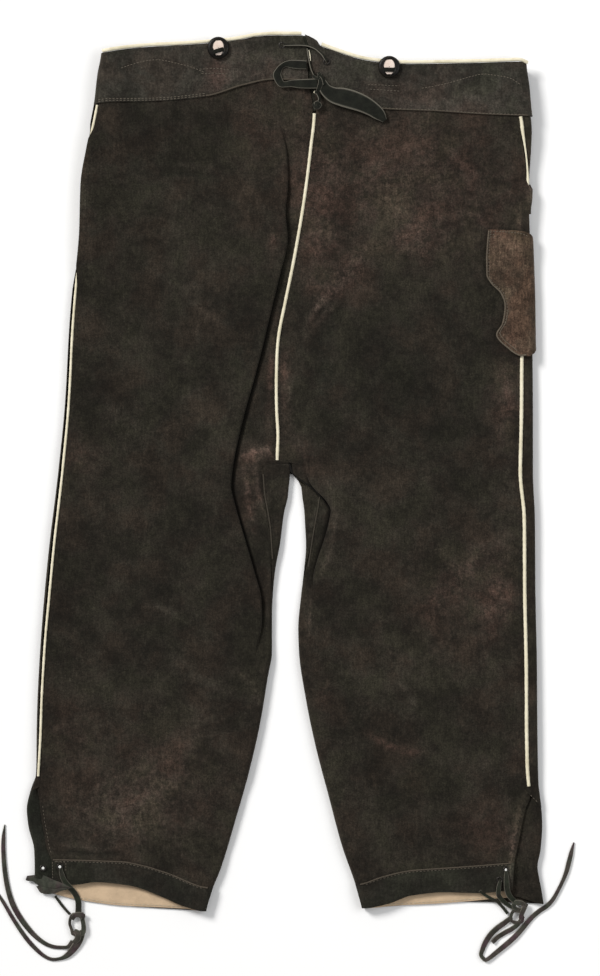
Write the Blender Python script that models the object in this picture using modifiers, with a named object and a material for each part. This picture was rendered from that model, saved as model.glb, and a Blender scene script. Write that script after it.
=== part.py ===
"""Knee-length suede lederhosen laid flat on a surface, back side up.

Metres, +Z up, +Y towards the waist, +X towards the wearer's right leg. The garment lies on z = 0.
Tables give places on a flat lay-out sheet, in millimetres: across from the sheet's left edge and
down from its top edge. The sheet's point (CENTRE_ACROSS, CENTRE_DOWN) is the object's origin.
"""

import math

import bpy
import numpy as np
from mathutils import Matrix

MM = 0.001

# Lay-out sheet
CENTRE_ACROSS = 285.0
CENTRE_DOWN = 471.5

# Leather and seams
LEATHER = 1.4
SEAM_GAP = 0.3
LAP_GAP = 0.4
UNDERLAP_GAP = 1.1
LAP = LAP_GAP + LEATHER
PIPING_WIDTH = 3.0
PIPING_HALF_SLOT = PIPING_WIDTH / 2 + SEAM_GAP
SMALL_STEP = 0.8
TURN_GAP = 0.55
EDGE_STEP = 1.4

# Heights of the laid garment
MIDDLE_HEIGHT = 4.8
STRIP_HEIGHT = 3.4
FOLD_RADIUS = 2.4
TUCK_BEND = 1.8
FOLD_SPREAD = 40.0
EDGE_SPREAD = 28.0
WAIST_LIFT = 6.3
FLAP_LIFT = 2.3

# Waist, crotch and flap
CROTCH_DOWN = 461.0
INNER_LEG_DOWN = 465.0
SEAT_SLIT_END = 112.0
WAIST_TUCK_IN = 6.0
NOMINAL_WAIST = 98.0
NOMINAL_HEM = 885.0
BAND_LAP = LAP + 0.3
WAIST_FADE = 110.0
HEM_FADE = 95.0
FRONT_WAIST_DROP = 4.0
BINDING_HEIGHT = 3.5
BINDING_ENDS = {"left": (103.4, 301.5), "right": (527.0, 321.5)}
BARE_CORNER = (300.0, 320.5)
FLAP_SIDES = (205.0, 365.0)
FLAP_ENDS = (66.0, 232.0)
FLAP_CORNER = 14.0

# Buttons and eyelets
BACK_BUTTONS = {"left": (218.5, 49.0), "right": (389.0, 68.0)}
BUTTON_RADIUS = 11.0
BUTTON_HEIGHT = 3.6
WELL_RADIUS = 6.2
WELL_DEPTH = 1.7
BOSS_RADIUS = 3.0
BOSS_HEIGHT = 1.0
FLAP_BUTTONS = {"left": (222.0, 82.0), "right": (348.0, 82.0)}
FLAP_BUTTON_RADIUS = 10.0
EYELET_RADIUS = 3.4
EYELET_HOLE = 1.9
EYELET_HEIGHT = 0.9

# Laces
THONG_RADIUS = 1.2
STRAP_RADIUS = 1.5


class Table:
    """Rows with named columns, read along the first column by a smooth curve that never overshoots."""

    def __init__(self, names, rows):
        self.columns = dict(zip(names, np.array(rows, float).T))
        self.along = self.columns[names[0]]

    def __call__(self, name, place):
        xs, ys = self.along, self.columns[name]
        place = min(max(place, xs[0]), xs[-1])
        k = int(min(np.searchsorted(xs, place, "right") - 1, len(xs) - 2))
        step = xs[k + 1] - xs[k]
        t = (place - xs[k]) / step
        a, b = self.slope(xs, ys, k), self.slope(xs, ys, k + 1)
        return (
            ys[k] * (1 + 2 * t) * (1 - t) ** 2
            + ys[k + 1] * t * t * (3 - 2 * t)
            + step * (a * t * (1 - t) ** 2 - b * t * t * (1 - t))
        )

    @staticmethod
    def slope(xs, ys, k):
        if k == 0 or k == len(xs) - 1:
            return 0.0
        before = (ys[k] - ys[k - 1]) / (xs[k] - xs[k - 1])
        after = (ys[k + 1] - ys[k]) / (xs[k + 1] - xs[k])
        return 0.0 if before * after <= 0 else 2 * before * after / (before + after)


def ease(t):
    t = min(max(t, 0.0), 1.0)
    return t * t * (3 - 2 * t)


def mix(a, b, t):
    return a * (1 - t) + b * t


# The outline and the seams of each leg. outer and inner are the laid outline; side_seam is how far
# round from the outline's outermost point the side seam lies; inseam is the same at the inner leg.
LEFT_OUTER = Table(
    ("down", "edge", "side_seam", "radius", "vent_edge", "open"),
    [
        (30, 104.0, 4.0, 4.5, 38.5, 0),
        (52, 103.6, 4.0, 4.5, 38.5, 0),
        (76, 99.6, 4.0, 4.5, 38.5, 0),
        (100, 96.8, 4.0, 4.5, 38.5, 0),
        (124, 92.4, 4.0, 4.5, 38.5, 0),
        (148, 87.0, 4.0, 4.5, 38.5, 0),
        (184, 81.0, 4.0, 4.5, 38.5, 0),
        (232, 79.6, 4.0, 4.5, 38.5, 0),
        (280, 75.0, 4.0, 4.5, 38.5, 0),
        (328, 71.0, 4.2, 4.5, 38.5, 0),
        (400, 67.0, 4.6, 4.5, 38.5, 0),
        (472, 60.0, 5.2, 4.5, 38.5, 0),
        (544, 51.0, 6.0, 4.5, 38.5, 0),
        (592, 46.0, 6.4, 4.5, 38.5, 0),
        (640, 42.0, 6.0, 4.5, 38.5, 0),
        (688, 39.0, 6.0, 4.5, 38.5, 0),
        (730, 37.2, 6.0, 4.3, 38.5, 0),
        (774, 36.0, 5.0, 3.8, 38.5, 0),
        (786, 32.0, 2.0, 3.4, 38.8, 0.6),
        (798, 28.4, 0.0, 3.0, 39.2, 1),
        (810, 26.6, 0.0, 3.0, 40.2, 1),
        (820, 27.0, 0.0, 3.0, 41.5, 1),
        (834, 30.6, 0.0, 3.0, 44.0, 1),
        (850, 34.0, 0.0, 3.0, 47.0, 1),
        (862, 34.5, 0.0, 3.0, 51.5, 1),
        (915, 34.5, 0.0, 3.0, 52.0, 1),
    ],
)
RIGHT_OUTER = Table(
    ("down", "edge", "side_seam", "radius", "vent_edge", "open"),
    [
        (30, 523.5, 14.0, 4.5, 528.0, 0),
        (64, 524.2, 14.0, 4.5, 528.0, 0),
        (88, 527.2, 14.0, 4.5, 528.0, 0),
        (112, 529.4, 13.0, 4.5, 528.0, 0),
        (128, 531.6, 12.5, 4.5, 528.0, 0),
        (148, 531.0, 9.0, 4.5, 528.0, 0),
        (170, 529.6, 5.0, 4.5, 528.0, 0),
        (190, 528.6, 3.0, 4.5, 528.0, 0),
        (230, 529.6, 6.0, 4.5, 528.0, 0),
        (300, 532.0, 11.0, 4.5, 528.0, 0),
        (356, 532.6, 13.5, 4.5, 528.0, 0),
        (424, 533.0, 14.5, 4.5, 528.0, 0),
        (472, 533.0, 15.5, 4.5, 528.0, 0),
        (520, 535.0, 13.5, 4.5, 528.0, 0),
        (592, 535.5, 13.5, 4.5, 528.0, 0),
        (664, 537.0, 13.5, 4.5, 528.0, 0),
        (730, 537.5, 13.5, 4.3, 528.0, 0),
        (784, 538.6, 12.5, 3.8, 528.0, 0),
        (796, 540.0, 6.0, 3.4, 527.8, 0.6),
        (808, 541.4, 0.0, 3.0, 525.6, 1),
        (824, 542.4, 0.0, 3.0, 522.0, 1),
        (848, 541.0, 0.0, 3.0, 517.4, 1),
        (862, 537.4, 0.0, 3.0, 514.4, 1),
        (880, 539.6, 0.0, 3.0, 513.0, 1),
        (903, 543.8, 0.0, 3.0, 512.0, 1),
        (915, 543.8, 0.0, 3.0, 512.0, 1),
    ],
)
LEFT_INNER = Table(
    ("down", "edge", "inseam", "radius"),
    [
        (462, 290.2, 29.1, 3.0),
        (474, 290.0, 28.5, 3.0),
        (484, 289.0, 27.5, 3.0),
        (496, 288.0, 25.0, 3.0),
        (508, 285.0, 20.0, 3.0),
        (520, 283.0, 15.5, 3.0),
        (544, 280.0, 10.5, 3.0),
        (568, 275.5, 6.0, 3.0),
        (592, 273.0, 1.5, 3.0),
        (616, 272.0, -3.5, 3.2),
        (652, 272.0, -10.0, 3.6),
        (676, 268.0, -10.0, 4.0),
        (724, 260.0, -10.0, 4.0),
        (772, 249.0, -10.0, 4.0),
        (820, 235.5, -10.0, 4.0),
        (868, 221.0, -10.0, 4.0),
        (892, 211.5, -10.0, 4.0),
        (915, 206.0, -10.0, 4.0),
    ],
)
RIGHT_INNER = Table(
    ("down", "edge", "inseam", "radius"),
    [
        (462, 291.2, -1.0, 2.3),
        (472, 291.6, -0.4, 2.3),
        (476, 293.6, 0.2, 2.3),
        (482, 300.0, 3.0, 2.3),
        (490, 301.6, 11.0, 2.3),
        (498, 302.4, 18.0, 2.3),
        (508, 304.0, 15.5, 2.3),
        (524, 305.0, 10.5, 2.3),
        (546, 306.0, 6.0, 2.5),
        (572, 303.8, 2.0, 2.7),
        (600, 300.6, -2.5, 3.0),
        (628, 298.2, -7.0, 3.5),
        (652, 299.0, -10.0, 4.0),
        (700, 306.0, -10.0, 4.0),
        (748, 316.0, -10.0, 4.0),
        (796, 328.6, -10.0, 4.0),
        (844, 341.4, -10.0, 4.0),
        (892, 357.6, -10.0, 4.0),
        (915, 362.5, -10.0, 4.0),
    ],
)

# The long fold on each back panel: where its edge lies, how deep it is tucked under, how far it is
# folded over (0 flat, 1 wholly) and how high its lower side is.
LEFT_FOLD = Table(
    ("down", "edge", "tuck", "folded", "height"),
    [
        (70, 272, 3, 0.0, 4.4),
        (100, 275, 3, 0.0, 4.4),
        (133, 284, 6, 0.25, 4.4),
        (155, 288, 9, 0.55, 4.4),
        (185, 288.5, 12, 0.85, 4.4),
        (212, 286, 14, 1.0, 4.4),
        (238, 288, 15, 1.0, 4.4),
        (276, 280, 16, 1.0, 4.4),
        (313, 271, 16, 1.0, 4.4),
        (345, 263.5, 16, 1.0, 4.4),
        (374, 256, 16, 1.0, 4.4),
        (425, 242, 16, 1.0, 4.4),
        (469, 233, 16, 1.0, 4.4),
        (486, 231.5, 16, 1.0, 4.4),
        (503, 235, 16, 1.0, 4.4),
        (543, 246.5, 15, 1.0, 4.4),
        (569, 254, 14, 1.0, 4.4),
        (602, 262, 11, 1.0, 4.4),
        (622, 262.5, 8, 0.8, 4.4),
        (645, 259, 5, 0.35, 4.4),
        (669, 254, 3, 0.0, 4.4),
        (915, 190, 3, 0.0, 4.4),
    ],
)
RIGHT_FOLD = Table(
    ("down", "edge", "tuck", "folded", "height"),
    [
        (80, 352, 3, 0.0, 5.0),
        (300, 318, 3, 0.0, 5.0),
        (437, 306, 3, 0.0, 5.0),
        (461, 303, 3, 0.08, 5.0),
        (475, 305.5, 5, 0.35, 5.0),
        (484, 310, 7, 0.75, 5.0),
        (492, 317, 9, 1.0, 5.0),
        (500, 325, 11, 1.0, 5.0),
        (510, 330.5, 13, 1.0, 5.0),
        (520, 329, 13, 1.0, 5.0),
        (539, 324, 12, 1.0, 5.0),
        (561, 316.5, 9, 0.9, 5.0),
        (580, 312, 6, 0.5, 5.0),
        (606, 312, 3, 0.0, 5.0),
        (628, 312, 3, 0.0, 5.0),
        (915, 382, 3, 0.0, 5.0),
    ],
)

# The centre-back: the slit's line down to SEAT_SLIT_END, then the piped seat seam down to the crotch.
SEAT_SEAM = Table(
    ("down", "across", "half_gap"),
    [
        (30, 303.0, 1.0),
        (56, 309.2, 1.8),
        (80, 310.0, 1.8),
        (96, 313.0, 1.8),
        (112, 314.4, 1.8),
        (146, 311.0, 1.8),
        (194, 305.0, 1.8),
        (254, 295.0, 1.8),
        (314, 283.0, 1.8),
        (350, 277.2, 1.8),
        (398, 276.2, 1.8),
        (434, 278.0, 1.8),
        (462, 277.2, 1.8),
    ],
)


def edge_line(*places):
    return Table(("across", "down"), places)


# Edges that run across the garment: how far down each lies at a place across.
WAIST_TOP = {
    "left": edge_line((95, 51), (103, 50), (136, 45), (184, 42), (232, 38), (268, 32.6), (303, 32.4), (320, 33)),
    "right": edge_line((300, 34), (316, 41), (340, 50), (364, 57), (400, 61), (472, 60), (520, 59), (530, 62.5)),
}
WAIST_PLACES = {
    "left": (118.0, 141.0, 180.0, 210.0, 236.0, 256.0, 270.0, 290.0),
    "right": (510.0, 485.0, 440.0, 410.0, 392.0, 376.0, 362.0, 344.0, 328.0, 320.5, 316.5),
}
WAIST_SEAM = {
    "left": edge_line((90, 105), (111, 102.6), (152, 102), (207, 97), (244, 86), (273, 80.6), (312, 81)),
    "right": edge_line((306, 88), (340, 101), (385, 110), (434, 112), (490, 115.5), (532, 117)),
}
BACK_HEM = {
    "left": edge_line((34, 879), (77, 884.6), (96, 882), (139, 887), (166, 898), (190, 907.5), (206, 911)),
    "right": edge_line((361, 908), (385, 904), (410, 895.5), (438, 892), (480, 893), (513, 890), (544, 889)),
}
FRONT_HEM = {
    "left": edge_line((34, 878), (55, 893.5), (83, 900), (120, 905), (185, 908.4), (206, 911)),
    "right": edge_line((361, 908), (400, 905), (440, 903), (467, 901), (512, 897.4), (544, 905)),
}
BAND_SEAM = {
    "left": edge_line((34, 859), (120, 861), (143, 865), (166, 872), (211, 887)),
    "right": edge_line((355, 884), (383, 876), (411, 870), (438, 868), (480, 865), (513, 862.5), (544, 862)),
}
FACING_TOP = {
    "left": edge_line((55, 885), (66, 882), (74, 871), (200, 886)),
    "right": edge_line((361, 886), (400, 880), (496, 873), (499.5, 889), (509, 890)),
}
FACING_PLACES = {
    "left": (56.0, 66.0, 74.0, 100.0, 130.0, 165.0, 198.0),
    "right": (369.0, 400.0, 440.0, 470.0, 496.0, 499.5, 508.5),
}
UNDERLAP_ROWS = {
    "left": (787, 798, 809, 826, 850, 867, 879),
    "right": (798, 809, 826, 850, 867, 880, 888, NOMINAL_HEM + 12),
}

LEFT = {"name": "left", "sign": -1, "outer": LEFT_OUTER, "inner": LEFT_INNER, "fold": LEFT_FOLD}
RIGHT = {"name": "right", "sign": 1, "outer": RIGHT_OUTER, "inner": RIGHT_INNER, "fold": RIGHT_FOLD}
SIDES = (LEFT, RIGHT)

LIFT = Table(
    ("down", "lift"),
    [(30, WAIST_LIFT), (120, WAIST_LIFT), (182, FLAP_LIFT), (238, FLAP_LIFT), (266, 0), (300, 0)],
)
KNUCKLE = Table(("down", "rise"), [(425, 0), (452, 2.6), (461, 2.2), (468, 0.6), (482, 0)])

# Nominal rows of the panels; shift() bends the first and last ones along the waist seam and the hem.
SEAT_ROWS = (98, 108, 120, 136, 152, 168, 184, 210, 238, 252, 266, 300, 340, 375, 410, 437, 452)
LEG_ROWS = (476, 487, 498, 510, 524, 538, 553, 568, 585, 602, 618, 634, 650, 667, 700, 740, 776)
LEG_ROWS += (787, 798, 809, 826, 850, 867, NOMINAL_HEM)
BACK_ROWS = SEAT_ROWS + (CROTCH_DOWN, 463.5) + LEG_ROWS
FRONT_ROWS = SEAT_ROWS + (CROTCH_DOWN, INNER_LEG_DOWN) + LEG_ROWS


def middle_height(down):
    """Height of the back panel's finished face where it sags on to the front."""
    return MIDDLE_HEIGHT + 0.8 * ease((down - 740) / 40)


def spread(distance, reach):
    """One at distance 0, falling smoothly to nothing over about twice the reach."""
    return math.exp(-((max(distance, 0.0) / reach) ** 2))


def outer_rise(leg, along, down):
    """What the puffed outer fold adds to the back panel's height."""
    radius = leg["outer"]("radius", down)
    start = leg["sign"] * leg["outer"]("edge", down) - radius
    closed = 1 - leg["outer"]("open", down)
    return closed * (2 * radius - middle_height(down)) * spread(start - along, EDGE_SPREAD)


def plain_height(leg, along, down):
    """The back panel's height with its long fold pressed flat."""
    height = middle_height(down) + outer_rise(leg, along, down)
    if down > CROTCH_DOWN:
        radius = leg["inner"]("radius", down)
        start = leg["sign"] * leg["inner"]("edge", down) + radius
        height += (2 * radius - middle_height(down)) * spread(along - start, EDGE_SPREAD)
    return height + KNUCKLE("rise", down) * spread(abs(along - leg["sign"] * 277), 18)


def under_height(leg, along, down):
    """Height of the layer that runs under the long fold, on to the seat seam or the inner leg."""
    folded = leg["fold"]("folded", down)
    plain = plain_height(leg, along, down)
    if folded == 0:
        return plain
    if down > CROTCH_DOWN:
        radius = leg["inner"]("radius", down)
        start = leg["sign"] * leg["inner"]("edge", down) + radius
        high = 2 * radius
    else:
        start = leg["sign"] * SEAT_SEAM("across", down)
        high = plain
    run = max(leg["sign"] * leg["fold"]("edge", down) - 2 - start, 1.0)
    laid = mix(high, STRIP_HEIGHT, ease((along - start) / run))
    return mix(plain, laid, folded)


def over_height(leg, along, down):
    """Height of the back panel outside its long fold."""
    fold_edge = leg["sign"] * leg["fold"]("edge", down)
    folded = leg["fold"]("folded", down)
    crest = leg["fold"]("height", down) + 2 * FOLD_RADIUS - middle_height(down)
    puffed = middle_height(down) + crest * spread(along - fold_edge - FOLD_RADIUS, FOLD_SPREAD)
    return mix(plain_height(leg, along, down), puffed + outer_rise(leg, along, down), folded)


def inseam_half_gap(leg, down):
    """Half the gap at the inseam, wider where the seam runs round the fold and the walls converge."""
    quarter = leg["inner"]("radius", down) * math.pi / 2
    return SEAM_GAP / 2 + TURN_GAP * spread(abs(leg["inner"]("inseam", down)), quarter)


def inner_turn(leg, travel, down):
    """A point on the inner-leg fold, by its travel round from the innermost point, up positive."""
    radius = leg["inner"]("radius", down)
    edge = leg["sign"] * leg["inner"]("edge", down)
    quarter = radius * math.pi / 2
    if travel > quarter:
        along = edge + radius + travel - quarter
        return along, under_height(leg, along, down)
    if travel < -quarter:
        return edge + radius - travel - quarter, 0.0
    angle = travel / radius
    return edge + radius - radius * math.cos(angle), radius + radius * math.sin(angle)


def outer_turn(leg, travel, down, grow=0.0):
    """A point on the outer fold, by its travel round from the outermost point, moved out by grow."""
    radius = leg["outer"]("radius", down)
    edge = leg["sign"] * leg["outer"]("edge", down)
    quarter = radius * math.pi / 2
    if travel > quarter:
        along = edge - radius - travel + quarter
        return along, over_height(leg, along, down) + grow
    if travel < -quarter:
        return edge - radius + travel + quarter, -grow
    angle = travel / radius
    reach = radius + grow
    return edge - radius + reach * math.cos(angle), radius + reach * math.sin(angle)


def back_row(leg, down):
    """The back panel's finished face across one row, from its inner seam out to its side seam."""
    sign = leg["sign"]
    points = []
    if down <= CROTCH_DOWN:
        start = sign * SEAT_SEAM("across", down) + SEAT_SEAM("half_gap", down)
        for k in range(6):
            along = start + k * 1.2
            points.append((along, under_height(leg, along, down)))
    else:
        quarter = leg["inner"]("radius", down) * math.pi / 2
        seam = leg["inner"]("inseam", down) + inseam_half_gap(leg, down)
        features = (seam, -quarter, -quarter / 2, 0.0, quarter / 2, quarter)
        for k, feature in enumerate(features):
            points.append(inner_turn(leg, max(feature, seam + k * SMALL_STEP), down))
    fold_edge = sign * leg["fold"]("edge", down)
    tucked = fold_edge + leg["fold"]("tuck", down)
    low = leg["fold"]("height", down)
    radius = FOLD_RADIUS
    middle = (points[-1][0] + min(fold_edge, tucked)) / 2
    laid = [
        (middle, under_height(leg, middle, down)),
        (tucked - 1.2, STRIP_HEIGHT),
        (tucked, STRIP_HEIGHT + TUCK_BEND / 2),
        (tucked - 1.2, STRIP_HEIGHT + TUCK_BEND),
        (fold_edge + radius, low),
        (fold_edge + radius * (1 - math.cos(math.pi / 6)), low + radius / 2),
        (fold_edge + radius * (1 - math.cos(math.pi / 6)), low + radius * 1.5),
        (fold_edge + radius, low + 2 * radius),
    ]
    folded = leg["fold"]("folded", down)
    for k, (along, height) in enumerate(laid):
        flat = fold_edge + (k - 3.5) * 1.2
        spot = mix(flat, along, folded)
        points.append((spot, mix(plain_height(leg, flat, down), height, folded)))
    side = outer_end_point(leg, down)[0]
    outermost = sign * leg["outer"]("edge", down)
    reach = min(outermost - 62, side - 20)
    for offset in (10.0, 30.0):
        along = fold_edge + offset
        points.append((along, over_height(leg, along, down)))
    for share in (0.5, 1.0):
        along = mix(fold_edge + 30.0, reach, share)
        points.append((along, over_height(leg, along, down)))
    along = mix(reach, side, 0.5)
    points.append((along, over_height(leg, along, down)))
    points.append(outer_end_point(leg, down, EDGE_STEP))
    points.append(outer_end_point(leg, down))
    return points


def outer_end_point(leg, down, inset=0.0):
    """The back panel's outer edge, at the side seam and below it along the open vent, or inside it."""
    opened = leg["outer"]("open", down)
    seam = leg["outer"]("side_seam", down) + PIPING_HALF_SLOT + inset
    closed_along, closed_height = outer_turn(leg, seam, down)
    vent = leg["sign"] * leg["outer"]("vent_edge", down) - inset
    return mix(closed_along, vent, opened), mix(closed_height, middle_height(down), opened)


def front_outer(leg, down):
    """The front panel's finished face from its side seam round the outer fold to the floor."""
    quarter = leg["outer"]("radius", down) * math.pi / 2
    seam = leg["outer"]("side_seam", down) - PIPING_HALF_SLOT
    features = (seam, quarter, quarter / 2, 0.0, -quarter / 2, -quarter)
    return [outer_turn(leg, min(f, seam - k * SMALL_STEP), down) for k, f in enumerate(features)]


def front_inner(leg, down):
    """The front panel's finished face from the floor round the inner fold to the inseam."""
    quarter = leg["inner"]("radius", down) * math.pi / 2
    seam = leg["inner"]("inseam", down) - inseam_half_gap(leg, down)
    features = (-quarter, -quarter / 2, 0.0, quarter / 2, quarter, (quarter + seam) / 2, seam)
    last = len(features) - 1
    return [inner_turn(leg, min(f, seam - (last - k) * SMALL_STEP), down) for k, f in enumerate(features)]


def front_row(leg, down):
    points = front_outer(leg, down)
    if down <= CROTCH_DOWN:
        inner = [(leg["sign"] * CENTRE_ACROSS + SEAM_GAP / 2, 0.0)]
    else:
        inner = front_inner(leg, down)
    points.append(((points[-1][0] + inner[0][0]) / 2, 0.0))
    return points + inner


def shift(leg, across, down, hem):
    """How far a row is moved down the sheet so that its ends follow the waist seam and the hem."""
    name = leg["name"]
    at_waist = WAIST_SEAM[name]("down", across) - WAIST_TUCK_IN - NOMINAL_WAIST
    at_hem = hem[name]("down", across) - NOMINAL_HEM
    fade_hem = ease((down - NOMINAL_HEM + HEM_FADE) / HEM_FADE)
    return at_waist * (1 - ease((down - NOMINAL_WAIST) / WAIST_FADE)) + at_hem * fade_hem


def place(across, down, height):
    """A point on the lay-out sheet, in metres in the object's frame."""
    return (across - CENTRE_ACROSS) * MM, (CENTRE_DOWN - down) * MM, height * MM


def panel_points(leg, rows, row_function, hem):
    """The panel's face as rows of points; a row may have fewer points than the others."""
    grid = []
    for nominal in rows:
        line = []
        for k, (along, _) in enumerate(row_function(leg, nominal)):
            down = nominal + shift(leg, leg["sign"] * along, nominal, hem)
            along, height = row_function(leg, down)[k]
            line.append(place(leg["sign"] * along, down, height + LIFT("lift", down)))
        grid.append(line)
    return grid


def material(name, colour, roughness, metallic=0.0):
    found = bpy.data.materials.get(name)
    if found:
        return found
    made = bpy.data.materials.new(name)
    made.use_nodes = True
    shader = made.node_tree.nodes["Principled BSDF"]
    shader.inputs["Base Color"].default_value = (*colour, 1)
    shader.inputs["Roughness"].default_value = roughness
    shader.inputs["Metallic"].default_value = metallic
    return made


def suede(name):
    return material(f"suede_{name}", (0.035, 0.028, 0.022), 0.95)


def cream(name):
    return material(f"cream_leather_{name}", (0.75, 0.68, 0.52), 0.7)


def horn(name):
    return material(f"horn_{name}", (0.05, 0.035, 0.025), 0.35)


def add_object(name, mesh, finish):
    made = bpy.data.objects.new(name, mesh)
    made.data.materials.append(finish)
    COLLECTION.objects.link(made)
    return made


def sheet(name, grid, finish, turned, thickness=LEATHER):
    """A leather piece from rows of points on its finished face, which faces away from its wall."""
    vertices = [point for line in grid for point in line]
    starts = np.cumsum([0] + [len(line) for line in grid])
    faces = []
    for row in range(len(grid) - 1):
        for k in range(min(len(grid[row]), len(grid[row + 1])) - 1):
            a, b = starts[row] + k, starts[row + 1] + k
            face = (int(a), int(b), int(b + 1), int(a + 1))
            faces.append(face[::-1] if turned else face)
    mesh = bpy.data.meshes.new(name)
    mesh.from_pydata(vertices, [], faces)
    made = add_object(name, mesh, finish)
    wall = made.modifiers.new("Leather", "SOLIDIFY")
    wall.thickness = thickness * MM
    wall.offset = -1
    wall.use_even_offset = True
    return made


def tube(name, points, radius, finish, sides_resolution=1):
    """A cord or a piping: a round section along points given in metres."""
    curve = bpy.data.curves.new(name, "CURVE")
    curve.dimensions = "3D"
    spline = curve.splines.new("POLY")
    spline.points.add(len(points) - 1)
    for spot, point in zip(spline.points, points):
        spot.co = (*point, 1)
    curve.bevel_depth = radius * MM
    curve.bevel_resolution = sides_resolution
    curve.use_fill_caps = True
    curve.materials.append(finish)
    made = bpy.data.objects.new(name, curve)
    COLLECTION.objects.link(made)
    return made


def turned_piece(name, profile, centre, finish, steps=20):
    """A piece turned about Z: the profile runs from its top down its outside, in millimetres."""
    mesh = bpy.data.meshes.new(name)
    corners = [(radius * MM, 0, height * MM) for radius, height in profile]
    mesh.from_pydata(corners, [(k, k + 1) for k in range(len(profile) - 1)], [])
    made = add_object(name, mesh, finish)
    made.location = centre
    turn = made.modifiers.new("Turn", "SCREW")
    turn.steps = steps
    turn.render_steps = steps
    turn.use_merge_vertices = True
    turn.merge_threshold = 0.00001
    return made


def moved_out(points, distance):
    """A row of (along, height) points moved out from the face they lie on."""
    moved = []
    for k, (along, height) in enumerate(points):
        before, after = points[max(k - 1, 0)], points[min(k + 1, len(points) - 1)]
        step = after[0] - before[0], after[1] - before[1]
        length = math.hypot(*step)
        moved.append((along - step[1] / length * distance, height + step[0] / length * distance))
    return moved


def leg_panels():
    for leg in SIDES:
        name, turned = leg["name"], leg["sign"] < 0
        back = panel_points(leg, BACK_ROWS, back_row, BACK_HEM)
        sheet(f"back_leg_{name}", back, suede("back_panels"), turned)
        front = panel_points(leg, FRONT_ROWS, front_row, FRONT_HEM)
        sheet(f"front_leg_{name}", front, suede("front_panels"), turned)


def travel_to(leg, along, down):
    """Travel round the outer fold, and in over the back, that reaches a place along a row."""
    radius = leg["outer"]("radius", down)
    return radius * math.pi / 2 + leg["sign"] * leg["outer"]("edge", down) - radius - along


def waist_edge(leg, across):
    """How far down the leather of the back waistband starts, below its binding or bare at the slit's corner."""
    bound = 1.0
    if leg["sign"] > 0 and across > BARE_CORNER[0]:
        bound = ease((across - BARE_CORNER[1] + 4) / 4)
    return WAIST_TOP[leg["name"]]("down", across) + (BINDING_HEIGHT + SEAM_GAP) * bound


def waist_line(leg, travels, share, drop):
    """One row of the waistband, at a share of its height, as places on the sheet."""
    line = []
    for travel in travels:
        down = 80.0
        for _ in range(3):
            here = travel(down) if callable(travel) else travel
            along, height = outer_turn(leg, here, down, BAND_LAP)
            across = leg["sign"] * along
            down = mix(waist_edge(leg, across) + drop, WAIST_SEAM[leg["name"]]("down", across), share)
        line.append(place(across, down, height + LIFT("lift", down)))
    return line


def back_travels(leg):
    """Places across the back waistband, from its side edge to the centre-back slit."""
    def slit(down):
        gap = SEAT_SEAM("half_gap", down)
        return travel_to(leg, leg["sign"] * SEAT_SEAM("across", down) + gap, down)

    def reach(across):
        return lambda down: travel_to(leg, leg["sign"] * across, down)

    quarter = leg["outer"]("radius", 80) * math.pi / 2
    travels = [SEAM_GAP, SEAM_GAP + SMALL_STEP, quarter / 2, quarter]
    return travels + [reach(across) for across in WAIST_PLACES[leg["name"]]] + [slit]


def front_travels(leg):
    """Places across the front waistband, from its side edge to the centre."""
    def centre(down):
        radius = leg["outer"]("radius", down)
        reach = leg["sign"] * (leg["outer"]("edge", down) - CENTRE_ACROSS) - radius - SEAM_GAP / 2
        return -radius * math.pi / 2 - reach

    quarter = leg["outer"]("radius", 80) * math.pi / 2
    return [-SEAM_GAP, -SEAM_GAP - SMALL_STEP, -quarter / 2, -quarter, centre(80.0) / 2, centre]


def waistband():
    shares = (0, 0.45, 0.86, 1)
    for leg in SIDES:
        name, turned = leg["name"], leg["sign"] > 0
        back = [waist_line(leg, back_travels(leg), share, 0) for share in shares]
        sheet(f"waistband_back_{name}", back, suede("waistband"), turned)
        front = [waist_line(leg, front_travels(leg), share, FRONT_WAIST_DROP) for share in shares]
        sheet(f"waistband_front_{name}", front, suede("waistband"), not turned)


def waist_binding():
    """A cream strip folded over the waistband's top edge, drawn as a bead along that edge."""
    bead = BINDING_HEIGHT / 2
    for leg in SIDES:
        name = leg["name"]
        first, last = BINDING_ENDS[name]
        corner = leg["outer"]("edge", 60) - leg["sign"] * leg["outer"]("radius", 60)
        points = []
        bound = [across for across in WAIST_PLACES[name] if leg["sign"] * (across - last) > 3]
        for across in (first, corner, *bound, last):
            top = WAIST_TOP[name]("down", across)
            travel = travel_to(leg, leg["sign"] * across, top + BINDING_HEIGHT)
            height = outer_turn(leg, max(travel, 3.0), top + BINDING_HEIGHT, BAND_LAP)[1] - LEATHER / 2
            points.append(place(across, top + bead, height + WAIST_LIFT))
        tube(f"waist_binding_{name}", points, bead, cream("binding"))


def row_stations(leg, across, first, last):
    """Where the back panel's rows cross one of its long edges, between two places down the sheet."""
    rows = [row + shift(leg, across, row, BACK_HEM) for row in BACK_ROWS]
    return [first] + [row for row in rows if first + 2 < row < last - 2] + [last]


def seat_piping():
    points = []
    for down in row_stations(RIGHT, 314.0, SEAT_SLIT_END + 2, CROTCH_DOWN - 1):
        along = SEAT_SEAM("across", down)
        height = plain_height(RIGHT, along, down) - LEATHER / 2 + 0.4
        points.append(place(along, down, height + LIFT("lift", down)))
    tube("seat_piping", points, PIPING_WIDTH / 2, cream("piping"))


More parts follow.
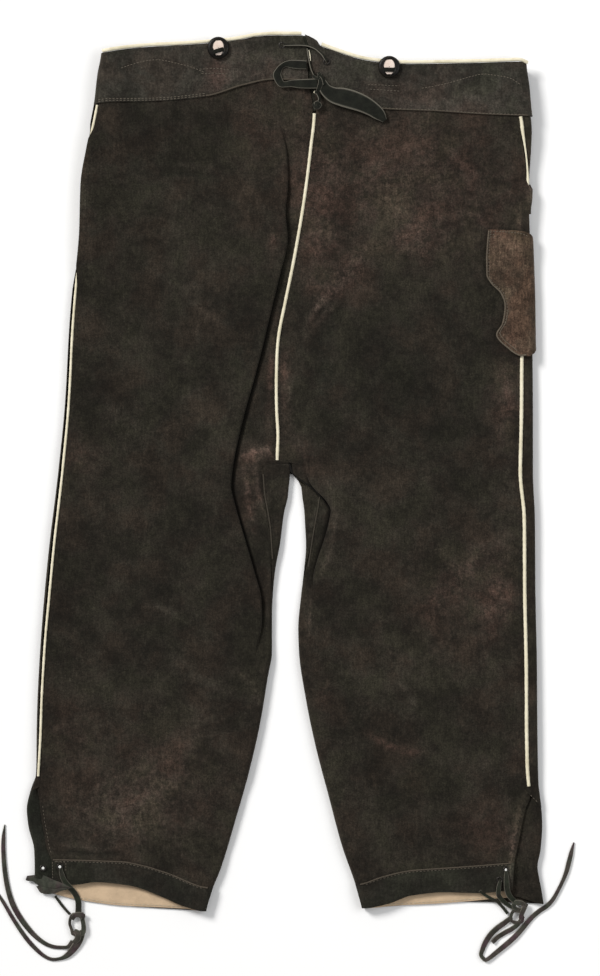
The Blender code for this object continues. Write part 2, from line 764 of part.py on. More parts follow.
def side_piping():
    ends = {"left": (108.0, 776.0), "right": (119.0, 786.0)}
    for leg in SIDES:
        name = leg["name"]
        points = []
        for down in row_stations(leg, leg["outer"]("edge", 110), *ends[name]):
            along, height = outer_turn(leg, leg["outer"]("side_seam", down), down)
            points.append(place(leg["sign"] * along, down, height + LIFT("lift", down)))
        tube(f"side_piping_{name}", points, PIPING_WIDTH / 2, cream("piping"))


KNIFE_POCKET = Table(
    ("down", "inner", "outer_travel"),
    [
        (229.6, 488.0, -1.0),
        (239, 487.0, -1.0),
        (250, 486.5, -1.0),
        (276, 486.5, -1.0),
        (284, 491.5, -1.0),
        (292, 500.0, -1.0),
        (302, 504.3, -1.0),
        (312, 504.5, -1.0),
        (324, 502.0, -1.0),
        (336, 496.2, -1.0),
        (342, 500.0, -1.0),
        (348, 507.0, 0.0),
        (353, 513.0, 3.0),
        (356.4, 519.0, 6.0),
    ],
)
POCKET_LIFT = 3.7
POCKET_SHARES = (0, 0.09, 0.18, 0.3, 0.45, 0.7, 1)


def knife_pocket():
    """A patch sewn over the right side seam, open at its top, with a wavy inner edge."""
    grid = []
    for down in KNIFE_POCKET.along:
        inner = travel_to(RIGHT, KNIFE_POCKET("inner", down), down)
        line = []
        for share in POCKET_SHARES:
            travel = mix(KNIFE_POCKET("outer_travel", down), inner, share)
            past_piping = travel - RIGHT["outer"]("side_seam", down) - PIPING_WIDTH
            grow = mix(POCKET_LIFT, LAP + LAP_GAP, ease(past_piping / 14))
            along, height = outer_turn(RIGHT, travel, down, grow)
            line.append(place(along, down, height + LIFT("lift", down)))
        grid.append(line)
    sheet("knife_pocket", grid, suede("knife_pocket"), True)


POCKET_WELT = Table(("down", "stand"), [(184, 1.9), (190, 4.0), (201, 3.4), (208, 2.2), (214, 1.9)])


def pocket_welt():
    """The rolled edge of the front pocket's mouth, which stands out past the right side."""
    grid = []
    for down in POCKET_WELT.along:
        line = []
        for travel in (0.6, -0.6, -2.2, -3.8):
            along, height = outer_turn(RIGHT, travel, down, POCKET_WELT("stand", down))
            line.append(place(along, down, height + LIFT("lift", down)))
        grid.append(line)
    sheet("front_pocket_welt", grid, suede("front_panels"), False)


def hem_bands():
    """A band laid over each back panel's lower end, made from the panel's points moved out."""
    first_column = 4
    for leg in SIDES:
        name = leg["name"]
        grid = []
        for share in (0, 0.35, 0.7, 1):
            line = []
            for k in range(first_column, len(back_row(leg, NOMINAL_HEM))):
                down = NOMINAL_HEM
                for _ in range(3):
                    along, height = moved_out(back_row(leg, down), LAP)[k]
                    across = leg["sign"] * along
                    down = mix(BAND_SEAM[name]("down", across), BACK_HEM[name]("down", across), share)
                line.append(place(across, down, height))
            grid.append(line)
        sheet(f"hem_band_{name}", grid, suede("hem_band"), leg["sign"] < 0)


def hem_facings():
    """The pale strip inside each front hem, which shows below the back hem."""
    thickness = 1.2
    top = LEATHER + SEAM_GAP + thickness
    for leg in SIDES:
        name = leg["name"]
        grid = []
        for share in (0, 1):
            line = []
            for across in FACING_PLACES[name]:
                down = mix(FACING_TOP[name]("down", across), FRONT_HEM[name]("down", across) - 0.8, share)
                line.append(place(across, down, top))
            grid.append(line)
        sheet(f"hem_facing_{name}", grid, cream("facing"), False, thickness)


def underlap_span(leg, down):
    """Where the vent's under strip starts to slope down from the outer fold, and where it has done so."""
    start = leg["sign"] * leg["outer"]("edge", down) - leg["outer"]("radius", down)
    return start, leg["sign"] * leg["outer"]("vent_edge", down) + 1.5


def underlap_slope(leg, down):
    start, end = underlap_span(leg, down)
    return (2 * leg["outer"]("radius", down) - STRIP_HEIGHT) / (start - end)


def underlap_height(leg, along, down):
    start, _ = underlap_span(leg, down)
    return 2 * leg["outer"]("radius", down) - (start - along) * underlap_slope(leg, down)


def vent_underlaps():
    """The strip that closes each side vent from below, folded at the garment's outline."""
    for leg in SIDES:
        name = leg["name"]
        grid = []
        for down in UNDERLAP_ROWS[name]:
            radius = leg["outer"]("radius", down)
            edge = leg["sign"] * leg["outer"]("edge", down)
            first = leg["outer"]("side_seam", down) - PIPING_HALF_SLOT + UNDERLAP_GAP
            quarter = radius * math.pi / 2
            start, end = underlap_span(leg, down)
            hidden = end - 1.5 - mix(12.0, 2.5, ease((down - 880) / 8))
            line = []
            for travel in (first, first + SMALL_STEP, max(first + 2 * SMALL_STEP, quarter / 2)):
                angle = min(travel, quarter) / radius
                line.append((edge - radius + radius * math.cos(angle), radius + radius * math.sin(angle)))
            start = min(start, line[-1][0] - 1)
            for share in (0, 0.5, 1):
                line.append((mix(start, end, share), mix(2 * radius, STRIP_HEIGHT, share)))
            line.append((hidden, STRIP_HEIGHT))
            bottom = down == UNDERLAP_ROWS[name][-1]
            row = []
            for along, height in line:
                across = leg["sign"] * along
                end = min(FRONT_HEM[name]("down", across) - 1, down) if bottom else down
                row.append(place(across, end, height))
            grid.append(row)
        sheet(f"vent_underlap_{name}", grid, suede("underlap"), leg["sign"] > 0)


def front_flap():
    """The drop flap over the front opening, its finished face on the surface below."""
    rows = ((0, 0), (0.25, 0), (0.355, 0), (0.44, 0), (0.52, 0), (0.6, 0), (0.7, 0), (0.86, 0))
    rows += ((0.93, 0.1), (0.975, 0.4), (1, 1))
    grid = []
    for share, rounded in rows:
        down = mix(*FLAP_ENDS, share)
        inset = FLAP_CORNER * rounded
        below = mix(2 * LAP, LAP + LAP_GAP, ease((down - 108) / 17))
        height = LIFT("lift", down) - below
        places = (FLAP_SIDES[0] + inset, CENTRE_ACROSS, FLAP_SIDES[1] - inset)
        grid.append([place(across, down, height) for across in places])
    sheet("front_flap", grid, suede("front_flap"), True)


def buttons():
    base = WAIST_LIFT + MIDDLE_HEIGHT + LAP + SEAM_GAP + BOSS_HEIGHT
    top = base + BUTTON_HEIGHT
    floor = top - WELL_DEPTH
    profile = [(0, floor), (WELL_RADIUS - 0.8, floor), (WELL_RADIUS, top - 0.3), (BUTTON_RADIUS - 2.5, top)]
    profile += [(BUTTON_RADIUS - 0.4, top - 1.0), (BUTTON_RADIUS, base + 1.4), (BUTTON_RADIUS - 1.8, base)]
    profile += [(BOSS_RADIUS, base), (BOSS_RADIUS, base - BOSS_HEIGHT), (0, base - BOSS_HEIGHT)]
    for name, (across, down) in BACK_BUTTONS.items():
        centre = place(across, down, 0)
        turned_piece(f"back_button_{name}", profile, centre, horn("button"))
        well = [(0, floor + 0.8), (WELL_RADIUS - 1.3, floor + 0.8)]
        well += [(WELL_RADIUS - 1.3, floor + 0.3), (0, floor + 0.3)]
        turned_piece(f"button_well_{name}", well, centre, cream("well"), 16)
        bpy.ops.mesh.primitive_cube_add(size=1, location=place(across, down + 2.2, floor + 1.6))
        thong = bpy.context.object
        thong.name = f"button_thong_{name}"
        thong.data.transform(scaling(9.0, 3.2, 1.0))
        thong.data.materials.append(suede("thong"))
        for holder in list(thong.users_collection):
            holder.objects.unlink(thong)
        COLLECTION.objects.link(thong)
    flap_top = WAIST_LIFT - 2 * LAP - SEAM_GAP
    disc = [(0, flap_top), (FLAP_BUTTON_RADIUS - 1, flap_top), (FLAP_BUTTON_RADIUS, flap_top / 2)]
    disc += [(FLAP_BUTTON_RADIUS - 1, 0), (0, 0)]
    for name, (across, down) in FLAP_BUTTONS.items():
        turned_piece(f"flap_button_{name}", disc, place(across, down, 0), horn("button"))


def scaling(width, depth, height):
    """Turns a primitive of unit size into one of these sizes in millimetres."""
    return Matrix.Diagonal((width * MM, depth * MM, height * MM, 1))


def eyelets():
    waist = WAIST_LIFT + MIDDLE_HEIGHT + LAP + SEAM_GAP
    band = middle_height(NOMINAL_HEM) + LAP + SEAM_GAP
    spots = {
        "eyelet_waist_left": (282.0, 46.0, waist),
        "eyelet_waist_right": (326.5, 62.5, waist),
        "eyelet_hem_left": (60.0, 866.5, band),
        "eyelet_underlap_left": (43.0, 868.0, underlap_height(LEFT, -43.0, 868.0) + 0.4),
        "eyelet_hem_right_upper": (506.0, 869.5, band),
        "eyelet_hem_right_lower": (499.5, 879.5, band),
    }
    rim = [(EYELET_HOLE, EYELET_HEIGHT), (EYELET_RADIUS - 0.7, EYELET_HEIGHT), (EYELET_RADIUS, 0.3)]
    rim += [(EYELET_RADIUS, 0), (EYELET_HOLE, 0), (EYELET_HOLE, EYELET_HEIGHT)]
    metal = material("dark_metal", (0.05, 0.045, 0.04), 0.4, 0.9)
    for name, (across, down, height) in spots.items():
        turned_piece(name, rim, place(across, down, height), metal, 12)
    tilted = bpy.data.objects["eyelet_underlap_left"]
    tilted.rotation_euler.y = math.atan(underlap_slope(LEFT, spots["eyelet_underlap_left"][1]))


# Laces: places across and down the sheet, and the height of the thong's middle.
WAIST_LACES = {
    "back_lace_cross": [
        (284, 46, 15.7), (292, 46, 14.9), (300, 46, 14.6), (308, 46.6, 14.6), (315, 49, 14.6),
        (320.5, 53, 14.9), (324, 58, 15.6),
    ],
    "back_lace_down": [(307.2, 50.5, 14.6), (308.6, 58, 14.6), (310.4, 67, 14.6), (312.6, 75, 14.6)],
    "back_lace_loop": [
        (305, 64, 14.8), (297, 64, 14.8), (289, 64.6, 14.8), (282.6, 68, 14.8), (279.4, 74, 14.8),
        (280.4, 80.5, 14.8), (286, 85, 14.8), (294, 86.6, 14.8), (303, 86.4, 14.8), (311.5, 86, 14.8),
    ],
    "back_lace_tail": [
        (325.6, 88, 15.2), (331, 93, 15.2), (338, 96.6, 15.2), (347, 99, 15.2), (356, 101.6, 15.2),
        (365, 105.4, 15.2), (373, 110, 14.8), (379.6, 115, 14.2), (384, 120.6, 13.6),
    ],
}
HEM_LACES = {
    "hem_lace_left_strap": [
        (60.4, 868, 10.4), (62, 875, 10.0), (66, 882, 9.2), (71, 888.4, 7.4), (75.4, 894, 5.4),
        (78, 900, 3.4), (78.6, 906, 1.9), (78.4, 911, 1.6),
    ],
    "hem_lace_left_tab": [
        (26, 879.6, 2.2), (33.4, 882.4, 3.4), (41, 886, 3.8), (50, 888, 4.2), (58, 887.6, 5.0),
        (65, 886.6, 5.0),
    ],
    "hem_lace_left_thin": [(55, 898, 1.3), (60, 903.4, 1.3), (65, 909, 1.3), (69.4, 914, 1.3)],
    "hem_lace_left_tail_a": [
        (71, 933.4, 1.3), (68, 941.6, 1.3), (63, 946.6, 1.3), (55.4, 947.8, 1.3), (48, 945.8, 1.3),
        (41, 941.6, 1.3), (34, 935.6, 1.3), (27.6, 928.8, 1.3), (21.8, 921.2, 1.3), (16.8, 913.2, 1.3),
        (12.8, 905.4, 1.3), (9.6, 896.8, 1.3), (7.2, 887.4, 1.3), (5.4, 877.4, 1.3), (4, 867, 1.3),
        (3.1, 856.6, 1.3), (2.8, 846.6, 1.3), (3.2, 836, 1.3), (4.5, 825.4, 1.3),
    ],
    "hem_lace_left_tail_b": [
        (81, 934.4, 1.3), (77.6, 942.8, 1.3), (72.6, 949.6, 1.3), (66.8, 955, 1.3), (59.6, 958.8, 1.3),
        (51.6, 959.6, 1.3), (44.6, 956.8, 1.3), (38.4, 952, 1.3), (32.2, 946, 1.3), (26.2, 939, 1.3),
        (20.4, 931, 1.3), (15, 922.8, 1.3), (10.4, 915.4, 1.3), (6.4, 908.4, 1.3), (1.6, 900.4, 1.3),
        (-3, 893.4, 1.3),
    ],
    "hem_lace_right_strap_lower": [
        (499.4, 881.4, 10.4), (498.6, 886.4, 9.8), (498.6, 891.4, 9.0), (500, 895.4, 6.2), (503, 899.2, 4.4),
        (507.4, 902.4, 3.2),
    ],
    "hem_lace_right_strap_upper": [
        (506, 871.4, 10.4), (506.4, 879, 10.0), (506.8, 886, 9.6), (507.8, 891, 8.6), (510, 895.4, 6.8),
        (513.4, 898.8, 5.4),
    ],
    "hem_lace_right_thin": [
        (482, 895.4, 4.6), (488, 897.6, 4.6), (494.4, 900.6, 3.8), (500, 905.4, 2.2), (505.6, 911.4, 1.4),
        (508.6, 914.2, 1.4),
    ],
    "hem_lace_right_inner": [
        (524, 920.6, 1.3), (519, 926, 1.3), (511.6, 930.8, 1.3), (503.4, 934.6, 1.3), (496, 939, 1.3),
        (491.6, 943.4, 1.3),
    ],
    "hem_lace_right_tail": [
        (511.6, 918.6, 1.3), (504.4, 923.4, 1.3), (497, 928.6, 1.3), (490.8, 934.6, 1.3), (486, 941.6, 1.3),
        (482.8, 949.2, 1.3), (481.8, 956, 1.3), (484.2, 960.6, 1.3), (489.4, 959.8, 1.3), (495, 955.2, 1.3),
        (501.4, 950, 1.3), (508, 944.4, 1.3), (514.6, 938, 1.3), (520.8, 931, 1.3), (526.4, 924.4, 1.3),
        (532.4, 917.6, 1.3), (539.4, 912, 1.3), (547, 906.6, 1.3), (553, 899.8, 1.3), (558.2, 891.8, 1.3),
        (562.8, 882.8, 1.3), (566.4, 873.2, 1.3), (569, 863.6, 1.3), (571.2, 853.2, 1.3), (574, 843, 1.3),
    ],
}
KNOTS = {
    "back_lace_knot": ((318.6, 86.0, 16.1), (5.6, 7.4, 2.8)),
    "back_lace_end_knot": ((317.2, 105.4, 14.8), (3.6, 4.2, 2.2)),
    "hem_lace_left_knot": ((77.0, 922.4, 3.2), (8.0, 10.2, 3.0)),
    "hem_lace_right_knot": ((518.4, 910.0, 3.6), (8.4, 9.4, 3.0)),
}


def laces():
    leather = suede("lace")
    for name, route in {**WAIST_LACES, **HEM_LACES}.items():
        flat = name in ("back_lace_loop", "back_lace_tail", "hem_lace_left_tab")
        radius = STRAP_RADIUS if flat else THONG_RADIUS
        tube(name, [place(*spot) for spot in route], radius, leather)
    for name, (centre, half) in KNOTS.items():
        bpy.ops.mesh.primitive_uv_sphere_add(segments=12, ring_count=8, radius=1, location=place(*centre))
        knot = bpy.context.object
        knot.name = name
        knot.data.transform(scaling(*half))
        knot.data.materials.append(leather)
        for holder in list(knot.users_collection):
            holder.objects.unlink(knot)
        COLLECTION.objects.link(knot)


def main():
    leg_panels()
    waistband()
    waist_binding()
    seat_piping()
    side_piping()
    knife_pocket()
    pocket_welt()
    hem_bands()
    hem_facings()
    vent_underlaps()
    front_flap()
    buttons()
    eyelets()
    laces()


for old in list(bpy.data.objects):
    bpy.data.objects.remove(old, do_unlink=True)
COLLECTION = bpy.data.collections.new("Lederhosen")
bpy.context.scene.collection.children.link(COLLECTION)
main()
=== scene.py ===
"""Knee-length suede lederhosen laid flat, back side up, on a pale floor.

Metres, +Z up, +Y towards the waist, +X towards the wearer's right leg. Tables give places on a flat
lay-out sheet in millimetres: across from its left edge, down from its top edge, and a height above
the floor. The sheet's point (CENTRE_ACROSS, CENTRE_DOWN) is the object's origin.
"""

import bisect
import math

import bpy
import numpy as np
from bpy.props import FloatProperty, FloatVectorProperty, PointerProperty
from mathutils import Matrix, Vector, noise
from mathutils.bvhtree import BVHTree


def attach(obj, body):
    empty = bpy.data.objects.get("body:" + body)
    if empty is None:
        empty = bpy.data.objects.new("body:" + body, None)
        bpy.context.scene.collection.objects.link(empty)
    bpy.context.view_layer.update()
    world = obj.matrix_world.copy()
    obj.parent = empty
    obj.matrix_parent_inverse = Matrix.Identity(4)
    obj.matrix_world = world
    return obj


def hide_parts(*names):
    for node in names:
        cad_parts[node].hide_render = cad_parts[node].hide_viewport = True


bl_info = {
    "name": "Suede lederhosen",
    "version": (1, 0, 0),
    "blender": (4, 5, 0),
    "location": "3D View > Sidebar > Lederhosen",
    "description": "Knee-length suede lederhosen laid flat, with piping, laces and turned buttons",
    "category": "Add Mesh",
}

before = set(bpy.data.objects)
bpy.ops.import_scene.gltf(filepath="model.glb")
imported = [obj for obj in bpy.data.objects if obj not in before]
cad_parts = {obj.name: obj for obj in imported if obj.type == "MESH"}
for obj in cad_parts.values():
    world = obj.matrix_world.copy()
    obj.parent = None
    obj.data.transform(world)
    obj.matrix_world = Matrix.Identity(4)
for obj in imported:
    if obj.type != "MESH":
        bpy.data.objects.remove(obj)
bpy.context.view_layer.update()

# Every measure below is in mm on the lay-out sheet, as (across, down, height), unless it says
# otherwise: across runs from left to right as the garment lies with its waist at the top, down from
# top to bottom, and height from the surface below.
MM = 0.001

# The place on the sheet that lies at the object's origin
CENTRE_ACROSS = 285.0
CENTRE_DOWN = 471.5

# Leather and seams: the thickness of each kind of leather, gaps and laps between pieces, and the least
# steps between a row's columns
LEATHER = 1.4
FACING_WALL = 1.2
TAB_WALL = 1.2
GUSSET_WALL = 0.8
LAP_WALL = 0.7
SEAM_GAP = 0.3
LAP_GAP = 0.4
UNDERLAP_GAP = 1.1
LAP = LAP_GAP + LEATHER
PIPING_WIDTH = 3.0
PIPING_HALF_SLOT = PIPING_WIDTH / 2 + SEAM_GAP
SMALL_STEP = 0.8
BACK_STEP = 1.2
SEAT_STEP = 1.5
TURN_GAP = 0.55
EDGE_STEP = 1.4

# Heights of the laid garment, its folds' radii and how far in from its edges each slope runs
MIDDLE_HEIGHT = 4.8
STRIP_HEIGHT = 3.4
FOLD_RADIUS = 2.4
TUCK_BEND = 1.8
FOLD_SPREAD = 40.0
EDGE_SPREAD = 28.0
WAIST_LIFT = 6.3
FLAP_LIFT = 2.3

# Waist, crotch and flap
CROTCH_DOWN = 461.0
INNER_LEG_DOWN = 465.0
SEAT_SLIT_END = 112.0
WAIST_TUCK_IN = 6.0
NOMINAL_WAIST = 98.0
NOMINAL_HEM = 885.0
BAND_LAP = LAP + 0.3
WAIST_FADE = 110.0
HEM_FADE = 95.0
FRONT_WAIST_DROP = 4.0
BINDING_HEIGHT = 3.5
BINDING_ENDS = {"left": (103.4, 301.5), "right": (527.0, 321.5)}
BARE_CORNER = (300.0, 320.5)
FLAP_SIDES = (205.0, 365.0)
FLAP_ENDS = (66.0, 232.0)
FLAP_CORNER = 14.0

# Buttons and eyelets
BACK_BUTTONS = {"left": (218.5, 49.0), "right": (389.0, 68.0)}
BUTTON_RADIUS = 11.0
BUTTON_HEIGHT = 3.6
WELL_RADIUS = 6.2
WELL_DEPTH = 1.7
BOSS_RADIUS = 3.0
BOSS_HEIGHT = 1.0
FLAP_BUTTONS = {"left": (222.0, 82.0), "right": (348.0, 82.0)}
FLAP_BUTTON_RADIUS = 10.0
EYELET_RADIUS = 3.4
EYELET_HOLE = 1.9
EYELET_HEIGHT = 0.9


class Table:
    """Rows with named columns, read along the first column by a smooth curve that never overshoots.

    A row that stops short goes on with the values of the row before it.
    """

    def __init__(self, names, rows):
        full = [rows[0]]
        for row in rows[1:]:
            full.append((*row, *full[-1][len(row) :]))
        self.columns = {name: [float(row[k]) for row in full] for k, name in enumerate(names)}
        self.along = self.columns[names[0]]

    def __call__(self, name, place):
        """The named column's value at a place along the first one."""
        xs, ys = self.along, self.columns[name]
        place = min(max(place, xs[0]), xs[-1])
        k = min(bisect.bisect_right(xs, place) - 1, len(xs) - 2)
        step = xs[k + 1] - xs[k]
        t = (place - xs[k]) / step
        a, b = self.slope(xs, ys, k), self.slope(xs, ys, k + 1)
        return (
            ys[k] * (1 + 2 * t) * (1 - t) ** 2
            + ys[k + 1] * t * t * (3 - 2 * t)
            + step * (a * t * (1 - t) ** 2 - b * t * t * (1 - t))
        )

    @staticmethod
    def slope(xs, ys, k):
        """The curve's slope at a row: level at both ends and wherever it turns back."""
        if k == 0 or k == len(xs) - 1:
            return 0.0
        before = (ys[k] - ys[k - 1]) / (xs[k] - xs[k - 1])
        after = (ys[k + 1] - ys[k]) / (xs[k + 1] - xs[k])
        return 0.0 if before * after <= 0 else 2 * before * after / (before + after)


def ease(t):
    """0 to 1 with a soft start and end."""
    t = min(max(t, 0.0), 1.0)
    return t * t * (3 - 2 * t)


def mix(a, b, t):
    """a at 0, b at 1."""
    return a * (1 - t) + b * t


# The outline and the seams of each leg. outer and inner are the laid outline; side_seam is how far
# round from the outline's outermost point the side seam lies; inseam is the same at the inner leg.
LEFT_OUTER = Table(
    ("down", "edge", "side_seam", "radius", "vent_edge", "open"),
    [
        (30, 104, 4, 4.5, 38.5, 0), (52, 103.6), (76, 99.6), (100, 96.8), (124, 92.4), (148, 87),
        (184, 81), (232, 79.6), (280, 75), (328, 71, 4.2), (400, 67, 4.6), (472, 60, 5.2),
        (544, 51, 6), (592, 46, 6.4), (640, 42, 6), (688, 39), (730, 37.2, 6, 4.3),
        (774, 36, 5, 3.8), (786, 32, 2, 3.4, 38.8, 0.6), (798, 28.4, 0, 3, 39.2, 1),
        (810, 26.6, 0, 3, 40.2), (820, 27, 0, 3, 41.5), (834, 30.6, 0, 3, 44), (850, 34, 0, 3, 47),
        (862, 34.5, 0, 3, 51.5), (915, 34.5, 0, 3, 52),
    ],
)
RIGHT_OUTER = Table(
    ("down", "edge", "side_seam", "radius", "vent_edge", "open"),
    [
        (30, 523.5, 14, 4.5, 528, 0), (64, 524.2), (88, 527.2), (112, 529.4, 13),
        (128, 531.6, 12.5), (148, 531, 9), (170, 529.6, 5), (190, 528.6, 3), (230, 529.6, 6),
        (300, 532, 11), (356, 532.6, 13.5), (424, 533, 14.5), (472, 533, 15.5), (520, 535, 13.5),
        (592, 535.5), (664, 537), (730, 537.5, 13.5, 4.3), (784, 538.6, 12.5, 3.8),
        (796, 540, 6, 3.4, 527.8, 0.6), (808, 541.4, 0, 3, 525.6, 1), (824, 542.4, 0, 3, 522),
        (848, 541, 0, 3, 517.4), (862, 537.4, 0, 3, 514.4), (880, 539.6, 0, 3, 513),
        (903, 543.8, 0, 3, 512), (915, 543.8),
    ],
)
LEFT_INNER = Table(
    ("down", "edge", "inseam", "radius"),
    [
        (462, 290.2, 29.1, 3), (474, 290, 28.5), (484, 289, 27.5), (496, 288, 25), (508, 285, 20),
        (520, 283, 15.5), (544, 280, 10.5), (568, 275.5, 6), (592, 273, 1.5), (616, 272, -3.5, 3.2),
        (652, 272, -10, 3.6), (676, 268, -10, 4), (724, 260), (772, 249), (820, 235.5), (868, 221),
        (892, 211.5), (915, 206),
    ],
)
RIGHT_INNER = Table(
    ("down", "edge", "inseam", "radius"),
    [
        (462, 291.2, -1, 2.3), (472, 291.6, -0.4), (476, 293.6, 0.2), (482, 300, 3),
        (490, 301.6, 11), (498, 302.4, 18), (508, 304, 15.5), (524, 305, 10.5), (546, 306, 6, 2.5),
        (572, 303.8, 2, 2.7), (600, 300.6, -2.5, 3), (628, 298.2, -7, 3.5), (652, 299, -10, 4),
        (700, 306), (748, 316), (796, 328.6), (844, 341.4), (892, 357.6), (915, 362.5),
    ],
)

# The long fold on each back panel: where its edge lies, how deep it is tucked under, how far it is
# folded over (0 flat, 1 wholly) and how high its lower side is.
LEFT_FOLD = Table(
    ("down", "edge", "tuck", "folded", "height"),
    [
        (70, 272, 3, 0, 4.4), (100, 275), (133, 284, 6, 0.25), (155, 288, 9, 0.55),
        (185, 288.5, 12, 0.85), (212, 286, 14, 1), (238, 288, 15), (276, 280, 16), (313, 271),
        (345, 263.5), (374, 256), (425, 242), (469, 233), (486, 231.5), (503, 235),
        (543, 246.5, 15), (569, 254, 14), (602, 262, 11), (622, 262.5, 8, 0.8), (645, 259, 5, 0.35),
        (669, 254, 3, 0), (915, 190),
    ],
)
RIGHT_FOLD = Table(
    ("down", "edge", "tuck", "folded", "height"),
    [
        (80, 352, 3, 0, 5), (300, 318), (437, 306), (461, 303, 3, 0.08), (475, 305.5, 5, 0.35),
        (484, 310, 7, 0.75), (492, 317, 9, 1), (500, 325, 11), (510, 330.5, 13), (520, 329),
        (539, 324, 12), (561, 316.5, 9, 0.9), (580, 312, 6, 0.5), (606, 312, 3, 0), (628, 312),
        (915, 382),
    ],
)

# The centre-back: the slit's line down to SEAT_SLIT_END, then the piped seat seam down to the crotch.
SEAT_SEAM = Table(
    ("down", "across", "half_gap"),
    [
        (30, 303, 1), (56, 309.2, 1.8), (80, 310), (96, 313), (112, 314.4), (146, 311), (194, 305),
        (254, 295), (314, 283), (350, 277.2), (398, 276.2), (434, 278), (462, 277.2),
    ],
)


def edge_line(*places):
    """An edge that runs across the garment, through its (across, down) places."""
    return Table(("across", "down"), places)


# Edges that run across the garment: how far down each lies at a place across. WAIST_PLACES and
# FACING_PLACES are where the columns of the back waistband and the facings lie, UNDERLAP_ROWS where the
# rows of the strips under the vents do.
WAIST_TOP = {
    "left": edge_line(
        (95, 51), (103, 50), (136, 45), (184, 42), (232, 38), (268, 32.6), (303, 32.4), (320, 33)
    ),
    "right": edge_line(
        (300, 34), (316, 41), (340, 50), (364, 57), (400, 61), (472, 60), (520, 59), (530, 62.5)
    ),
}
WAIST_PLACES = {
    "left": (118.0, 141.0, 180.0, 210.0, 236.0, 256.0, 270.0, 290.0),
    "right": (510.0, 485.0, 440.0, 410.0, 392.0, 376.0, 362.0, 344.0, 328.0, 320.5, 316.5),
}
WAIST_SEAM = {
    "left": edge_line(
        (90, 105), (111, 102.6), (152, 102), (207, 97), (244, 86), (273, 80.6), (312, 81)
    ),
    "right": edge_line((306, 88), (340, 101), (385, 110), (434, 112), (490, 115.5), (532, 117)),
}
BACK_HEM = {
    "left": edge_line(
        (34, 879), (77, 884.6), (96, 882), (139, 887), (166, 898), (190, 907.5), (206, 911)
    ),
    "right": edge_line(
        (361, 908), (385, 904), (410, 895.5), (438, 892), (480, 893), (513, 890), (544, 889)
    ),
}
FRONT_HEM = {
    "left": edge_line((34, 878), (55, 893.5), (83, 900), (120, 905), (185, 908.4), (206, 911)),
    "right": edge_line((361, 908), (400, 905), (440, 903), (467, 901), (512, 897.4), (544, 905)),
}
BAND_SEAM = {
    "left": edge_line((34, 859), (120, 861), (143, 865), (166, 872), (211, 887)),
    "right": edge_line(
        (355, 884), (383, 876), (411, 870), (438, 868), (480, 865), (513, 862.5), (544, 862)
    ),
}
FACING_TOP = {
    "left": edge_line((54, 886), (66, 882), (74, 871), (200, 886)),
    "right": edge_line((361, 886), (400, 880), (496, 873), (499.5, 889), (509, 890)),
}
FACING_PLACES = {
    "left": (54.4, 66.0, 74.0, 100.0, 130.0, 165.0, 201.0),
    "right": (369.0, 400.0, 440.0, 470.0, 496.0, 499.5, 508.5),
}
UNDERLAP_ROWS = {
    "left": (787, 798, 809, 826, 850, 867, 879),
    "right": (798, 809, 826, 850, 867, 880, 888, NOMINAL_HEM + 19.5),
}

LEFT = {"name": "left", "sign": -1, "outer": LEFT_OUTER, "inner": LEFT_INNER, "fold": LEFT_FOLD}
RIGHT = {"name": "right", "sign": 1, "outer": RIGHT_OUTER, "inner": RIGHT_INNER, "fold": RIGHT_FOLD}
SIDES = (LEFT, RIGHT)

# How high the waistband and the flap below it lift the back off the floor, and how far the leather
# rises at the crotch, about KNUCKLE_ACROSS.
LIFT = Table(
    ("down", "lift"),
    [(30, WAIST_LIFT), (120, WAIST_LIFT), (182, FLAP_LIFT), (238, FLAP_LIFT), (266, 0), (300, 0)],
)
KNUCKLE = Table(("down", "rise"), [(425, 0), (452, 2.6), (461, 2.2), (468, 0.6), (482, 0)])
KNUCKLE_ACROSS = 277
KNUCKLE_SPREAD = 18

# Nominal rows of the panels; shift() bends the first and last ones along the waist seam and the hem.
SEAT_ROWS = (98, 108, 120, 136, 152, 168, 184, 210, 238, 252, 266, 300, 340, 375, 410, 437, 452)
LEG_ROWS = (476, 487, 498, 510, 524, 538, 553, 568, 585, 602, 618, 634, 650, 667, 700, 740, 776)
LEG_ROWS += (787, 798, 809, 826, 850, 867, NOMINAL_HEM)
BACK_LEG_DOWN = 463.5
BACK_ROWS = SEAT_ROWS + (CROTCH_DOWN, BACK_LEG_DOWN) + LEG_ROWS


def middle_height(down):
    """Height of the back panel's finished face where it sags on to the front."""
    return MIDDLE_HEIGHT + 0.8 * ease((down - 740) / 40)


def spread(distance, reach):
    """One at distance 0, falling smoothly to nothing over about twice the reach."""
    return math.exp(-((max(distance, 0.0) / reach) ** 2))


def outer_rise(leg, along, down):
    """What the puffed outer fold adds to the back panel's height."""
    radius = leg["outer"]("radius", down)
    start = leg["sign"] * leg["outer"]("edge", down) - radius
    closed = 1 - leg["outer"]("open", down)
    return closed * (2 * radius - middle_height(down)) * spread(start - along, EDGE_SPREAD)


def inner_fold(leg, down):
    """The inner fold's radius, and where along the row it ends."""
    radius = leg["inner"]("radius", down)
    return radius, leg["sign"] * leg["inner"]("edge", down) + radius


def plain_height(leg, along, down):
    """The back panel's height with its long fold pressed flat."""
    height = middle_height(down) + outer_rise(leg, along, down)
    if down > CROTCH_DOWN:
        radius, start = inner_fold(leg, down)
        height += (2 * radius - middle_height(down)) * spread(along - start, EDGE_SPREAD)
    from_knuckle = abs(along - leg["sign"] * KNUCKLE_ACROSS)
    return height + KNUCKLE("rise", down) * spread(from_knuckle, KNUCKLE_SPREAD)


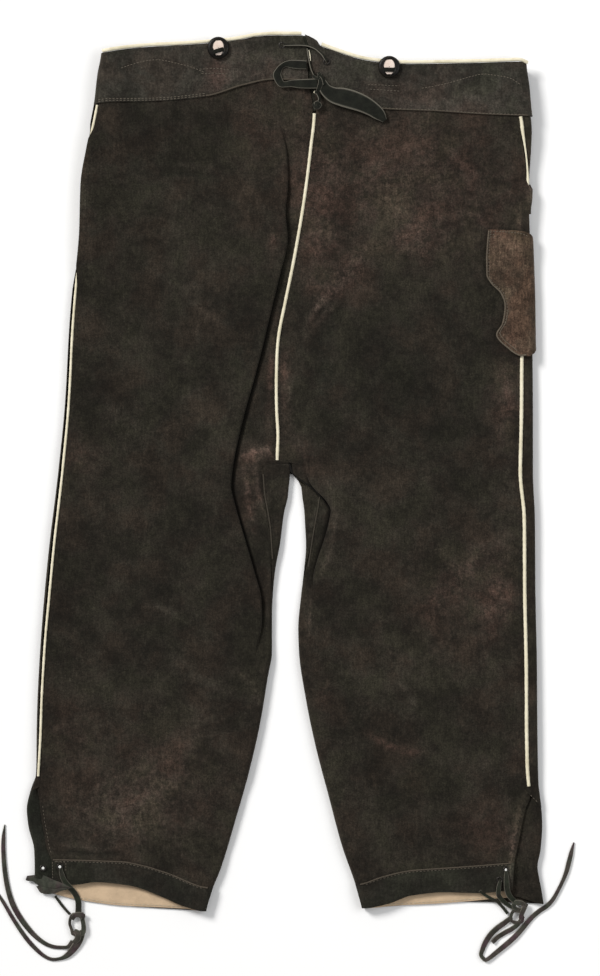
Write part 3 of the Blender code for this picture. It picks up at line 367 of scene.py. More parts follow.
def under_height(leg, along, down):
    """Height of the layer that runs under the long fold, on to the seat seam or the inner leg."""
    folded = leg["fold"]("folded", down)
    plain = plain_height(leg, along, down)
    if folded == 0:
        return plain
    if down > CROTCH_DOWN:
        radius, start = inner_fold(leg, down)
        high = 2 * radius
    else:
        start = leg["sign"] * SEAT_SEAM("across", down)
        high = plain
    run = max(leg["sign"] * leg["fold"]("edge", down) - 2 - start, 1.0)
    laid = mix(high, STRIP_HEIGHT, ease((along - start) / run))
    return mix(plain, laid, folded)


def over_height(leg, along, down):
    """Height of the back panel outside its long fold."""
    fold_edge = leg["sign"] * leg["fold"]("edge", down)
    folded = leg["fold"]("folded", down)
    crest = leg["fold"]("height", down) + 2 * FOLD_RADIUS - middle_height(down)
    puffed = middle_height(down) + crest * spread(along - fold_edge - FOLD_RADIUS, FOLD_SPREAD)
    return mix(plain_height(leg, along, down), puffed + outer_rise(leg, along, down), folded)


def inseam_half_gap(leg, down):
    """Half the gap at the inseam, wider where the seam runs round the fold and the walls converge."""
    quarter = leg["inner"]("radius", down) * math.pi / 2
    return SEAM_GAP / 2 + TURN_GAP * spread(abs(leg["inner"]("inseam", down)), quarter)


def inner_turn(leg, travel, down):
    """A point on the inner-leg fold, by its travel round from the innermost point, up positive."""
    radius = leg["inner"]("radius", down)
    edge = leg["sign"] * leg["inner"]("edge", down)
    quarter = radius * math.pi / 2
    if travel > quarter:
        along = edge + radius + travel - quarter
        return along, under_height(leg, along, down)
    if travel < -quarter:
        return edge + radius - travel - quarter, 0.0
    angle = travel / radius
    return edge + radius - radius * math.cos(angle), radius + radius * math.sin(angle)


def outer_turn(leg, travel, down, grow=0.0):
    """A point on the outer fold, by its travel round from the outermost point, moved out by grow."""
    radius = leg["outer"]("radius", down)
    edge = leg["sign"] * leg["outer"]("edge", down)
    quarter = radius * math.pi / 2
    if travel > quarter:
        along = edge - radius - travel + quarter
        return along, over_height(leg, along, down) + grow
    if travel < -quarter:
        return edge - radius + travel + quarter, -grow
    angle = travel / radius
    reach = radius + grow
    return edge - radius + reach * math.cos(angle), radius + reach * math.sin(angle)


# A back row's columns past its long fold, and the least distances of the next ones from the garment's
# outline and from the side seam.
PAST_FOLD = (10.0, 30.0)
FROM_OUTERMOST = 62
FROM_SIDE = 20


def back_row(leg, down):
    """The back panel's finished face across one row, from its inner seam out to its side seam."""
    sign = leg["sign"]
    points = []
    if down <= CROTCH_DOWN:
        start = sign * SEAT_SEAM("across", down) + SEAT_SEAM("half_gap", down)
        for k in range(6):
            along = start + k * BACK_STEP
            points.append((along, under_height(leg, along, down)))
    else:
        quarter = leg["inner"]("radius", down) * math.pi / 2
        seam = leg["inner"]("inseam", down) + inseam_half_gap(leg, down)
        features = (seam, -quarter, -quarter / 2, 0.0, quarter / 2, quarter)
        for k, feature in enumerate(features):
            points.append(inner_turn(leg, max(feature, seam + k * SMALL_STEP), down))
    fold_edge = sign * leg["fold"]("edge", down)
    tucked = fold_edge + leg["fold"]("tuck", down)
    low = leg["fold"]("height", down)
    radius = FOLD_RADIUS
    bulge = radius * (1 - math.cos(math.pi / 6))
    middle = (points[-1][0] + min(fold_edge, tucked)) / 2
    laid = [
        (middle, under_height(leg, middle, down)),
        (tucked - BACK_STEP, STRIP_HEIGHT),
        (tucked, STRIP_HEIGHT + TUCK_BEND / 2),
        (tucked - BACK_STEP, STRIP_HEIGHT + TUCK_BEND),
        (fold_edge + radius, low),
        (fold_edge + bulge, low + radius / 2),
        (fold_edge + bulge, low + radius * 1.5),
        (fold_edge + radius, low + 2 * radius),
    ]
    folded = leg["fold"]("folded", down)
    for k, (along, height) in enumerate(laid):
        flat = fold_edge + (k - 3.5) * BACK_STEP
        spot = mix(flat, along, folded)
        points.append((spot, mix(plain_height(leg, flat, down), height, folded)))
    side = outer_end_point(leg, down)[0]
    outermost = sign * leg["outer"]("edge", down)
    reach = min(outermost - FROM_OUTERMOST, side - FROM_SIDE)
    near, far = (fold_edge + past for past in PAST_FOLD)
    over = (near, far, mix(far, reach, 0.5), reach, mix(reach, side, 0.5))
    points += [(along, over_height(leg, along, down)) for along in over]
    return points + [outer_end_point(leg, down, EDGE_STEP), outer_end_point(leg, down)]


def outer_end_point(leg, down, inset=0.0):
    """The back panel's outer edge, at the side seam and below it along the open vent, or inside it."""
    opened = leg["outer"]("open", down)
    seam = leg["outer"]("side_seam", down) + PIPING_HALF_SLOT + inset
    closed_along, closed_height = outer_turn(leg, seam, down)
    vent = leg["sign"] * leg["outer"]("vent_edge", down) - inset
    return mix(closed_along, vent, opened), mix(closed_height, middle_height(down), opened)


def front_outer(leg, down):
    """The front panel's finished face from its side seam round the outer fold to the floor."""
    quarter = leg["outer"]("radius", down) * math.pi / 2
    seam = leg["outer"]("side_seam", down) - PIPING_HALF_SLOT
    features = (seam, quarter, quarter / 2, 0.0, -quarter / 2, -quarter)
    limits = [seam - k * SMALL_STEP for k in range(len(features))]
    return [outer_turn(leg, min(pair), down) for pair in zip(features, limits)]


def front_inner(leg, down):
    """The front panel's finished face from the floor round the inner fold to the inseam."""
    quarter = leg["inner"]("radius", down) * math.pi / 2
    seam = leg["inner"]("inseam", down) - inseam_half_gap(leg, down)
    features = (-quarter, -quarter / 2, 0.0, quarter / 2, quarter, (quarter + seam) / 2, seam)
    limits = [seam - k * SMALL_STEP for k in range(len(features))][::-1]
    return [inner_turn(leg, min(pair), down) for pair in zip(features, limits)]


def front_row(leg, down):
    """The front panel's finished face across one row, with as many points above the crotch as below."""
    points = front_outer(leg, down)
    if down > CROTCH_DOWN:
        inner = front_inner(leg, down)
        reach = inner[0][0]
    else:
        reach = leg["sign"] * CENTRE_ACROSS + SEAM_GAP / 2
        inner = [(reach + k * SEAT_STEP, 0.0) for k in range(6, -1, -1)]
    return points + [((points[-1][0] + reach) / 2, 0.0)] + inner


def shift(leg, across, down, hem):
    """How far a row is moved down the sheet so that its ends follow the waist seam and the hem."""
    name = leg["name"]
    at_waist = WAIST_SEAM[name]("down", across) - WAIST_TUCK_IN - NOMINAL_WAIST
    at_hem = hem[name]("down", across) - NOMINAL_HEM
    fade_hem = ease((down - NOMINAL_HEM + HEM_FADE) / HEM_FADE)
    return at_waist * (1 - ease((down - NOMINAL_WAIST) / WAIST_FADE)) + at_hem * fade_hem


def rows_of(names, rows):
    """A short table as one dictionary a row."""
    return [dict(zip(names, row)) for row in rows]


# Soft creases pressed into the leather: each runs from one place to another on the sheet, bowed
# sideways by bow, and is a ridge (height above 0) or a trough (below 0) about width across. Its warm,
# pale and dark shares paint highlight along a ridge and shade in a trough.
CREASES = rows_of(
    ("down", "across", "to_down", "to_across", "bow", "width", "height", "warm", "pale", "dark"),
    [
        (98, 172, 168, 173, 2, 2.5, 0.6), (120, 205, 176, 216, 6, 12, -0.9),
        (140, 140, 260, 118, -10, 18, 1.1), (167, 160, 172, 214, -3, 2.8, 1.1, 0, 0.3),
        (173, 162, 179, 214, -2, 3, -1.4, 0, 0, 0.8), (172, 214, 190, 222, 2, 3, 0.9),
        (190, 420, 250, 404, 8, 12, 1), (145, 455, 176, 462, 4, 5, 1.1, 0, 0.3),
        (165, 455, 180, 475, -6, 3, 0.9, 0.2, 0.5), (215, 458, 232, 486, -8, 3, 0.9, 0.2, 0.5),
        (240, 376, 325, 319, 4, 6, 1.2, 0.3, 0.3), (262, 352, 338, 304, 4, 6, 1.5, 0.3, 0.3),
        (276, 366, 352, 316, 4, 6, -1.8, 0, 0, 0.6), (290, 336, 323, 309, 3, 3.4, 1.2, 0.1, 0.35),
        (306, 336, 326, 317, 2, 3, 1, 0.1, 0.3), (298, 338, 324, 313, 2, 2.6, -1.4, 0, 0, 1),
        (262, 144, 288, 206, 8, 5, 0.9, 0, 0.3), (294, 186, 326, 232, 5, 4, 0.9, 0, 0.35),
        (387, 94, 437, 162, 8, 6, 1, 0, 0.3), (320, 214, 470, 196, 14, 20, 1.1),
        (340, 130, 470, 118, -12, 26, -1), (360, 402, 470, 380, 16, 22, 1.1),
        (420, 470, 560, 455, -10, 24, -1), (378, 291, 402, 289, 0, 2.2, 0.3, 0, 0.8),
        (437, 294, 500, 335, -6, 4, 1, 0.1, 0.2), (500, 335, 590, 314, -7, 3, 0.9, 0.15, 0.35),
        (590, 311, 640, 309, 0, 2.2, 0.6, 0.2, 0.35), (498, 320, 546, 309, 2, 2.2, 0.7, 0, 0.6),
        (457, 240, 452, 276, -4, 3.6, 1.5, 0.3, 0.7), (464, 257, 522, 268, 3, 2.4, 1.5, 0.2, 0.8),
        (462, 245, 520, 252, 2, 2.2, 1, 0.2, 0.4), (466, 263, 530, 272, 3, 2, -0.5, 0, 0, 0.35),
        (480, 247, 545, 258, 2, 3, 0.8, 0.3, 0.2), (520, 268, 600, 270, 0, 3, 0.6, 0, 0.2),
        (520, 160, 640, 150, 12, 24, 1), (560, 350, 660, 344, 10, 18, -1),
        (600, 420, 720, 430, -12, 22, 0.9), (607, 142, 629, 189, -8, 3, 0.7, 0, 0.6),
        (640, 160, 700, 262, 14, 7, 1, 0, 0.25), (668, 228, 704, 258, -8, 4, 0.8, 0.2, 0.5),
        (540, 506, 626, 420, 8, 12, 1, 0.4, 0.2), (684, 398, 722, 412, -8, 3, 0.8, 0, 0.5),
        (733, 368, 752, 426, 6, 4, 0.6, 0.9, 0.3), (650, 230, 760, 205, 10, 16, 0.8),
        (690, 90, 800, 96, 8, 18, -0.8), (720, 480, 820, 470, 10, 18, 0.8),
        (760, 380, 840, 392, -6, 14, -0.8), (850, 58, 855, 124, 2, 2.6, -2.4, 0, 0, 1),
        (844, 60, 849, 120, 2, 2.4, 1, 0, 0.3), (792, 525, 890, 510, 4, 3, 0.7, 0.4, 0.9),
        # Painted highlight along a ridge beside the front pocket's mouth, and painted shade in the
        # trough next to it.
        (204, 518.5, 232, 518.5, 0, 2.6, 0.8, 0.6, 0.5),
        (212, 524.5, 233, 524.5, 0, 2.6, -0.8, 0, 0, 1),
    ],
)

# Places where the nap is worn warm, scuffed pale or rubbed dark, each from 0 to 1, as soft ovals; two,
# marked below, are painted light instead.
PATCHES = rows_of(
    ("down", "across", "half_down", "half_across", "lean", "warm", "pale", "dark"),
    [
        (370, 160, 100, 85, 0, 0, 0, 0.28), (630, 150, 90, 90, 0, 0, 0, 0.18),
        (350, 400, 70, 80, 0, 0, 0, 0.2), (70, 250, 30, 45, 0, 0.35), (76, 138, 34, 44, 0, 0, 0.12),
        (78, 216, 20, 9, 0, 0.8, 0.1), (90, 440, 20, 60, 0, 0.15), (78, 486, 24, 36, 0, 0, 0, 0.45),
        (134, 256, 28, 18, 0, 0.55), (160, 145, 55, 22, 0, 0, 0, 0.5),
        (238, 275, 14, 6, 10, 0.9, 0.1), (322, 157, 5, 9, 30, 0, 0.5),
        (333, 197, 9, 3.5, 0, 0, 0.5), (360, 187, 5, 4, 0, 0, 0.5), (390, 197, 5, 10, -40, 0, 0.5),
        (456, 81, 20, 18, 0, 0.6), (347, 247, 28, 20, 0, 0, 0, 0.6),
        (190, 318, 85, 24, -8, 0.75, 0.25), (182, 420, 66, 105, 0, 0.95, 0.25),
        (160, 408, 14, 10, 20, 0, 0, 0.6), (192, 417, 14, 9, 10, 0, 0, 0.7),
        (178, 442, 12, 9, 30, 0, 0, 0.6), (155, 475, 10, 9, 0, 0, 0, 0.5),
        (147, 503, 26, 17, 10, 0, 0, 0.8), (232, 370, 22, 30, -20, 0, 0, 0.5),
        (240, 420, 16, 22, 0, 0.6, 0.3), (242, 314, 28, 15, 0, 0.6), (247, 376, 9, 26, 0, 0.5),
        (278, 350, 22, 16, 20, 0.9, 0.1), (285, 312, 15, 16, 0, 0.3, 0.2),
        (372, 326, 36, 10, 0, 0, 0, 0.9), (400, 420, 90, 70, 0, 0, 0, 0.35),
        (375, 271, 55, 4, 3, 0.9, 0.3), (385, 285, 36, 5, 0, 0.9, 0.3),
        (392, 506, 50, 14, 0, 0.9, 0.2), (485, 250, 28, 10, 0, 0.7, 0.25),
        # (454, 262) is a painted highlight on the crotch's rounded shoulder.
        (456, 300, 24, 12, -35, 0.4, 0.1), (454, 262, 8, 18, 0, 0.7, 0.3),
        # (199, 531) is painted light on the front pocket's mouth, whose face lies in shade.
        (199, 531, 16, 4, 0, 0.5, 1), (200, 84, 60, 5, -4, 0, 0.35),
        (520, 318, 26, 8, 0, 0, 0, 0.7), (564, 128, 6, 7, 0, 0, 0.6), (736, 72, 34, 22, 0, 0.55),
        (774, 165, 54, 54, 0, 0.5, 0.2), (815, 110, 36, 60, 0, 0.3, 0.45),
        (598, 498, 36, 14, 8, 0.9, 0.2), (596, 460, 52, 56, 0, 0.45), (690, 325, 20, 8, 0, 0.6),
        (750, 520, 16, 8, 0, 0.6), (780, 412, 16, 14, 0, 0.6), (830, 490, 24, 30, 0, 0.65, 0.2),
    ],
)


def along_crease(across, down, crease):
    """How strongly a crease acts at each place, from 0 to 1."""
    start = np.array((crease["across"], crease["down"]))
    run = np.array((crease["to_across"], crease["to_down"])) - start
    length = np.hypot(*run)
    ahead = run / length
    past = (across - start[0]) * ahead[0] + (down - start[1]) * ahead[1]
    beside = (down - start[1]) * ahead[0] - (across - start[0]) * ahead[1]
    share = np.clip(past / length, 0, 1)
    off = beside - crease["bow"] * 4 * share * (1 - share)
    beyond = np.maximum(np.maximum(-past, past - length), 0)
    fade = np.clip(np.minimum(share, 1 - share) * 4, 0, 1)
    return (0.35 + 0.65 * fade) * np.exp(
        -((off / crease["width"]) ** 2) - (beyond / crease["width"]) ** 2
    )


def field(across, down, size, seed):
    """A smooth random field over the sheet, about -1 to 1, with lumps of the given size in mm."""
    flat = zip(across.ravel() / size, down.ravel() / size)
    return np.array([noise.noise(Vector((a, d, seed))) for a, d in flat]).reshape(across.shape)


# Slack waves: height, how much longer than wide their lumps are, the lumps' size and the field's seed.
WAVES = ((1.3, 0.6, 62, 1.7), (0.8, 0.8, 25, 5.2), (0.4, 0.8, 12, 9.4), (0.16, 1.0, 6, 8.1))
# The three tints, for worn nap and for painted highlight and shade, in the order of the tone
# attribute's channels.
WEAR_AND_PAINTED_LIGHT = ("warm", "pale", "dark")


def relief(across, down):
    """How far the laid leather stands off its plain form: slack waves, then the creases."""
    first, second, third, fourth = (
        high * field(across, down * drawn, size, seed) for high, drawn, size, seed in WAVES
    )
    height = first + second
    height += third + fourth
    for crease in CREASES:
        height += crease["height"] * along_crease(across, down, crease)
    return height


def tones(across, down):
    """Warm, pale and dark tints at each place: worn nap, painted highlight on ridges and painted shade
    in troughs.
    """
    found = np.zeros((*across.shape, 3))
    for crease in CREASES:
        share = along_crease(across, down, crease)
        for k, name in enumerate(WEAR_AND_PAINTED_LIGHT):
            found[..., k] += crease.get(name, 0) * share
    for patch in PATCHES:
        lean = math.radians(patch["lean"])
        right, below = across - patch["across"], down - patch["down"]
        u = (right * math.cos(lean) + below * math.sin(lean)) / patch["half_across"]
        v = (below * math.cos(lean) - right * math.sin(lean)) / patch["half_down"]
        share = np.exp(-(u * u + v * v))
        for k, name in enumerate(WEAR_AND_PAINTED_LIGHT):
            found[..., k] += patch.get(name, 0) * share
    return np.clip(found, 0, 1)


# ---------------------------------------------------------------------------------------------
# Making meshes
def metres(spots):
    """Places on the sheet as points in the object's frame."""
    spots = np.asarray(spots, float)
    across, down, height = spots[..., 0], spots[..., 1], spots[..., 2]
    return np.stack([across - CENTRE_ACROSS, CENTRE_DOWN - down, height], -1) * MM


def refined(grid, parts, limited=True):
    """More columns between a grid's own, on smooth curves through them; parts gives each span's number.

    A limited curve stays between the places that it joins.
    """
    steps = np.diff(grid, axis=1)
    spans = np.maximum(np.linalg.norm(steps, axis=2, keepdims=True), 1e-6)
    slopes = steps / spans
    low, high = slopes[:, :-1], slopes[:, 1:]
    if limited:
        same_way = low * high > 0
        middle = np.where(same_way, 2 * low * high / np.where(same_way, low + high, 1.0), 0.0)
    else:
        middle = (low * spans[:, 1:] + high * spans[:, :-1]) / (spans[:, :-1] + spans[:, 1:])
    tangents = np.concatenate([slopes[:, :1], middle, slopes[:, -1:]], axis=1)
    columns = []
    for k, count in enumerate(parts):
        before, after = tangents[:, k] * spans[:, k], tangents[:, k + 1] * spans[:, k]
        for part in range(count):
            t = part / count
            columns.append(
                grid[:, k] * (1 + 2 * t) * (1 - t) ** 2
                + grid[:, k + 1] * t * t * (3 - 2 * t)
                + before * t * (1 - t) ** 2
                - after * t * t * (1 - t)
            )
    columns.append(grid[:, -1])
    return np.stack(columns, axis=1)


def refined_rows(grid, parts):
    """More rows between a grid's own."""
    return refined(grid.transpose(1, 0, 2), parts).transpose(1, 0, 2)


def smooth_path(points, step):
    """Points about one step apart along a smooth curve through the given ones."""
    points = np.asarray(points, float)
    lengths = np.linalg.norm(np.diff(points[:, :3], axis=0), axis=1)
    return refined(points[None], [max(1, round(length / step)) for length in lengths], False)[0]


def start_fresh():
    """Nothing selected."""
    bpy.ops.object.select_all(action="DESELECT")


def named(name, looks):
    """Names the object just added and gives it its finish, or its two."""
    made = bpy.context.object
    made.name = made.data.name = name
    made.data.materials.clear()
    for each in looks if isinstance(looks, tuple) else (looks,):
        made.data.materials.append(each)
    return made


def choose(made):
    """Selects one piece alone and makes it active."""
    start_fresh()
    made.select_set(True)
    bpy.context.view_layer.objects.active = made


def mesh_piece(name, vertices, faces, look):
    """A piece straight from its points and faces, for strips and stitches."""
    mesh = bpy.data.meshes.new(name)
    mesh.from_pydata(vertices, [], faces)
    mesh.materials.append(look)
    made = bpy.data.objects.new(name, mesh)
    bpy.context.scene.collection.objects.link(made)
    return made


def smooth(made, degrees=40):
    """Shades a piece smooth, but for its edges sharper than so many degrees."""
    choose(made)
    bpy.ops.object.shade_smooth_by_angle(angle=math.radians(degrees))


def add_tones(made, values, shade=0.0):
    """Worn and painted-light tints as a colour attribute; its alpha falls from 1 to 0 in painted shade.
    """
    layer = made.data.attributes.new("tone", "FLOAT_COLOR", "POINT")
    rgba = np.ones((len(made.data.vertices), 4))
    rgba[:, :3] = np.asarray(values).reshape(-1, 3)
    rgba[:, 3] = 1 - np.ravel(shade)
    layer.data.foreach_set("color", rgba.ravel())


# The four corners of every cell of a grid, as slices across and along it.
CORNERS = ((0, -1, 0, -1), (0, -1, 1, None), (1, None, 0, -1), (1, None, 1, None))


def flat_cut(grid):
    """A piece's flat width, length and area in metres: its longest row and column, and its face."""
    places = metres(grid)
    across, along = np.diff(places, axis=1), np.diff(places, axis=0)
    width = np.linalg.norm(across, axis=2).sum(axis=1).max()
    length = np.linalg.norm(along, axis=2).sum(axis=0).max()
    area = sum(
        np.linalg.norm(np.cross(across[a:b], along[:, c:d]), axis=2).sum() / 4 for a, b, c, d in CORNERS
    )
    return float(width), float(length), float(min(area, width * length))


def leather_sheet(name, grid, look, edge, upright, thickness=None, worn=True, shade=0.0, on="floor"):
    """A piece of leather from rows of places on its finished face, which faces away from its wall.

    upright is for rows that run so that the face already looks out; on is not used.
    """
    rows, columns = grid.shape[:2]
    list(flat_cut(grid))
    start_fresh()
    bpy.ops.mesh.primitive_grid_add(x_subdivisions=columns - 1, y_subdivisions=rows - 1, size=1)
    made = named(name, (finish(look), finish(edge)))
    if len(made.data.vertices) != rows * columns:
        raise RuntimeError(f"{name}: the grid has {len(made.data.vertices)} points")
    made.data.vertices.foreach_set("co", metres(grid).ravel())
    # The tone attribute carries worn places, painted highlight and shade, and the crevice's painted
    # shade.
    if worn:
        add_tones(made, tones(grid[..., 0], grid[..., 1]), shade)
    if not upright:
        made.data.flip_normals()
    made.data.update()
    wall = made.modifiers.new("Leather", "SOLIDIFY")
    usual = bpy.context.scene.lederhosen_leather.wall
    wall.thickness = thickness * MM if thickness else usual
    wall.offset = -1
    wall.use_even_offset = True
    wall.thickness_clamp = 2
    wall.material_offset_rim = 1
    choose(made)
    bpy.ops.object.modifier_apply(modifier=wall.name)
    smooth(made)
    return made


def swept(name, path, look, sides=12, squareness=1.0, closed=False):
    """A strap, cord or piping along a path of (across, down, height, width, thickness, turn) rows.

    turn rolls the section about the path, in degrees: 0 lies flat, 90 stands on its edge. An "edge"
    attribute is 1 along the strap's two cut edges and 0 on its faces.
    """
    path = np.asarray(path, float)
    centres = metres(path[:, :3])
    if closed:
        ahead = np.roll(centres, -1, axis=0) - np.roll(centres, 1, axis=0)
    else:
        ahead = np.gradient(centres, axis=0)
    ahead /= np.linalg.norm(ahead, axis=1, keepdims=True)
    side = np.cross(ahead, (0.0, 0.0, 1.0))
    side /= np.maximum(np.linalg.norm(side, axis=1, keepdims=True), 1e-9)
    up = np.cross(side, ahead)
    roll = np.radians(path[:, 5])[:, None]
    side, up = side * np.cos(roll) + up * np.sin(roll), up * np.cos(roll) - side * np.sin(roll)
    angles = np.arange(sides) * 2 * math.pi / sides
    power = 2 / (2 + 2 * squareness)
    flat = np.sign(np.cos(angles)) * np.abs(np.cos(angles)) ** power
    tall = np.sign(np.sin(angles)) * np.abs(np.sin(angles)) ** power
    rings = (
        centres[:, None]
        + side[:, None] * (flat[None, :, None] * path[:, None, 3:4] / 2 * MM)
        + up[:, None] * (tall[None, :, None] * path[:, None, 4:5] / 2 * MM)
    )
    count = len(path)
    vertices = rings.reshape(-1, 3)
    edge = np.tile(np.abs(flat) ** 5, count)
    faces = []
    for k in range(count if closed else count - 1):
        for j in range(sides):
            a, b = k * sides + j, k * sides + (j + 1) % sides
            c, d = (k + 1) % count * sides + (j + 1) % sides, (k + 1) % count * sides + j
            faces.append((a, b, c, d))
    if not closed:
        ends = centres[[0, -1]]
        vertices = np.concatenate([vertices, ends])
        edge = np.concatenate([edge, [1.0, 1.0]])
        first, last = count * sides, (count - 1) * sides
        for j in range(sides):
            faces.append((first, (j + 1) % sides, j))
            faces.append((first + 1, last + j, last + (j + 1) % sides))
    made = mesh_piece(name, vertices.tolist(), faces, look)
    layer = made.data.attributes.new("edge", "FLOAT", "POINT")
    layer.data.foreach_set("value", edge)
    choose(made)
    bpy.ops.object.mode_set(mode="EDIT")
    bpy.ops.mesh.select_all(action="SELECT")
    bpy.ops.mesh.normals_make_consistent(inside=False)
    bpy.ops.object.mode_set(mode="OBJECT")
    smooth(made, 60)
    return made


def turned(name, profile, centre, look, steps=48):
    """A piece turned about a vertical line: a circle drawn out along a (radius, height) profile."""
    start_fresh()
    spot = metres(centre)
    radius, height = profile[0]
    bpy.ops.mesh.primitive_circle_add(
        vertices=steps, radius=radius * MM, fill_type="NOTHING",
        location=spot + np.array((0, 0, height * MM))
    )
    made = named(name, look)
    bpy.ops.object.transform_apply(location=True, rotation=True, scale=True)
    bpy.ops.object.mode_set(mode="EDIT")
    bpy.ops.mesh.select_all(action="SELECT")
    for (before, low), (after, high) in zip(profile, profile[1:]):
        bpy.ops.mesh.extrude_region_move(TRANSFORM_OT_translate={"value": (0, 0, (high - low) * MM)})
        factor = max(after, 0.002) / before
        centre_now = (spot[0], spot[1], spot[2] + high * MM)
        bpy.ops.transform.resize(value=(factor, factor, 1), center_override=centre_now)
    bpy.ops.mesh.select_all(action="SELECT")
    bpy.ops.mesh.remove_doubles(threshold=0.000005)
    bpy.ops.mesh.normals_make_consistent(inside=False)
    bpy.ops.object.mode_set(mode="OBJECT")
    smooth(made, 35)
    return made


def joined(name, pieces):
    """Several pieces made one."""
    start_fresh()
    for piece in pieces:
        piece.select_set(True)
    bpy.context.view_layer.objects.active = pieces[0]
    bpy.ops.object.join()
    made = bpy.context.object
    made.name = made.data.name = name
    return made


def finished(made, slot, *nodes):
    """Attaches a piece to the garment and hides the solids that it stands for; slot is not used."""
    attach(made, "root")
    if nodes:
        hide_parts(*nodes)
    return made


def leather_piece(name, grid, slot, *nodes, look=None, edge="dark_edge", upright=False, **build):
    """A finished sheet of leather, whose look is named as its slot is unless it has its own."""
    return finished(leather_sheet(name, grid, look or slot, edge, upright, **build), slot, *nodes)


def swept_piece(name, path, look, slot, *nodes, sides=10, squareness=0.2):
    """A finished strap, roll or cord along its path."""
    return finished(swept(name, path, finish(look), sides, squareness), slot, *nodes)


# Finishes
class Finish:
    """A material made from nodes around one Principled shader."""

    def __init__(
        self, name, roughness, specular, sheen=0.0, sheen_roughness=0.5, metallic=0.0, coat=0.0
    ):
        self.material = bpy.data.materials.new(name)
        self.material.use_nodes = True
        self.tree = self.material.node_tree
        self.shader = self.tree.nodes["Principled BSDF"]
        self.place = self.add("ShaderNodeTexCoord").outputs["Object"]
        self.put(self.shader.inputs["Roughness"], roughness)
        self.shader.inputs["Specular IOR Level"].default_value = specular
        self.shader.inputs["Sheen Weight"].default_value = sheen
        self.shader.inputs["Sheen Roughness"].default_value = sheen_roughness
        self.shader.inputs["Sheen Tint"].default_value = (0.9, 0.8, 0.68, 1)
        self.shader.inputs["Metallic"].default_value = metallic
        self.shader.inputs["Coat Weight"].default_value = coat

    def add(self, kind, inputs=None, **settings):
        """A new node with its inputs and settings."""
        node = self.tree.nodes.new(kind)
        for key, value in settings.items():
            setattr(node, key, value)
        for socket, value in (inputs or {}).items():
            self.put(node.inputs[socket], value)
        return node

    def put(self, socket, value):
        """Links a socket to another's output, or gives it a number or a colour."""
        if isinstance(value, bpy.types.NodeSocket):
            self.tree.links.new(value, socket)
        elif socket.type == "RGBA" and len(value) == 3:
            socket.default_value = (*value, 1)
        else:
            socket.default_value = value

    def stretched(self, scale=(1.0, 1.0, 1.0), turn=0.0, moved=(0.0, 0.0, 0.0)):
        """Object coordinates scaled and turned for streaks, or moved to another part of a noise."""
        inputs = {"Vector": self.place, "Scale": scale, "Rotation": (0, 0, turn), "Location": moved}
        return self.add("ShaderNodeMapping", inputs).outputs["Vector"]

    def noise(self, scale, detail=2.0, roughness=0.5, distortion=0.0, vector=None):
        """Lumps about one part in scale of a metre."""
        inputs = {"Vector": vector or self.place, "Scale": scale, "Detail": detail}
        inputs |= {"Roughness": roughness, "Distortion": distortion}
        return self.add("ShaderNodeTexNoise", inputs).outputs["Fac"]

    def window(self, value, low, high, least=0.0, most=1.0):
        """value brought from low..high to least..most, softly."""
        inputs = {"Value": value, "From Min": low, "From Max": high, "To Min": least, "To Max": most}
        return self.add("ShaderNodeMapRange", inputs, interpolation_type="SMOOTHSTEP").outputs["Result"]

    def sum(self, first, second, operation="ADD"):
        """Two values added, or put together by another operation."""
        return self.add("ShaderNodeMath", {0: first, 1: second}, operation=operation).outputs["Value"]

    def mix(self, factor, first, second, blend="MIX"):
        """Two colours mixed by a factor."""
        node = self.add("ShaderNodeMix", data_type="RGBA", blend_type=blend)
        for index, value in ((0, factor), (6, first), (7, second)):
            self.put(node.inputs[index], value)
        return node.outputs[2]

    def attribute(self, name, output="Fac"):
        """A mesh attribute's value."""
        return self.add("ShaderNodeAttribute", attribute_name=name).outputs[output]

    def bump(self, height, distance, strength=1.0, normal=None):
        """Fine relief from a height, over another relief where one is given."""
        inputs = {"Height": height, "Distance": distance, "Strength": strength}
        if normal:
            inputs["Normal"] = normal
        return self.add("ShaderNodeBump", inputs).outputs["Normal"]

    def done(self, colour, normal=None):
        """The finished material."""
        self.put(self.shader.inputs["Base Color"], colour)
        if normal:
            self.put(self.shader.inputs["Normal"], normal)
        return self.material


def times(colour, factor):
    """A colour made lighter or darker."""
    return tuple(channel * factor for channel in colour)


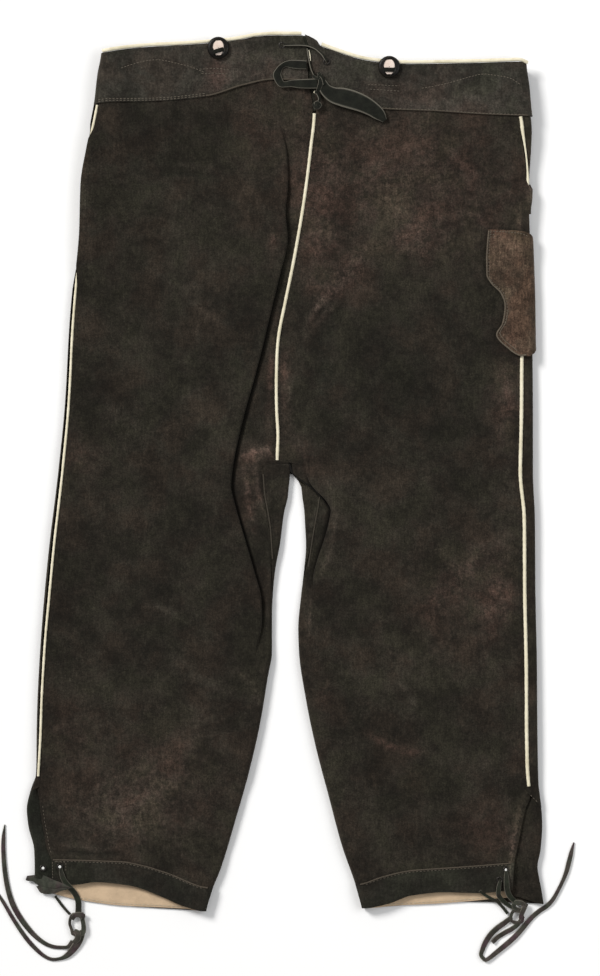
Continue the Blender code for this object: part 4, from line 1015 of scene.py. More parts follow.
def suede(name, colour, warm, pale, dark, contrast=1.0, streaks=0.25):
    """Napped leather, mottled at every scale and brushed; its tone attribute paints worn places,
    highlight and shade.

    warm, pale and dark are what the colour is multiplied by in such a place.
    """
    made = Finish(name, roughness=0.93, specular=0.08, sheen=0.10, sheen_roughness=0.6)
    tone = made.add("ShaderNodeAttribute", attribute_name="tone")
    # worn carries the tone's warm, pale and dark channels: worn places, painted highlight and painted
    # shade.
    worn = made.add("ShaderNodeSeparateColor", {"Color": tone.outputs["Color"]})
    cloud = made.noise(13.0, 3.0, 0.6)
    mottle = made.noise(30.0, 8.0, 0.9)
    hue = made.noise(22.0, 5.0, 0.62, vector=made.stretched(moved=(3.1, 1.7, 0.4)))
    scuff = made.noise(170.0, 5.0, 0.72, 0.6)
    brushed = made.noise(60.0, 4.0, 0.7, vector=made.stretched((9.0, 1.6, 4.0), 0.12))
    grain = made.noise(640.0, 4.0, 0.8)
    light = made.window(mottle, 0.38, 0.62, 1 - 0.48 * contrast, 1 + 0.48 * contrast)
    light = made.sum(
        light, made.window(grain, 0.34, 0.66, 1 - 0.42 * contrast, 1 + 0.42 * contrast), "MULTIPLY"
    )
    light = made.sum(light, made.window(cloud, 0.34, 0.66, 0.80, 1.22), "MULTIPLY")
    light = made.sum(
        light, made.window(brushed, 0.42, 0.68, 1 - streaks * 0.5, 1 + streaks), "MULTIPLY"
    )
    shown = made.mix(made.window(hue, 0.48, 0.62, 0.0, 0.42), colour, (1.26, 0.97, 0.90), "MULTIPLY")
    shown = made.mix(made.window(hue, 0.52, 0.38, 0.0, 0.5), shown, (0.90, 1.03, 0.84), "MULTIPLY")
    patchy = made.window(scuff, 0.36, 0.60, 0.3, 1.15)
    # Worn places, and painted highlight along ridges and painted shade in troughs, from the tone's
    # channels.
    for channel, tint in (("Red", warm), ("Green", pale), ("Blue", dark)):
        share = made.sum(worn.outputs[channel], patchy, "MULTIPLY")
        shown = made.mix(share, shown, tint, "MULTIPLY")
    shown = made.mix(made.window(scuff, 0.60, 0.76, 0.0, 0.4 * contrast), shown, pale, "MULTIPLY")
    shown = made.mix(1.0, shown, light, "MULTIPLY")
    # Painted shadow: near-black where the tone's alpha marks the crevice beside the long fold.
    shown = made.mix(tone.outputs["Alpha"], (0.0010, 0.0009, 0.0006), shown)
    folds = made.bump(made.noise(120.0, 4.0, 0.6), 0.0011, 0.55)
    return made.done(shown, made.bump(grain, 0.00035, 0.9, folds))


def cut_edge(name, colour):
    """The raw side of cut leather: paler, with long fibres."""
    made = Finish(name, roughness=0.85, specular=0.2)
    fibre = made.noise(1500.0, 3.0, 0.7, vector=made.stretched((1.0, 1.0, 0.25)))
    shown = made.mix(made.window(fibre, 0.3, 0.7), times(colour, 0.6), times(colour, 1.3))
    return made.done(shown, made.bump(fibre, 0.0003))


def strap_leather(name, colour, edge_colour, tinted=0.2):
    """Smooth dark thong, paler along its two cut edges, with a purple or green cast in places."""
    made = Finish(name, roughness=0.7, specular=0.12, sheen=0.03)
    mottle = made.noise(150.0, 4.0, 0.7)
    cast = made.noise(60.0, 3.0, 0.6, vector=made.stretched(moved=(1.3, 2.9, 0.0)))
    grain = made.noise(1400.0, 3.0, 0.7)
    shown = made.mix(made.window(mottle, 0.3, 0.7), times(colour, 0.6), times(colour, 1.35))
    shown = made.mix(made.window(cast, 0.50, 0.62, 0.0, tinted), shown, (1.25, 0.92, 1.22), "MULTIPLY")
    shown = made.mix(made.window(cast, 0.50, 0.38, 0.0, tinted), shown, (0.88, 1.12, 0.98), "MULTIPLY")
    rubbed = made.sum(made.attribute("edge"), made.window(grain, 0.2, 0.6, 0.7, 1.0), "MULTIPLY")
    shown = made.mix(made.window(rubbed, 0.22, 0.70), shown, edge_colour)
    return made.done(shown, made.bump(grain, 0.0003, 0.8, made.bump(mottle, 0.0008, 0.4)))


def pale_leather(name, colour, stain, rough=0.7, soiled=0.6):
    """Cream or beige leather, a little soiled and creased."""
    made = Finish(name, roughness=rough, specular=0.25, sheen=0.08)
    cloud = made.noise(70.0, 3.0, 0.6)
    spots = made.noise(420.0, 3.0, 0.65)
    grain = made.noise(1800.0, 3.0, 0.7)
    shown = made.mix(made.window(cloud, 0.35, 0.75, 0.0, soiled), colour, stain)
    shown = made.mix(made.window(spots, 0.58, 0.80, 0.0, 0.5 * soiled), shown, times(stain, 0.55))
    return made.done(shown, made.bump(grain, 0.00025, 0.8, made.bump(spots, 0.0006, 0.4)))


def horn(name, colour, streak):
    """Polished dark horn with paler streaks."""
    made = Finish(name, roughness=0.5, specular=0.16)
    streaks = made.noise(160.0, 4.0, 0.6, 0.8, made.stretched((0.5, 2.2, 1.0), 0.4))
    fine = made.noise(900.0, 2.0)
    shown = made.mix(made.window(streaks, 0.45, 0.72), colour, streak)
    made.put(made.shader.inputs["Roughness"], made.window(fine, 0.3, 0.7, 0.34, 0.55))
    return made.done(shown, made.bump(fine, 0.0001, 0.5))


def thread(name, colour):
    """Twisted linen thread."""
    made = Finish(name, roughness=0.8, specular=0.2, sheen=0.1)
    twist = made.add(
        "ShaderNodeTexWave", {"Vector": made.place, "Scale": 900.0, "Distortion": 1.5}
    ).outputs["Fac"]
    shown = made.mix(twist, times(colour, 0.6), colour)
    return made.done(shown, made.bump(twist, 0.0001))


def dark_metal(name, colour):
    """Blackened brass, rubbed bright on its rims."""
    made = Finish(name, roughness=0.38, specular=0.5, metallic=0.85)
    rub = made.noise(700.0, 3.0, 0.6)
    made.put(made.shader.inputs["Roughness"], made.window(rub, 0.3, 0.7, 0.25, 0.55))
    return made.done(made.mix(made.window(rub, 0.5, 0.8), colour, tuple(min(c * 4, 1) for c in colour)))


FINISHES = {}


def finish(name):
    """Each finish is made once and shared."""
    if name in FINISHES:
        return FINISHES[name]
    leather = bpy.context.scene.lederhosen_leather
    trim = bpy.context.scene.lederhosen_trim
    main = tuple(leather.colour)
    # Tints for worn places that also paint highlight and shade along the creases and on a few patches.
    wear_and_painted_light = [tuple(w / c for w, c in zip(getattr(leather, key), main)) for key in WEAR_AND_PAINTED_LIGHT]
    cream, soil, facing = tuple(trim.cream), tuple(trim.soil), tuple(trim.facing)
    lace, lace_edge = tuple(trim.lace), tuple(trim.lace_edge)
    makers = {
        "back_panels": lambda: suede("suede_back", main, *wear_and_painted_light),
        "front_panels": lambda: suede("suede_front", main, *wear_and_painted_light),
        "waistband": lambda: suede("suede_waistband", tuple(leather.waistband), *wear_and_painted_light, 0.95),
        "knife_pocket": lambda: suede("suede_pocket", tuple(leather.pocket), *wear_and_painted_light, 1.0, 0.4),
        "hem_band": lambda: suede("suede_hem_band", tuple(leather.hem_band), *wear_and_painted_light, 0.9),
        "underlap_left": lambda: suede("suede_underlap_left", tuple(leather.underlap), *wear_and_painted_light, 0.8),
        "underlap_right": lambda: suede("suede_underlap_right", times(main, 0.85), *wear_and_painted_light),
        "front_flap": lambda: suede("suede_flap", main, *wear_and_painted_light),
        "cut_edge": lambda: cut_edge("cut_edge", tuple(leather.cut_edge)),
        "dark_edge": lambda: cut_edge("dark_edge", times(main, 1.1)),
        "seam_roll": lambda: cut_edge("seam_roll", times(leather.cut_edge, 0.65)),
        # A lit copy of the suede: painted highlight on the inseam rolls and the crotch lap's edge.
        "highlight_roll": lambda: cut_edge("highlight_roll", times(main, 2.8)),
        "seam_shadow": lambda: cut_edge("seam_shadow", times(main, 0.3)),
        "cut_lace": lambda: cut_edge("cut_lace", lace_edge),
        "lace": lambda: strap_leather("lace_leather", lace, lace_edge),
        "hem_lace": lambda: strap_leather(
            "hem_lace_leather", tuple(trim.hem_lace), times(lace_edge, 1.2), 0.9
        ),
        "eyelet_lace": lambda: strap_leather("eyelet_lace_leather", times(lace, 2.2), lace_edge, 0.6),
        "thong": lambda: strap_leather("thong_leather", times(lace, 0.7), times(lace, 1.5)),
        "binding": lambda: pale_leather("cream_binding", cream, soil, soiled=0.5),
        "piping": lambda: pale_leather("cream_piping", cream, soil, soiled=0.35),
        "facing": lambda: pale_leather("beige_facing", facing, times(facing, 0.72)),
        "well": lambda: pale_leather("button_well", (0.80, 0.68, 0.60), (0.5, 0.36, 0.28), 0.45, 0.4),
        # The pale discs in the eyelet holes: the floor seen through, and at the right upper one a
        # painted highlight.
        "hole": lambda: pale_leather("lace_hole", (0.8, 0.8, 0.78), (0.6, 0.6, 0.55), 0.6, 0.2),
        "button": lambda: horn("dark_horn", tuple(trim.horn), tuple(trim.horn_streak)),
        "eyelet": lambda: dark_metal("blackened_metal", tuple(trim.metal)),
        "dark_thread": lambda: thread("dark_thread", (0.012, 0.010, 0.008)),
        "pale_thread": lambda: thread("pale_thread", (0.17, 0.145, 0.11)),
        "cream_thread": lambda: thread("cream_thread", (0.62, 0.54, 0.40)),
    }
    FINISHES[name] = makers[name]()
    return FINISHES[name]


# The leg panels
# How many columns each span of a panel's row is parted into, and the usual step between its rows.
BACK_PARTS = (2, 2, 2, 2, 2, 8, 12, 2, 2, 4, 3, 3, 3, 4, 8, 24, 24, 10, 10, 3)
FRONT_PARTS = (2, 2, 2, 2, 2, 16, 16, 2, 2, 2, 2, 2, 2)
ROW_STEP = 6.0


def fine_rows(rows, step=ROW_STEP):
    """The same rows with more between them, none further apart than step."""
    found = []
    for first, second in zip(rows, rows[1:]):
        count = max(1, math.ceil((second - first) / step))
        found += [first + (second - first) * k / count for k in range(count)]
    return found + [rows[-1]]


def panel_grid(leg, rows, row_function, hem):
    """A panel's face as rows of places on the sheet."""
    grid = []
    for nominal in rows:
        line = []
        for k, (along, _) in enumerate(row_function(leg, nominal)):
            down = nominal + shift(leg, leg["sign"] * along, nominal, hem)
            along, height = row_function(leg, down)[k]
            line.append((leg["sign"] * along, down, height + LIFT("lift", down)))
        grid.append(line)
    return np.array(grid)


def seat_and_leg(leg, seat_rows, leg_rows, row_function, hem, parts):
    """A panel's fine grid: seat and leg each smooth, with the crotch's turn kept between them."""
    pieces = []
    for rows in (seat_rows, leg_rows):
        grid = refined(panel_grid(leg, rows, row_function, hem), parts)
        pieces.append(refined_rows(grid, [2] * (len(rows) - 1)))
    return np.concatenate(pieces)


# The height from which the relief is full, how wide the stitching draws a seam edge in and the height
# above which it does so.
RAISED_FULL = 4.0
DRAWN_WIDTH = 2.2
DRAWN_ABOVE = 2.5


def with_relief(grid, share=1.0):
    """The grid with the laid leather's waves and creases, which fade where it turns to the floor."""
    share = share * bpy.context.scene.lederhosen_leather.creases
    raised = np.clip(grid[..., 2] / RAISED_FULL, 0, 1)
    grid = grid.copy()
    grid[..., 2] += share * raised * relief(grid[..., 0], grid[..., 1])
    return grid


def edges_drawn_in(grid, amount=0.5):
    """The seam edges pulled a little down, as the stitching draws them in."""
    travel = np.cumsum(np.linalg.norm(np.diff(grid, axis=1, prepend=grid[:, :1]), axis=2), axis=1)
    from_edge = np.minimum(travel, travel[:, -1:] - travel)
    grid = grid.copy()
    grid[..., 2] -= amount * np.exp(-((from_edge / DRAWN_WIDTH) ** 2)) * (grid[..., 2] > DRAWN_ABOVE)
    return grid


# Where each side seam has rolled under, so that the back panel's edge lies over its piping: how far out
# and up it goes, and over what width.
ROLLED_UNDER = {"left": (127.0, 139.0, 266.0, 288.0), "right": (180.0, 190.0, 242.0, 250.0)}
ROLLED_OUT = 3.4
ROLLED_UP = 1.8
ROLLED_WIDTH = 7.0


def over_piping(leg, grid):
    """The back panel's edge let out over the side piping where the seam has rolled under."""
    from_edge = np.linalg.norm(grid[:, -1:] - grid, axis=2)
    near = np.exp(-((from_edge / ROLLED_WIDTH) ** 2))
    share = np.interp(grid[..., 1], ROLLED_UNDER[leg["name"]], (0, 1, 1, 0)) * near
    grid = grid.copy()
    grid[..., 0] += leg["sign"] * ROLLED_OUT * share
    grid[..., 2] += ROLLED_UP * share
    return grid


# How far the left front panel's edge is let out: places down the sheet, and the distance at each; and
# from how far inside its outline, and over what width.
FRONT_LET_OUT = (
    (96, 104, 124, 134, 266, 290, 480, 560, 700, 772),
    (0, 2, 2, 0, 0, 1.9, 1.8, 1.5, 1.0, 0),
)
LET_OUT_FROM = 7
LET_OUT_OVER = 5


def let_out(leg, grid):
    """The left front panel's rounded edge let out a little, so that it shows beyond the piping."""
    edge = leg["sign"] * np.interp(grid[..., 1], leg["outer"].along, leg["outer"].columns["edge"])
    inside = leg["sign"] * grid[..., 0] - edge
    share = np.clip((inside + LET_OUT_FROM) / LET_OUT_OVER, 0, 1) * (leg["sign"] < 0)
    grid = grid.copy()
    grid[..., 0] += leg["sign"] * np.interp(grid[..., 1], *FRONT_LET_OUT) * share
    return grid


# The crevice beside the long fold: how far its strip is kept up, over what width it rises from the seam
# and dips at the fold, how wide its painted shade is, how dark it is painted in all, and along its
# length.
CREVICE_RISE = 1.9
CREVICE_RISES_OVER = 12
CREVICE_DIPS_OVER = 5
CREVICE_WIDTH = 2.6
CREVICE_SHADE = 1.15
CREVICE_ALONG = ((130, 200, 300, 340, 540, 600, 640), (0.2, 0.5, 0.8, 1, 1, 0.7, 0.2))


def crevice(leg, grid):
    """The strip beside the long fold kept up until it dips under, and how dark shade is painted at each
    place.
    """
    columns = np.concatenate([[0], np.cumsum(BACK_PARTS)])
    down = grid[..., 1]
    edge = leg["sign"] * np.interp(down, leg["fold"].along, leg["fold"].columns["edge"])
    folded = np.interp(down, leg["fold"].along, leg["fold"].columns["folded"])
    along = leg["sign"] * grid[..., 0]
    below = np.arange(grid.shape[1]) <= columns[8]
    rise = np.clip((along - along[:, :1]) / CREVICE_RISES_OVER, 0, 1)
    rise = rise * np.clip((edge - 0.5 - along) / CREVICE_DIPS_OVER, 0, 1)
    grid = grid.copy()
    grid[..., 2] += CREVICE_RISE * folded * rise * below
    near = np.exp(-((np.maximum(edge + 0.4 - along, 0) / CREVICE_WIDTH) ** 2))
    under = np.interp(np.arange(grid.shape[1]), columns[11:14], (1.0, 0.35, 0.0))
    strength = np.interp(down, *CREVICE_ALONG)
    return grid, np.clip(CREVICE_SHADE * folded * near * under * strength, 0, 1)


def make_leg_panels():
    """Both legs' back and front panels, the back ones creased, folded and with painted shade in the
    crevice.
    """
    for leg in SIDES:
        name, upright = leg["name"], leg["sign"] < 0
        seat = fine_rows(SEAT_ROWS + (CROTCH_DOWN,))
        legs = fine_rows((BACK_LEG_DOWN,) + LEG_ROWS)
        back = seat_and_leg(leg, seat, legs, back_row, BACK_HEM, BACK_PARTS)
        back, shade = crevice(leg, back)
        back = over_piping(leg, edges_drawn_in(with_relief(back)))
        leather_piece(
            f"back_leg_panel_{name}", back, "back_panels", f"back_leg_{name}", upright=upright,
            shade=shade, on=f"front_leg_panel_{name}",
        )
        seat = fine_rows(SEAT_ROWS + (CROTCH_DOWN,), 2 * ROW_STEP)
        legs = fine_rows((INNER_LEG_DOWN,) + LEG_ROWS, 2 * ROW_STEP)
        front = seat_and_leg(leg, seat, legs, front_row, FRONT_HEM, FRONT_PARTS)
        front = let_out(leg, with_relief(front, 0.5))
        leather_piece(
            f"front_leg_panel_{name}", front, "front_panels", f"front_leg_{name}", upright=upright
        )


# The waistband and its binding
# The middle of the band, and how often a row's places are fitted to the edges that it runs between.
BAND_MIDDLE = 80.0
FITTINGS = 3


def travel_to(leg, along, down):
    """Travel round the outer fold, and in over the back, that reaches a place along a row."""
    radius = leg["outer"]("radius", down)
    return radius * math.pi / 2 + leg["sign"] * leg["outer"]("edge", down) - radius - along


def waist_edge(leg, across):
    """Where the back waistband's leather starts, below its binding or bare at the slit's corner."""
    bound = 1.0
    if leg["sign"] > 0 and across > BARE_CORNER[0]:
        bound = ease((across - BARE_CORNER[1] + 4) / 4)
    return WAIST_TOP[leg["name"]]("down", across) + (BINDING_HEIGHT + SEAM_GAP) * bound


def waist_line(leg, travels, share, drop):
    """One row of the waistband, at a share of its height, as places on the sheet."""
    line = []
    for travel in travels:
        down = BAND_MIDDLE
        for _ in range(FITTINGS):
            here = travel(down) if callable(travel) else travel
            along, height = outer_turn(leg, here, down, BAND_LAP)
            across = leg["sign"] * along
            down = mix(waist_edge(leg, across) + drop, WAIST_SEAM[leg["name"]]("down", across), share)
        line.append((across, down, height + LIFT("lift", down)))
    return line


def back_travels(leg):
    """Places across the back waistband, from its side edge to the centre-back slit."""
    def slit(down):
        gap = SEAT_SEAM("half_gap", down)
        return travel_to(leg, leg["sign"] * SEAT_SEAM("across", down) + gap, down)

    def reach(across):
        return lambda down: travel_to(leg, leg["sign"] * across, down)

    quarter = leg["outer"]("radius", BAND_MIDDLE) * math.pi / 2
    travels = [SEAM_GAP, SEAM_GAP + SMALL_STEP, quarter / 2, quarter]
    return travels + [reach(across) for across in WAIST_PLACES[leg["name"]]] + [slit]


def front_travels(leg):
    """Places across the front waistband, from its side edge to the centre."""
    def centre(down):
        radius = leg["outer"]("radius", down)
        reach = leg["sign"] * (leg["outer"]("edge", down) - CENTRE_ACROSS) - radius - SEAM_GAP / 2
        return -radius * math.pi / 2 - reach

    quarter = leg["outer"]("radius", BAND_MIDDLE) * math.pi / 2
    return [-SEAM_GAP, -SEAM_GAP - SMALL_STEP, -quarter / 2, -quarter, centre(BAND_MIDDLE) / 2, centre]


BAND_ROWS = 19
FOOT_DIP = 1.1

# Lines of stitching that show on the waistband, sunk a little into it.
WAIST_ARCS = {
    "left": [(122, 69), (134, 65), (145, 62), (161, 61), (172, 63), (180, 65), (190, 67.4), (204, 73)],
    "right": [
        (422, 89), (434, 87), (446, 84.4), (458, 81), (470, 77.6), (482, 75), (496, 76.6), (511, 80),
        (520, 86)
    ],
}
BAR_TACKS = {
    "left": [[(200, 70), (215, 69.4), (232, 70.6)], [(202, 74.4), (216, 74), (230, 75)]],
    "right": [[(368, 85.4), (384, 86), (400, 87)], [(370, 90), (385, 91), (399, 92)]],
}


def make_waistband():
    """The back and front waistbands; the back one dips into its seam at the foot."""
    for leg in SIDES:
        name, sign = leg["name"], leg["sign"]
        shares = np.linspace(0, 1, BAND_ROWS)
        travels = back_travels(leg)
        back = np.array([waist_line(leg, travels, share, 0) for share in shares])
        back = refined(back, [1, 2, 2] + [8] * (len(travels) - 4))
        back = edges_drawn_in(with_relief(back, 0.8), 0.3)
        back[..., 2] -= FOOT_DIP * np.exp(-(((1 - shares) * 16) ** 2))[:, None]
        leather_piece(
            f"back_waistband_{name}", back, "waistband", f"waistband_back_{name}", upright=sign > 0,
            on=f"back_leg_panel_{name}",
        )
        travels = front_travels(leg)
        front = np.array([waist_line(leg, travels, share, FRONT_WAIST_DROP) for share in shares])
        front = refined(front, [1, 2, 2, 10, 10])
        leather_piece(
            f"front_waistband_{name}", front, "waistband", f"waistband_front_{name}", upright=sign < 0
        )
    make_slit_gusset()


# Behind the centre-back slit: the dark strip's middle line as (down, across, height) and how it drops
# to each side, and two bright bits of lining as rows of across, down, height, width, thickness, turn.
SLIT_GUSSET = (
    (36.5, 302.4, 12.6), (48, 306.4, 12.6), (60, 309.5, 12.4), (72, 311, 12.0), (84, 312.5, 11.2),
    (96, 313.5, 10.2), (111, 314.5, 9.6),
)
GUSSET_DROPS = ((-7, -2.0), (-3, -0.9), (0, 0), (3, -0.9), (7, -2.0))
SLIT_BITS = {
    "slit_tip": [
        (313.9, 92.8, 14, 2.2, 1.4, 0), (315.6, 93.4, 14.3, 3, 1.4, 0), (318.2, 94.6, 14, 2.4, 1.4, 0)
    ],
    "slit_lining": [
        (308.8, 51, 14, 0.9, 0.8, 0), (309.8, 56, 14, 1.3, 0.8, 0), (310.4, 62, 14, 0.9, 0.8, 0)
    ],
}


def make_slit_gusset():
    """The strip of dark leather behind the centre-back slit, which shows between its edges."""
    grid = [
        [(a + aside, down, top + drop) for aside, drop in GUSSET_DROPS] for down, a, top in SLIT_GUSSET
    ]
    grid = refined_rows(np.array(grid), [3] * (len(grid) - 1))
    leather_piece("slit_gusset", grid, "waistband", look="underlap_left", thickness=1.0)
    for name, rows in SLIT_BITS.items():
        swept_piece(name, smooth_path(rows, 0.8), "piping", "piping")


# Where down the sheet the binding rounds the side, how near the outline it goes, and its thickness.
BOUND_SIDE = 60
BOUND_TRAVEL = 3.0
BOUND_THICK = 3.3


def make_binding():
    """A cream strip folded over the waistband's top edge."""
    for leg in SIDES:
        name = leg["name"]
        first, last = BINDING_ENDS[name]
        outer = leg["outer"]
        corner = outer("edge", BOUND_SIDE) - leg["sign"] * outer("radius", BOUND_SIDE)
        points = []
        bound = [across for across in WAIST_PLACES[name] if leg["sign"] * (across - last) > 3]
        for across in (first, corner, *bound, last):
            top = WAIST_TOP[name]("down", across)
            travel = travel_to(leg, leg["sign"] * across, top + BINDING_HEIGHT)
            travel = max(travel, BOUND_TRAVEL)
            height = outer_turn(leg, travel, top + BINDING_HEIGHT, BAND_LAP)[1] - LEATHER / 2
            points.append((across, top + BINDING_HEIGHT / 2, height + WAIST_LIFT))
        path = smooth_path(points, 2.0)
        wobble = field(path[:, 0], path[:, 1], 9, 3.3)
        rows = np.column_stack(
            [path, BINDING_HEIGHT + 0.5 * wobble, BOUND_THICK + 0.3 * wobble, 8 * wobble]
        )
        swept_piece(
            f"cream_binding_{name}", rows, "binding", "binding", f"waist_binding_{name}",
            sides=14, squareness=0.3,
        )


# The piping
# How far it stands out of its seam, its thickness in each seam, where each side seam's is seen, and how
# the right one's thins out above RIGHT_THINNED.
PIPING_PROUD = 0.4
PIPING_THICK = {"seat": 3.1, "left": 2.4, "right": 3.5}
SIDE_PIPING_ENDS = {"left": (105.8, 776.0), "right": (117.5, 786.0)}
RIGHT_THIN = ((128, 150, 172, 184), (1, 0.5, 0.5, 0.9))
RIGHT_THINNED = 200


def row_stations(leg, across, first, last):
    """Where the back panel's rows cross one of its long edges, between two places down the sheet."""
    rows = [row + shift(leg, across, row, BACK_HEM) for row in BACK_ROWS]
    return [first] + [row for row in rows if first + 2 < row < last - 2] + [last]


def seat_path(step=2.0):
    """The piped seat seam's line, from the slit's end to the crotch."""
    points = []
    for down in row_stations(RIGHT, 314.0, SEAT_SLIT_END + 2, CROTCH_DOWN - 1):
        across = SEAT_SEAM("across", down)
        height = plain_height(RIGHT, across, down) - LEATHER / 2 + PIPING_PROUD
        points.append((across, down, height + LIFT("lift", down)))
    return smooth_path(points, step)


def side_path(leg, aside=0.0, step=2.0):
    """The side seam's line, or one beside it by some travel in over the back."""
    points = []
    for down in row_stations(leg, leg["outer"]("edge", 110), *SIDE_PIPING_ENDS[leg["name"]]):
        along, height = outer_turn(leg, leg["outer"]("side_seam", down) + aside, down)
        points.append((leg["sign"] * along, down, height + LIFT("lift", down)))
    return smooth_path(points, step)


def piping(name, path, node, thick, hidden=(0.0, 1.0, 2.0, 3.0)):
    """A cream cord caught in a seam, nipped a little by its stitches, thinner where it is hidden."""
    path = with_relief(path[None])[0]
    wobble = field(path[:, 0] + path[:, 2], path[:, 1], 7, 2.2)
    nip = 0.18 * np.cos(np.arange(len(path)) * 2.1)
    width = (thick + 0.35 * wobble + nip) * (1 - 0.25 * np.interp(path[:, 1], hidden, (0, 1, 1, 0)))
    if name.endswith("right"):
        width *= np.interp(path[:, 1], *RIGHT_THIN) ** (path[:, 1] < RIGHT_THINNED)
    rows = np.column_stack([path, width, width * 0.92, 0 * wobble])
    swept_piece(name, rows, "piping", "piping", node, sides=12, squareness=0.0)


def make_piping():
    """Cream piping in the seat seam and in both side seams."""
    piping("cream_piping_seat", seat_path(), "seat_piping", PIPING_THICK["seat"])
    for leg in SIDES:
        name = leg["name"]
        thick, hidden = PIPING_THICK[name], ROLLED_UNDER[name]
        piping(f"cream_piping_{name}", side_path(leg), f"side_piping_{name}", thick, hidden)


# The pockets
KNIFE_POCKET = Table(
    ("down", "inner", "outer_travel"),
    [
        (229.6, 488, -1), (239, 487), (250, 486.5), (276, 486.5), (284, 491.5), (292, 500),
        (302, 504.3), (312, 504.5), (324, 502), (336, 496.2), (342, 500), (348, 507, 0),
        (353, 513, 3), (356.4, 519, 6),
    ],
)
# How far the pocket stands off at its outer edge, and over what width it comes down to the leg; where
# its rim is rolled, how high and how wide; how its outer corner is rounded off (across, and how far it
# drops there), down to where and over what height; and at what shares of its width its columns lie.
POCKET_LIFT = 3.7
POCKET_SLOPE = 14
POCKET_RIM = 233.0
RIM_HEIGHT = 0.5
RIM_WIDTH = 2.0
POCKET_CORNER = ((488, 513, 524, 529, 531.5, 534), (0, 1.2, 2.4, 4.2, 6.4, 9.5))
CORNER_END = 244
CORNER_TALL = 14.4
POCKET_SHARES = (0, 0.09, 0.18, 0.3, 0.45, 0.7, 1)


def pocket_line(down, shares):
    """One row of the knife pocket, which wraps round the right side."""
    inner = travel_to(RIGHT, KNIFE_POCKET("inner", down), down)
    line = []
    for share in shares:
        travel = mix(KNIFE_POCKET("outer_travel", down), inner, share)
        past_piping = travel - RIGHT["outer"]("side_seam", down) - PIPING_WIDTH
        grow = mix(POCKET_LIFT, LAP + LAP_GAP, ease(past_piping / POCKET_SLOPE))
        along, height = outer_turn(RIGHT, travel, down, grow)
        line.append((along, down, height + LIFT("lift", down)))
    return line


# The front pocket's edge: how far it stands off the side, and its travel round it, from the back on.
POCKET_WELT = Table(("down", "stand"), [(185, 1.9), (190, 4.0), (201, 3.4), (208, 2.2), (214, 1.9)])
WELT_TRAVEL = (3.6, -3.4)


def make_pockets():
    """The knife pocket, with its rounded outer corner, and the front pocket's edge above it."""
    rows = fine_rows(KNIFE_POCKET.along, 2.5)
    grid = refined(np.array([pocket_line(down, POCKET_SHARES) for down in rows]), [3, 3, 3, 4, 5, 6])
    grid = with_relief(grid, 0.8)
    rounded = np.interp(grid[..., 0], *POCKET_CORNER)
    grid[..., 1] += rounded * np.clip((CORNER_END - grid[..., 1]) / CORNER_TALL, 0, 1)
    grid[..., 2] += RIM_HEIGHT * np.exp(-(((POCKET_RIM - grid[..., 1]) / RIM_WIDTH) ** 2))
    leather_piece(
        "knife_pocket_patch", grid, "knife_pocket", "knife_pocket", edge="cut_edge", upright=True,
        on="back_leg_panel_right",
    )
    grid = []
    for down in fine_rows(POCKET_WELT.along, 1.5):
        line = []
        for travel in np.linspace(*WELT_TRAVEL, 13):
            along, height = outer_turn(RIGHT, travel, down, POCKET_WELT("stand", down))
            line.append((along, down, height + LIFT("lift", down)))
        grid.append(line)
    leather_piece("pocket_mouth", np.array(grid), "front_panels", "front_pocket_welt", edge="cut_edge")


# The hems
def moved_out(points, distance):
    """A row of (along, height) points moved out from the face they lie on."""
    moved = []
    for k, (along, height) in enumerate(points):
        before, after = points[max(k - 1, 0)], points[min(k + 1, len(points) - 1)]
        step = after[0] - before[0], after[1] - before[1]
        length = math.hypot(*step)
        moved.append((along - step[1] / length * distance, height + step[0] / length * distance))
    return moved


# The column of the back panel that a hem band starts at, its number of rows, and how it bulges.
HEM_FIRST_COLUMN = 4
HEM_ROWS = 11
HEM_BULGE = 0.35


def hem_line(leg, share):
    """One row of the hem band, at a share of its height."""
    name, line = leg["name"], []
    for k in range(HEM_FIRST_COLUMN, len(back_row(leg, NOMINAL_HEM))):
        down = NOMINAL_HEM
        for _ in range(FITTINGS):
            along, height = moved_out(back_row(leg, down), LAP)[k]
            across = leg["sign"] * along
            down = mix(BAND_SEAM[name]("down", across), BACK_HEM[name]("down", across), share)
        line.append((across, down, height))
    return line


def make_hem_bands():
    """The band over each back hem, a little bulged between its two seams."""
    shares = np.linspace(0, 1, HEM_ROWS)
    for leg in SIDES:
        name = leg["name"]
        grid = np.array([hem_line(leg, share) for share in shares])
        grid = edges_drawn_in(with_relief(refined(grid, BACK_PARTS[HEM_FIRST_COLUMN:])), 0.3)
        grid[..., 2] += HEM_BULGE * np.sin(shares[:, None] * math.pi)
        leather_piece(
            f"hem_band_strip_{name}", grid, "hem_band", f"hem_band_{name}", upright=leg["sign"] < 0,
            on=f"back_leg_panel_{name}",
        )


# How far past the front hem its facing reaches, and how far its last row dips.
FACING_PAST = 0.7
FACING_DIP = 1.0


def make_hem_facings():
    """The pale strip inside each front hem, which shows below the back hem."""
    for leg in SIDES:
        name = leg["name"]
        top = LEATHER + SEAM_GAP + FACING_WALL
        places = fine_rows(FACING_PLACES[name], 4.0)
        grid = []
        for share in np.linspace(0, 1, 12):
            line = []
            for across in places:
                low = FRONT_HEM[name]("down", across) + FACING_PAST
                line.append((across, mix(FACING_TOP[name]("down", across), low, share), top))
            grid.append(line)
        grid = np.array(grid)
        grid[..., 2] += 0.35 * field(grid[..., 0], grid[..., 1], 11, 6.6)
        grid[-1, :, 2] -= FACING_DIP
        leather_piece(
            f"beige_facing_{name}", grid, "facing", f"hem_facing_{name}", edge="facing",
            thickness=FACING_WALL, worn=False, on=f"front_leg_panel_{name}",
        )


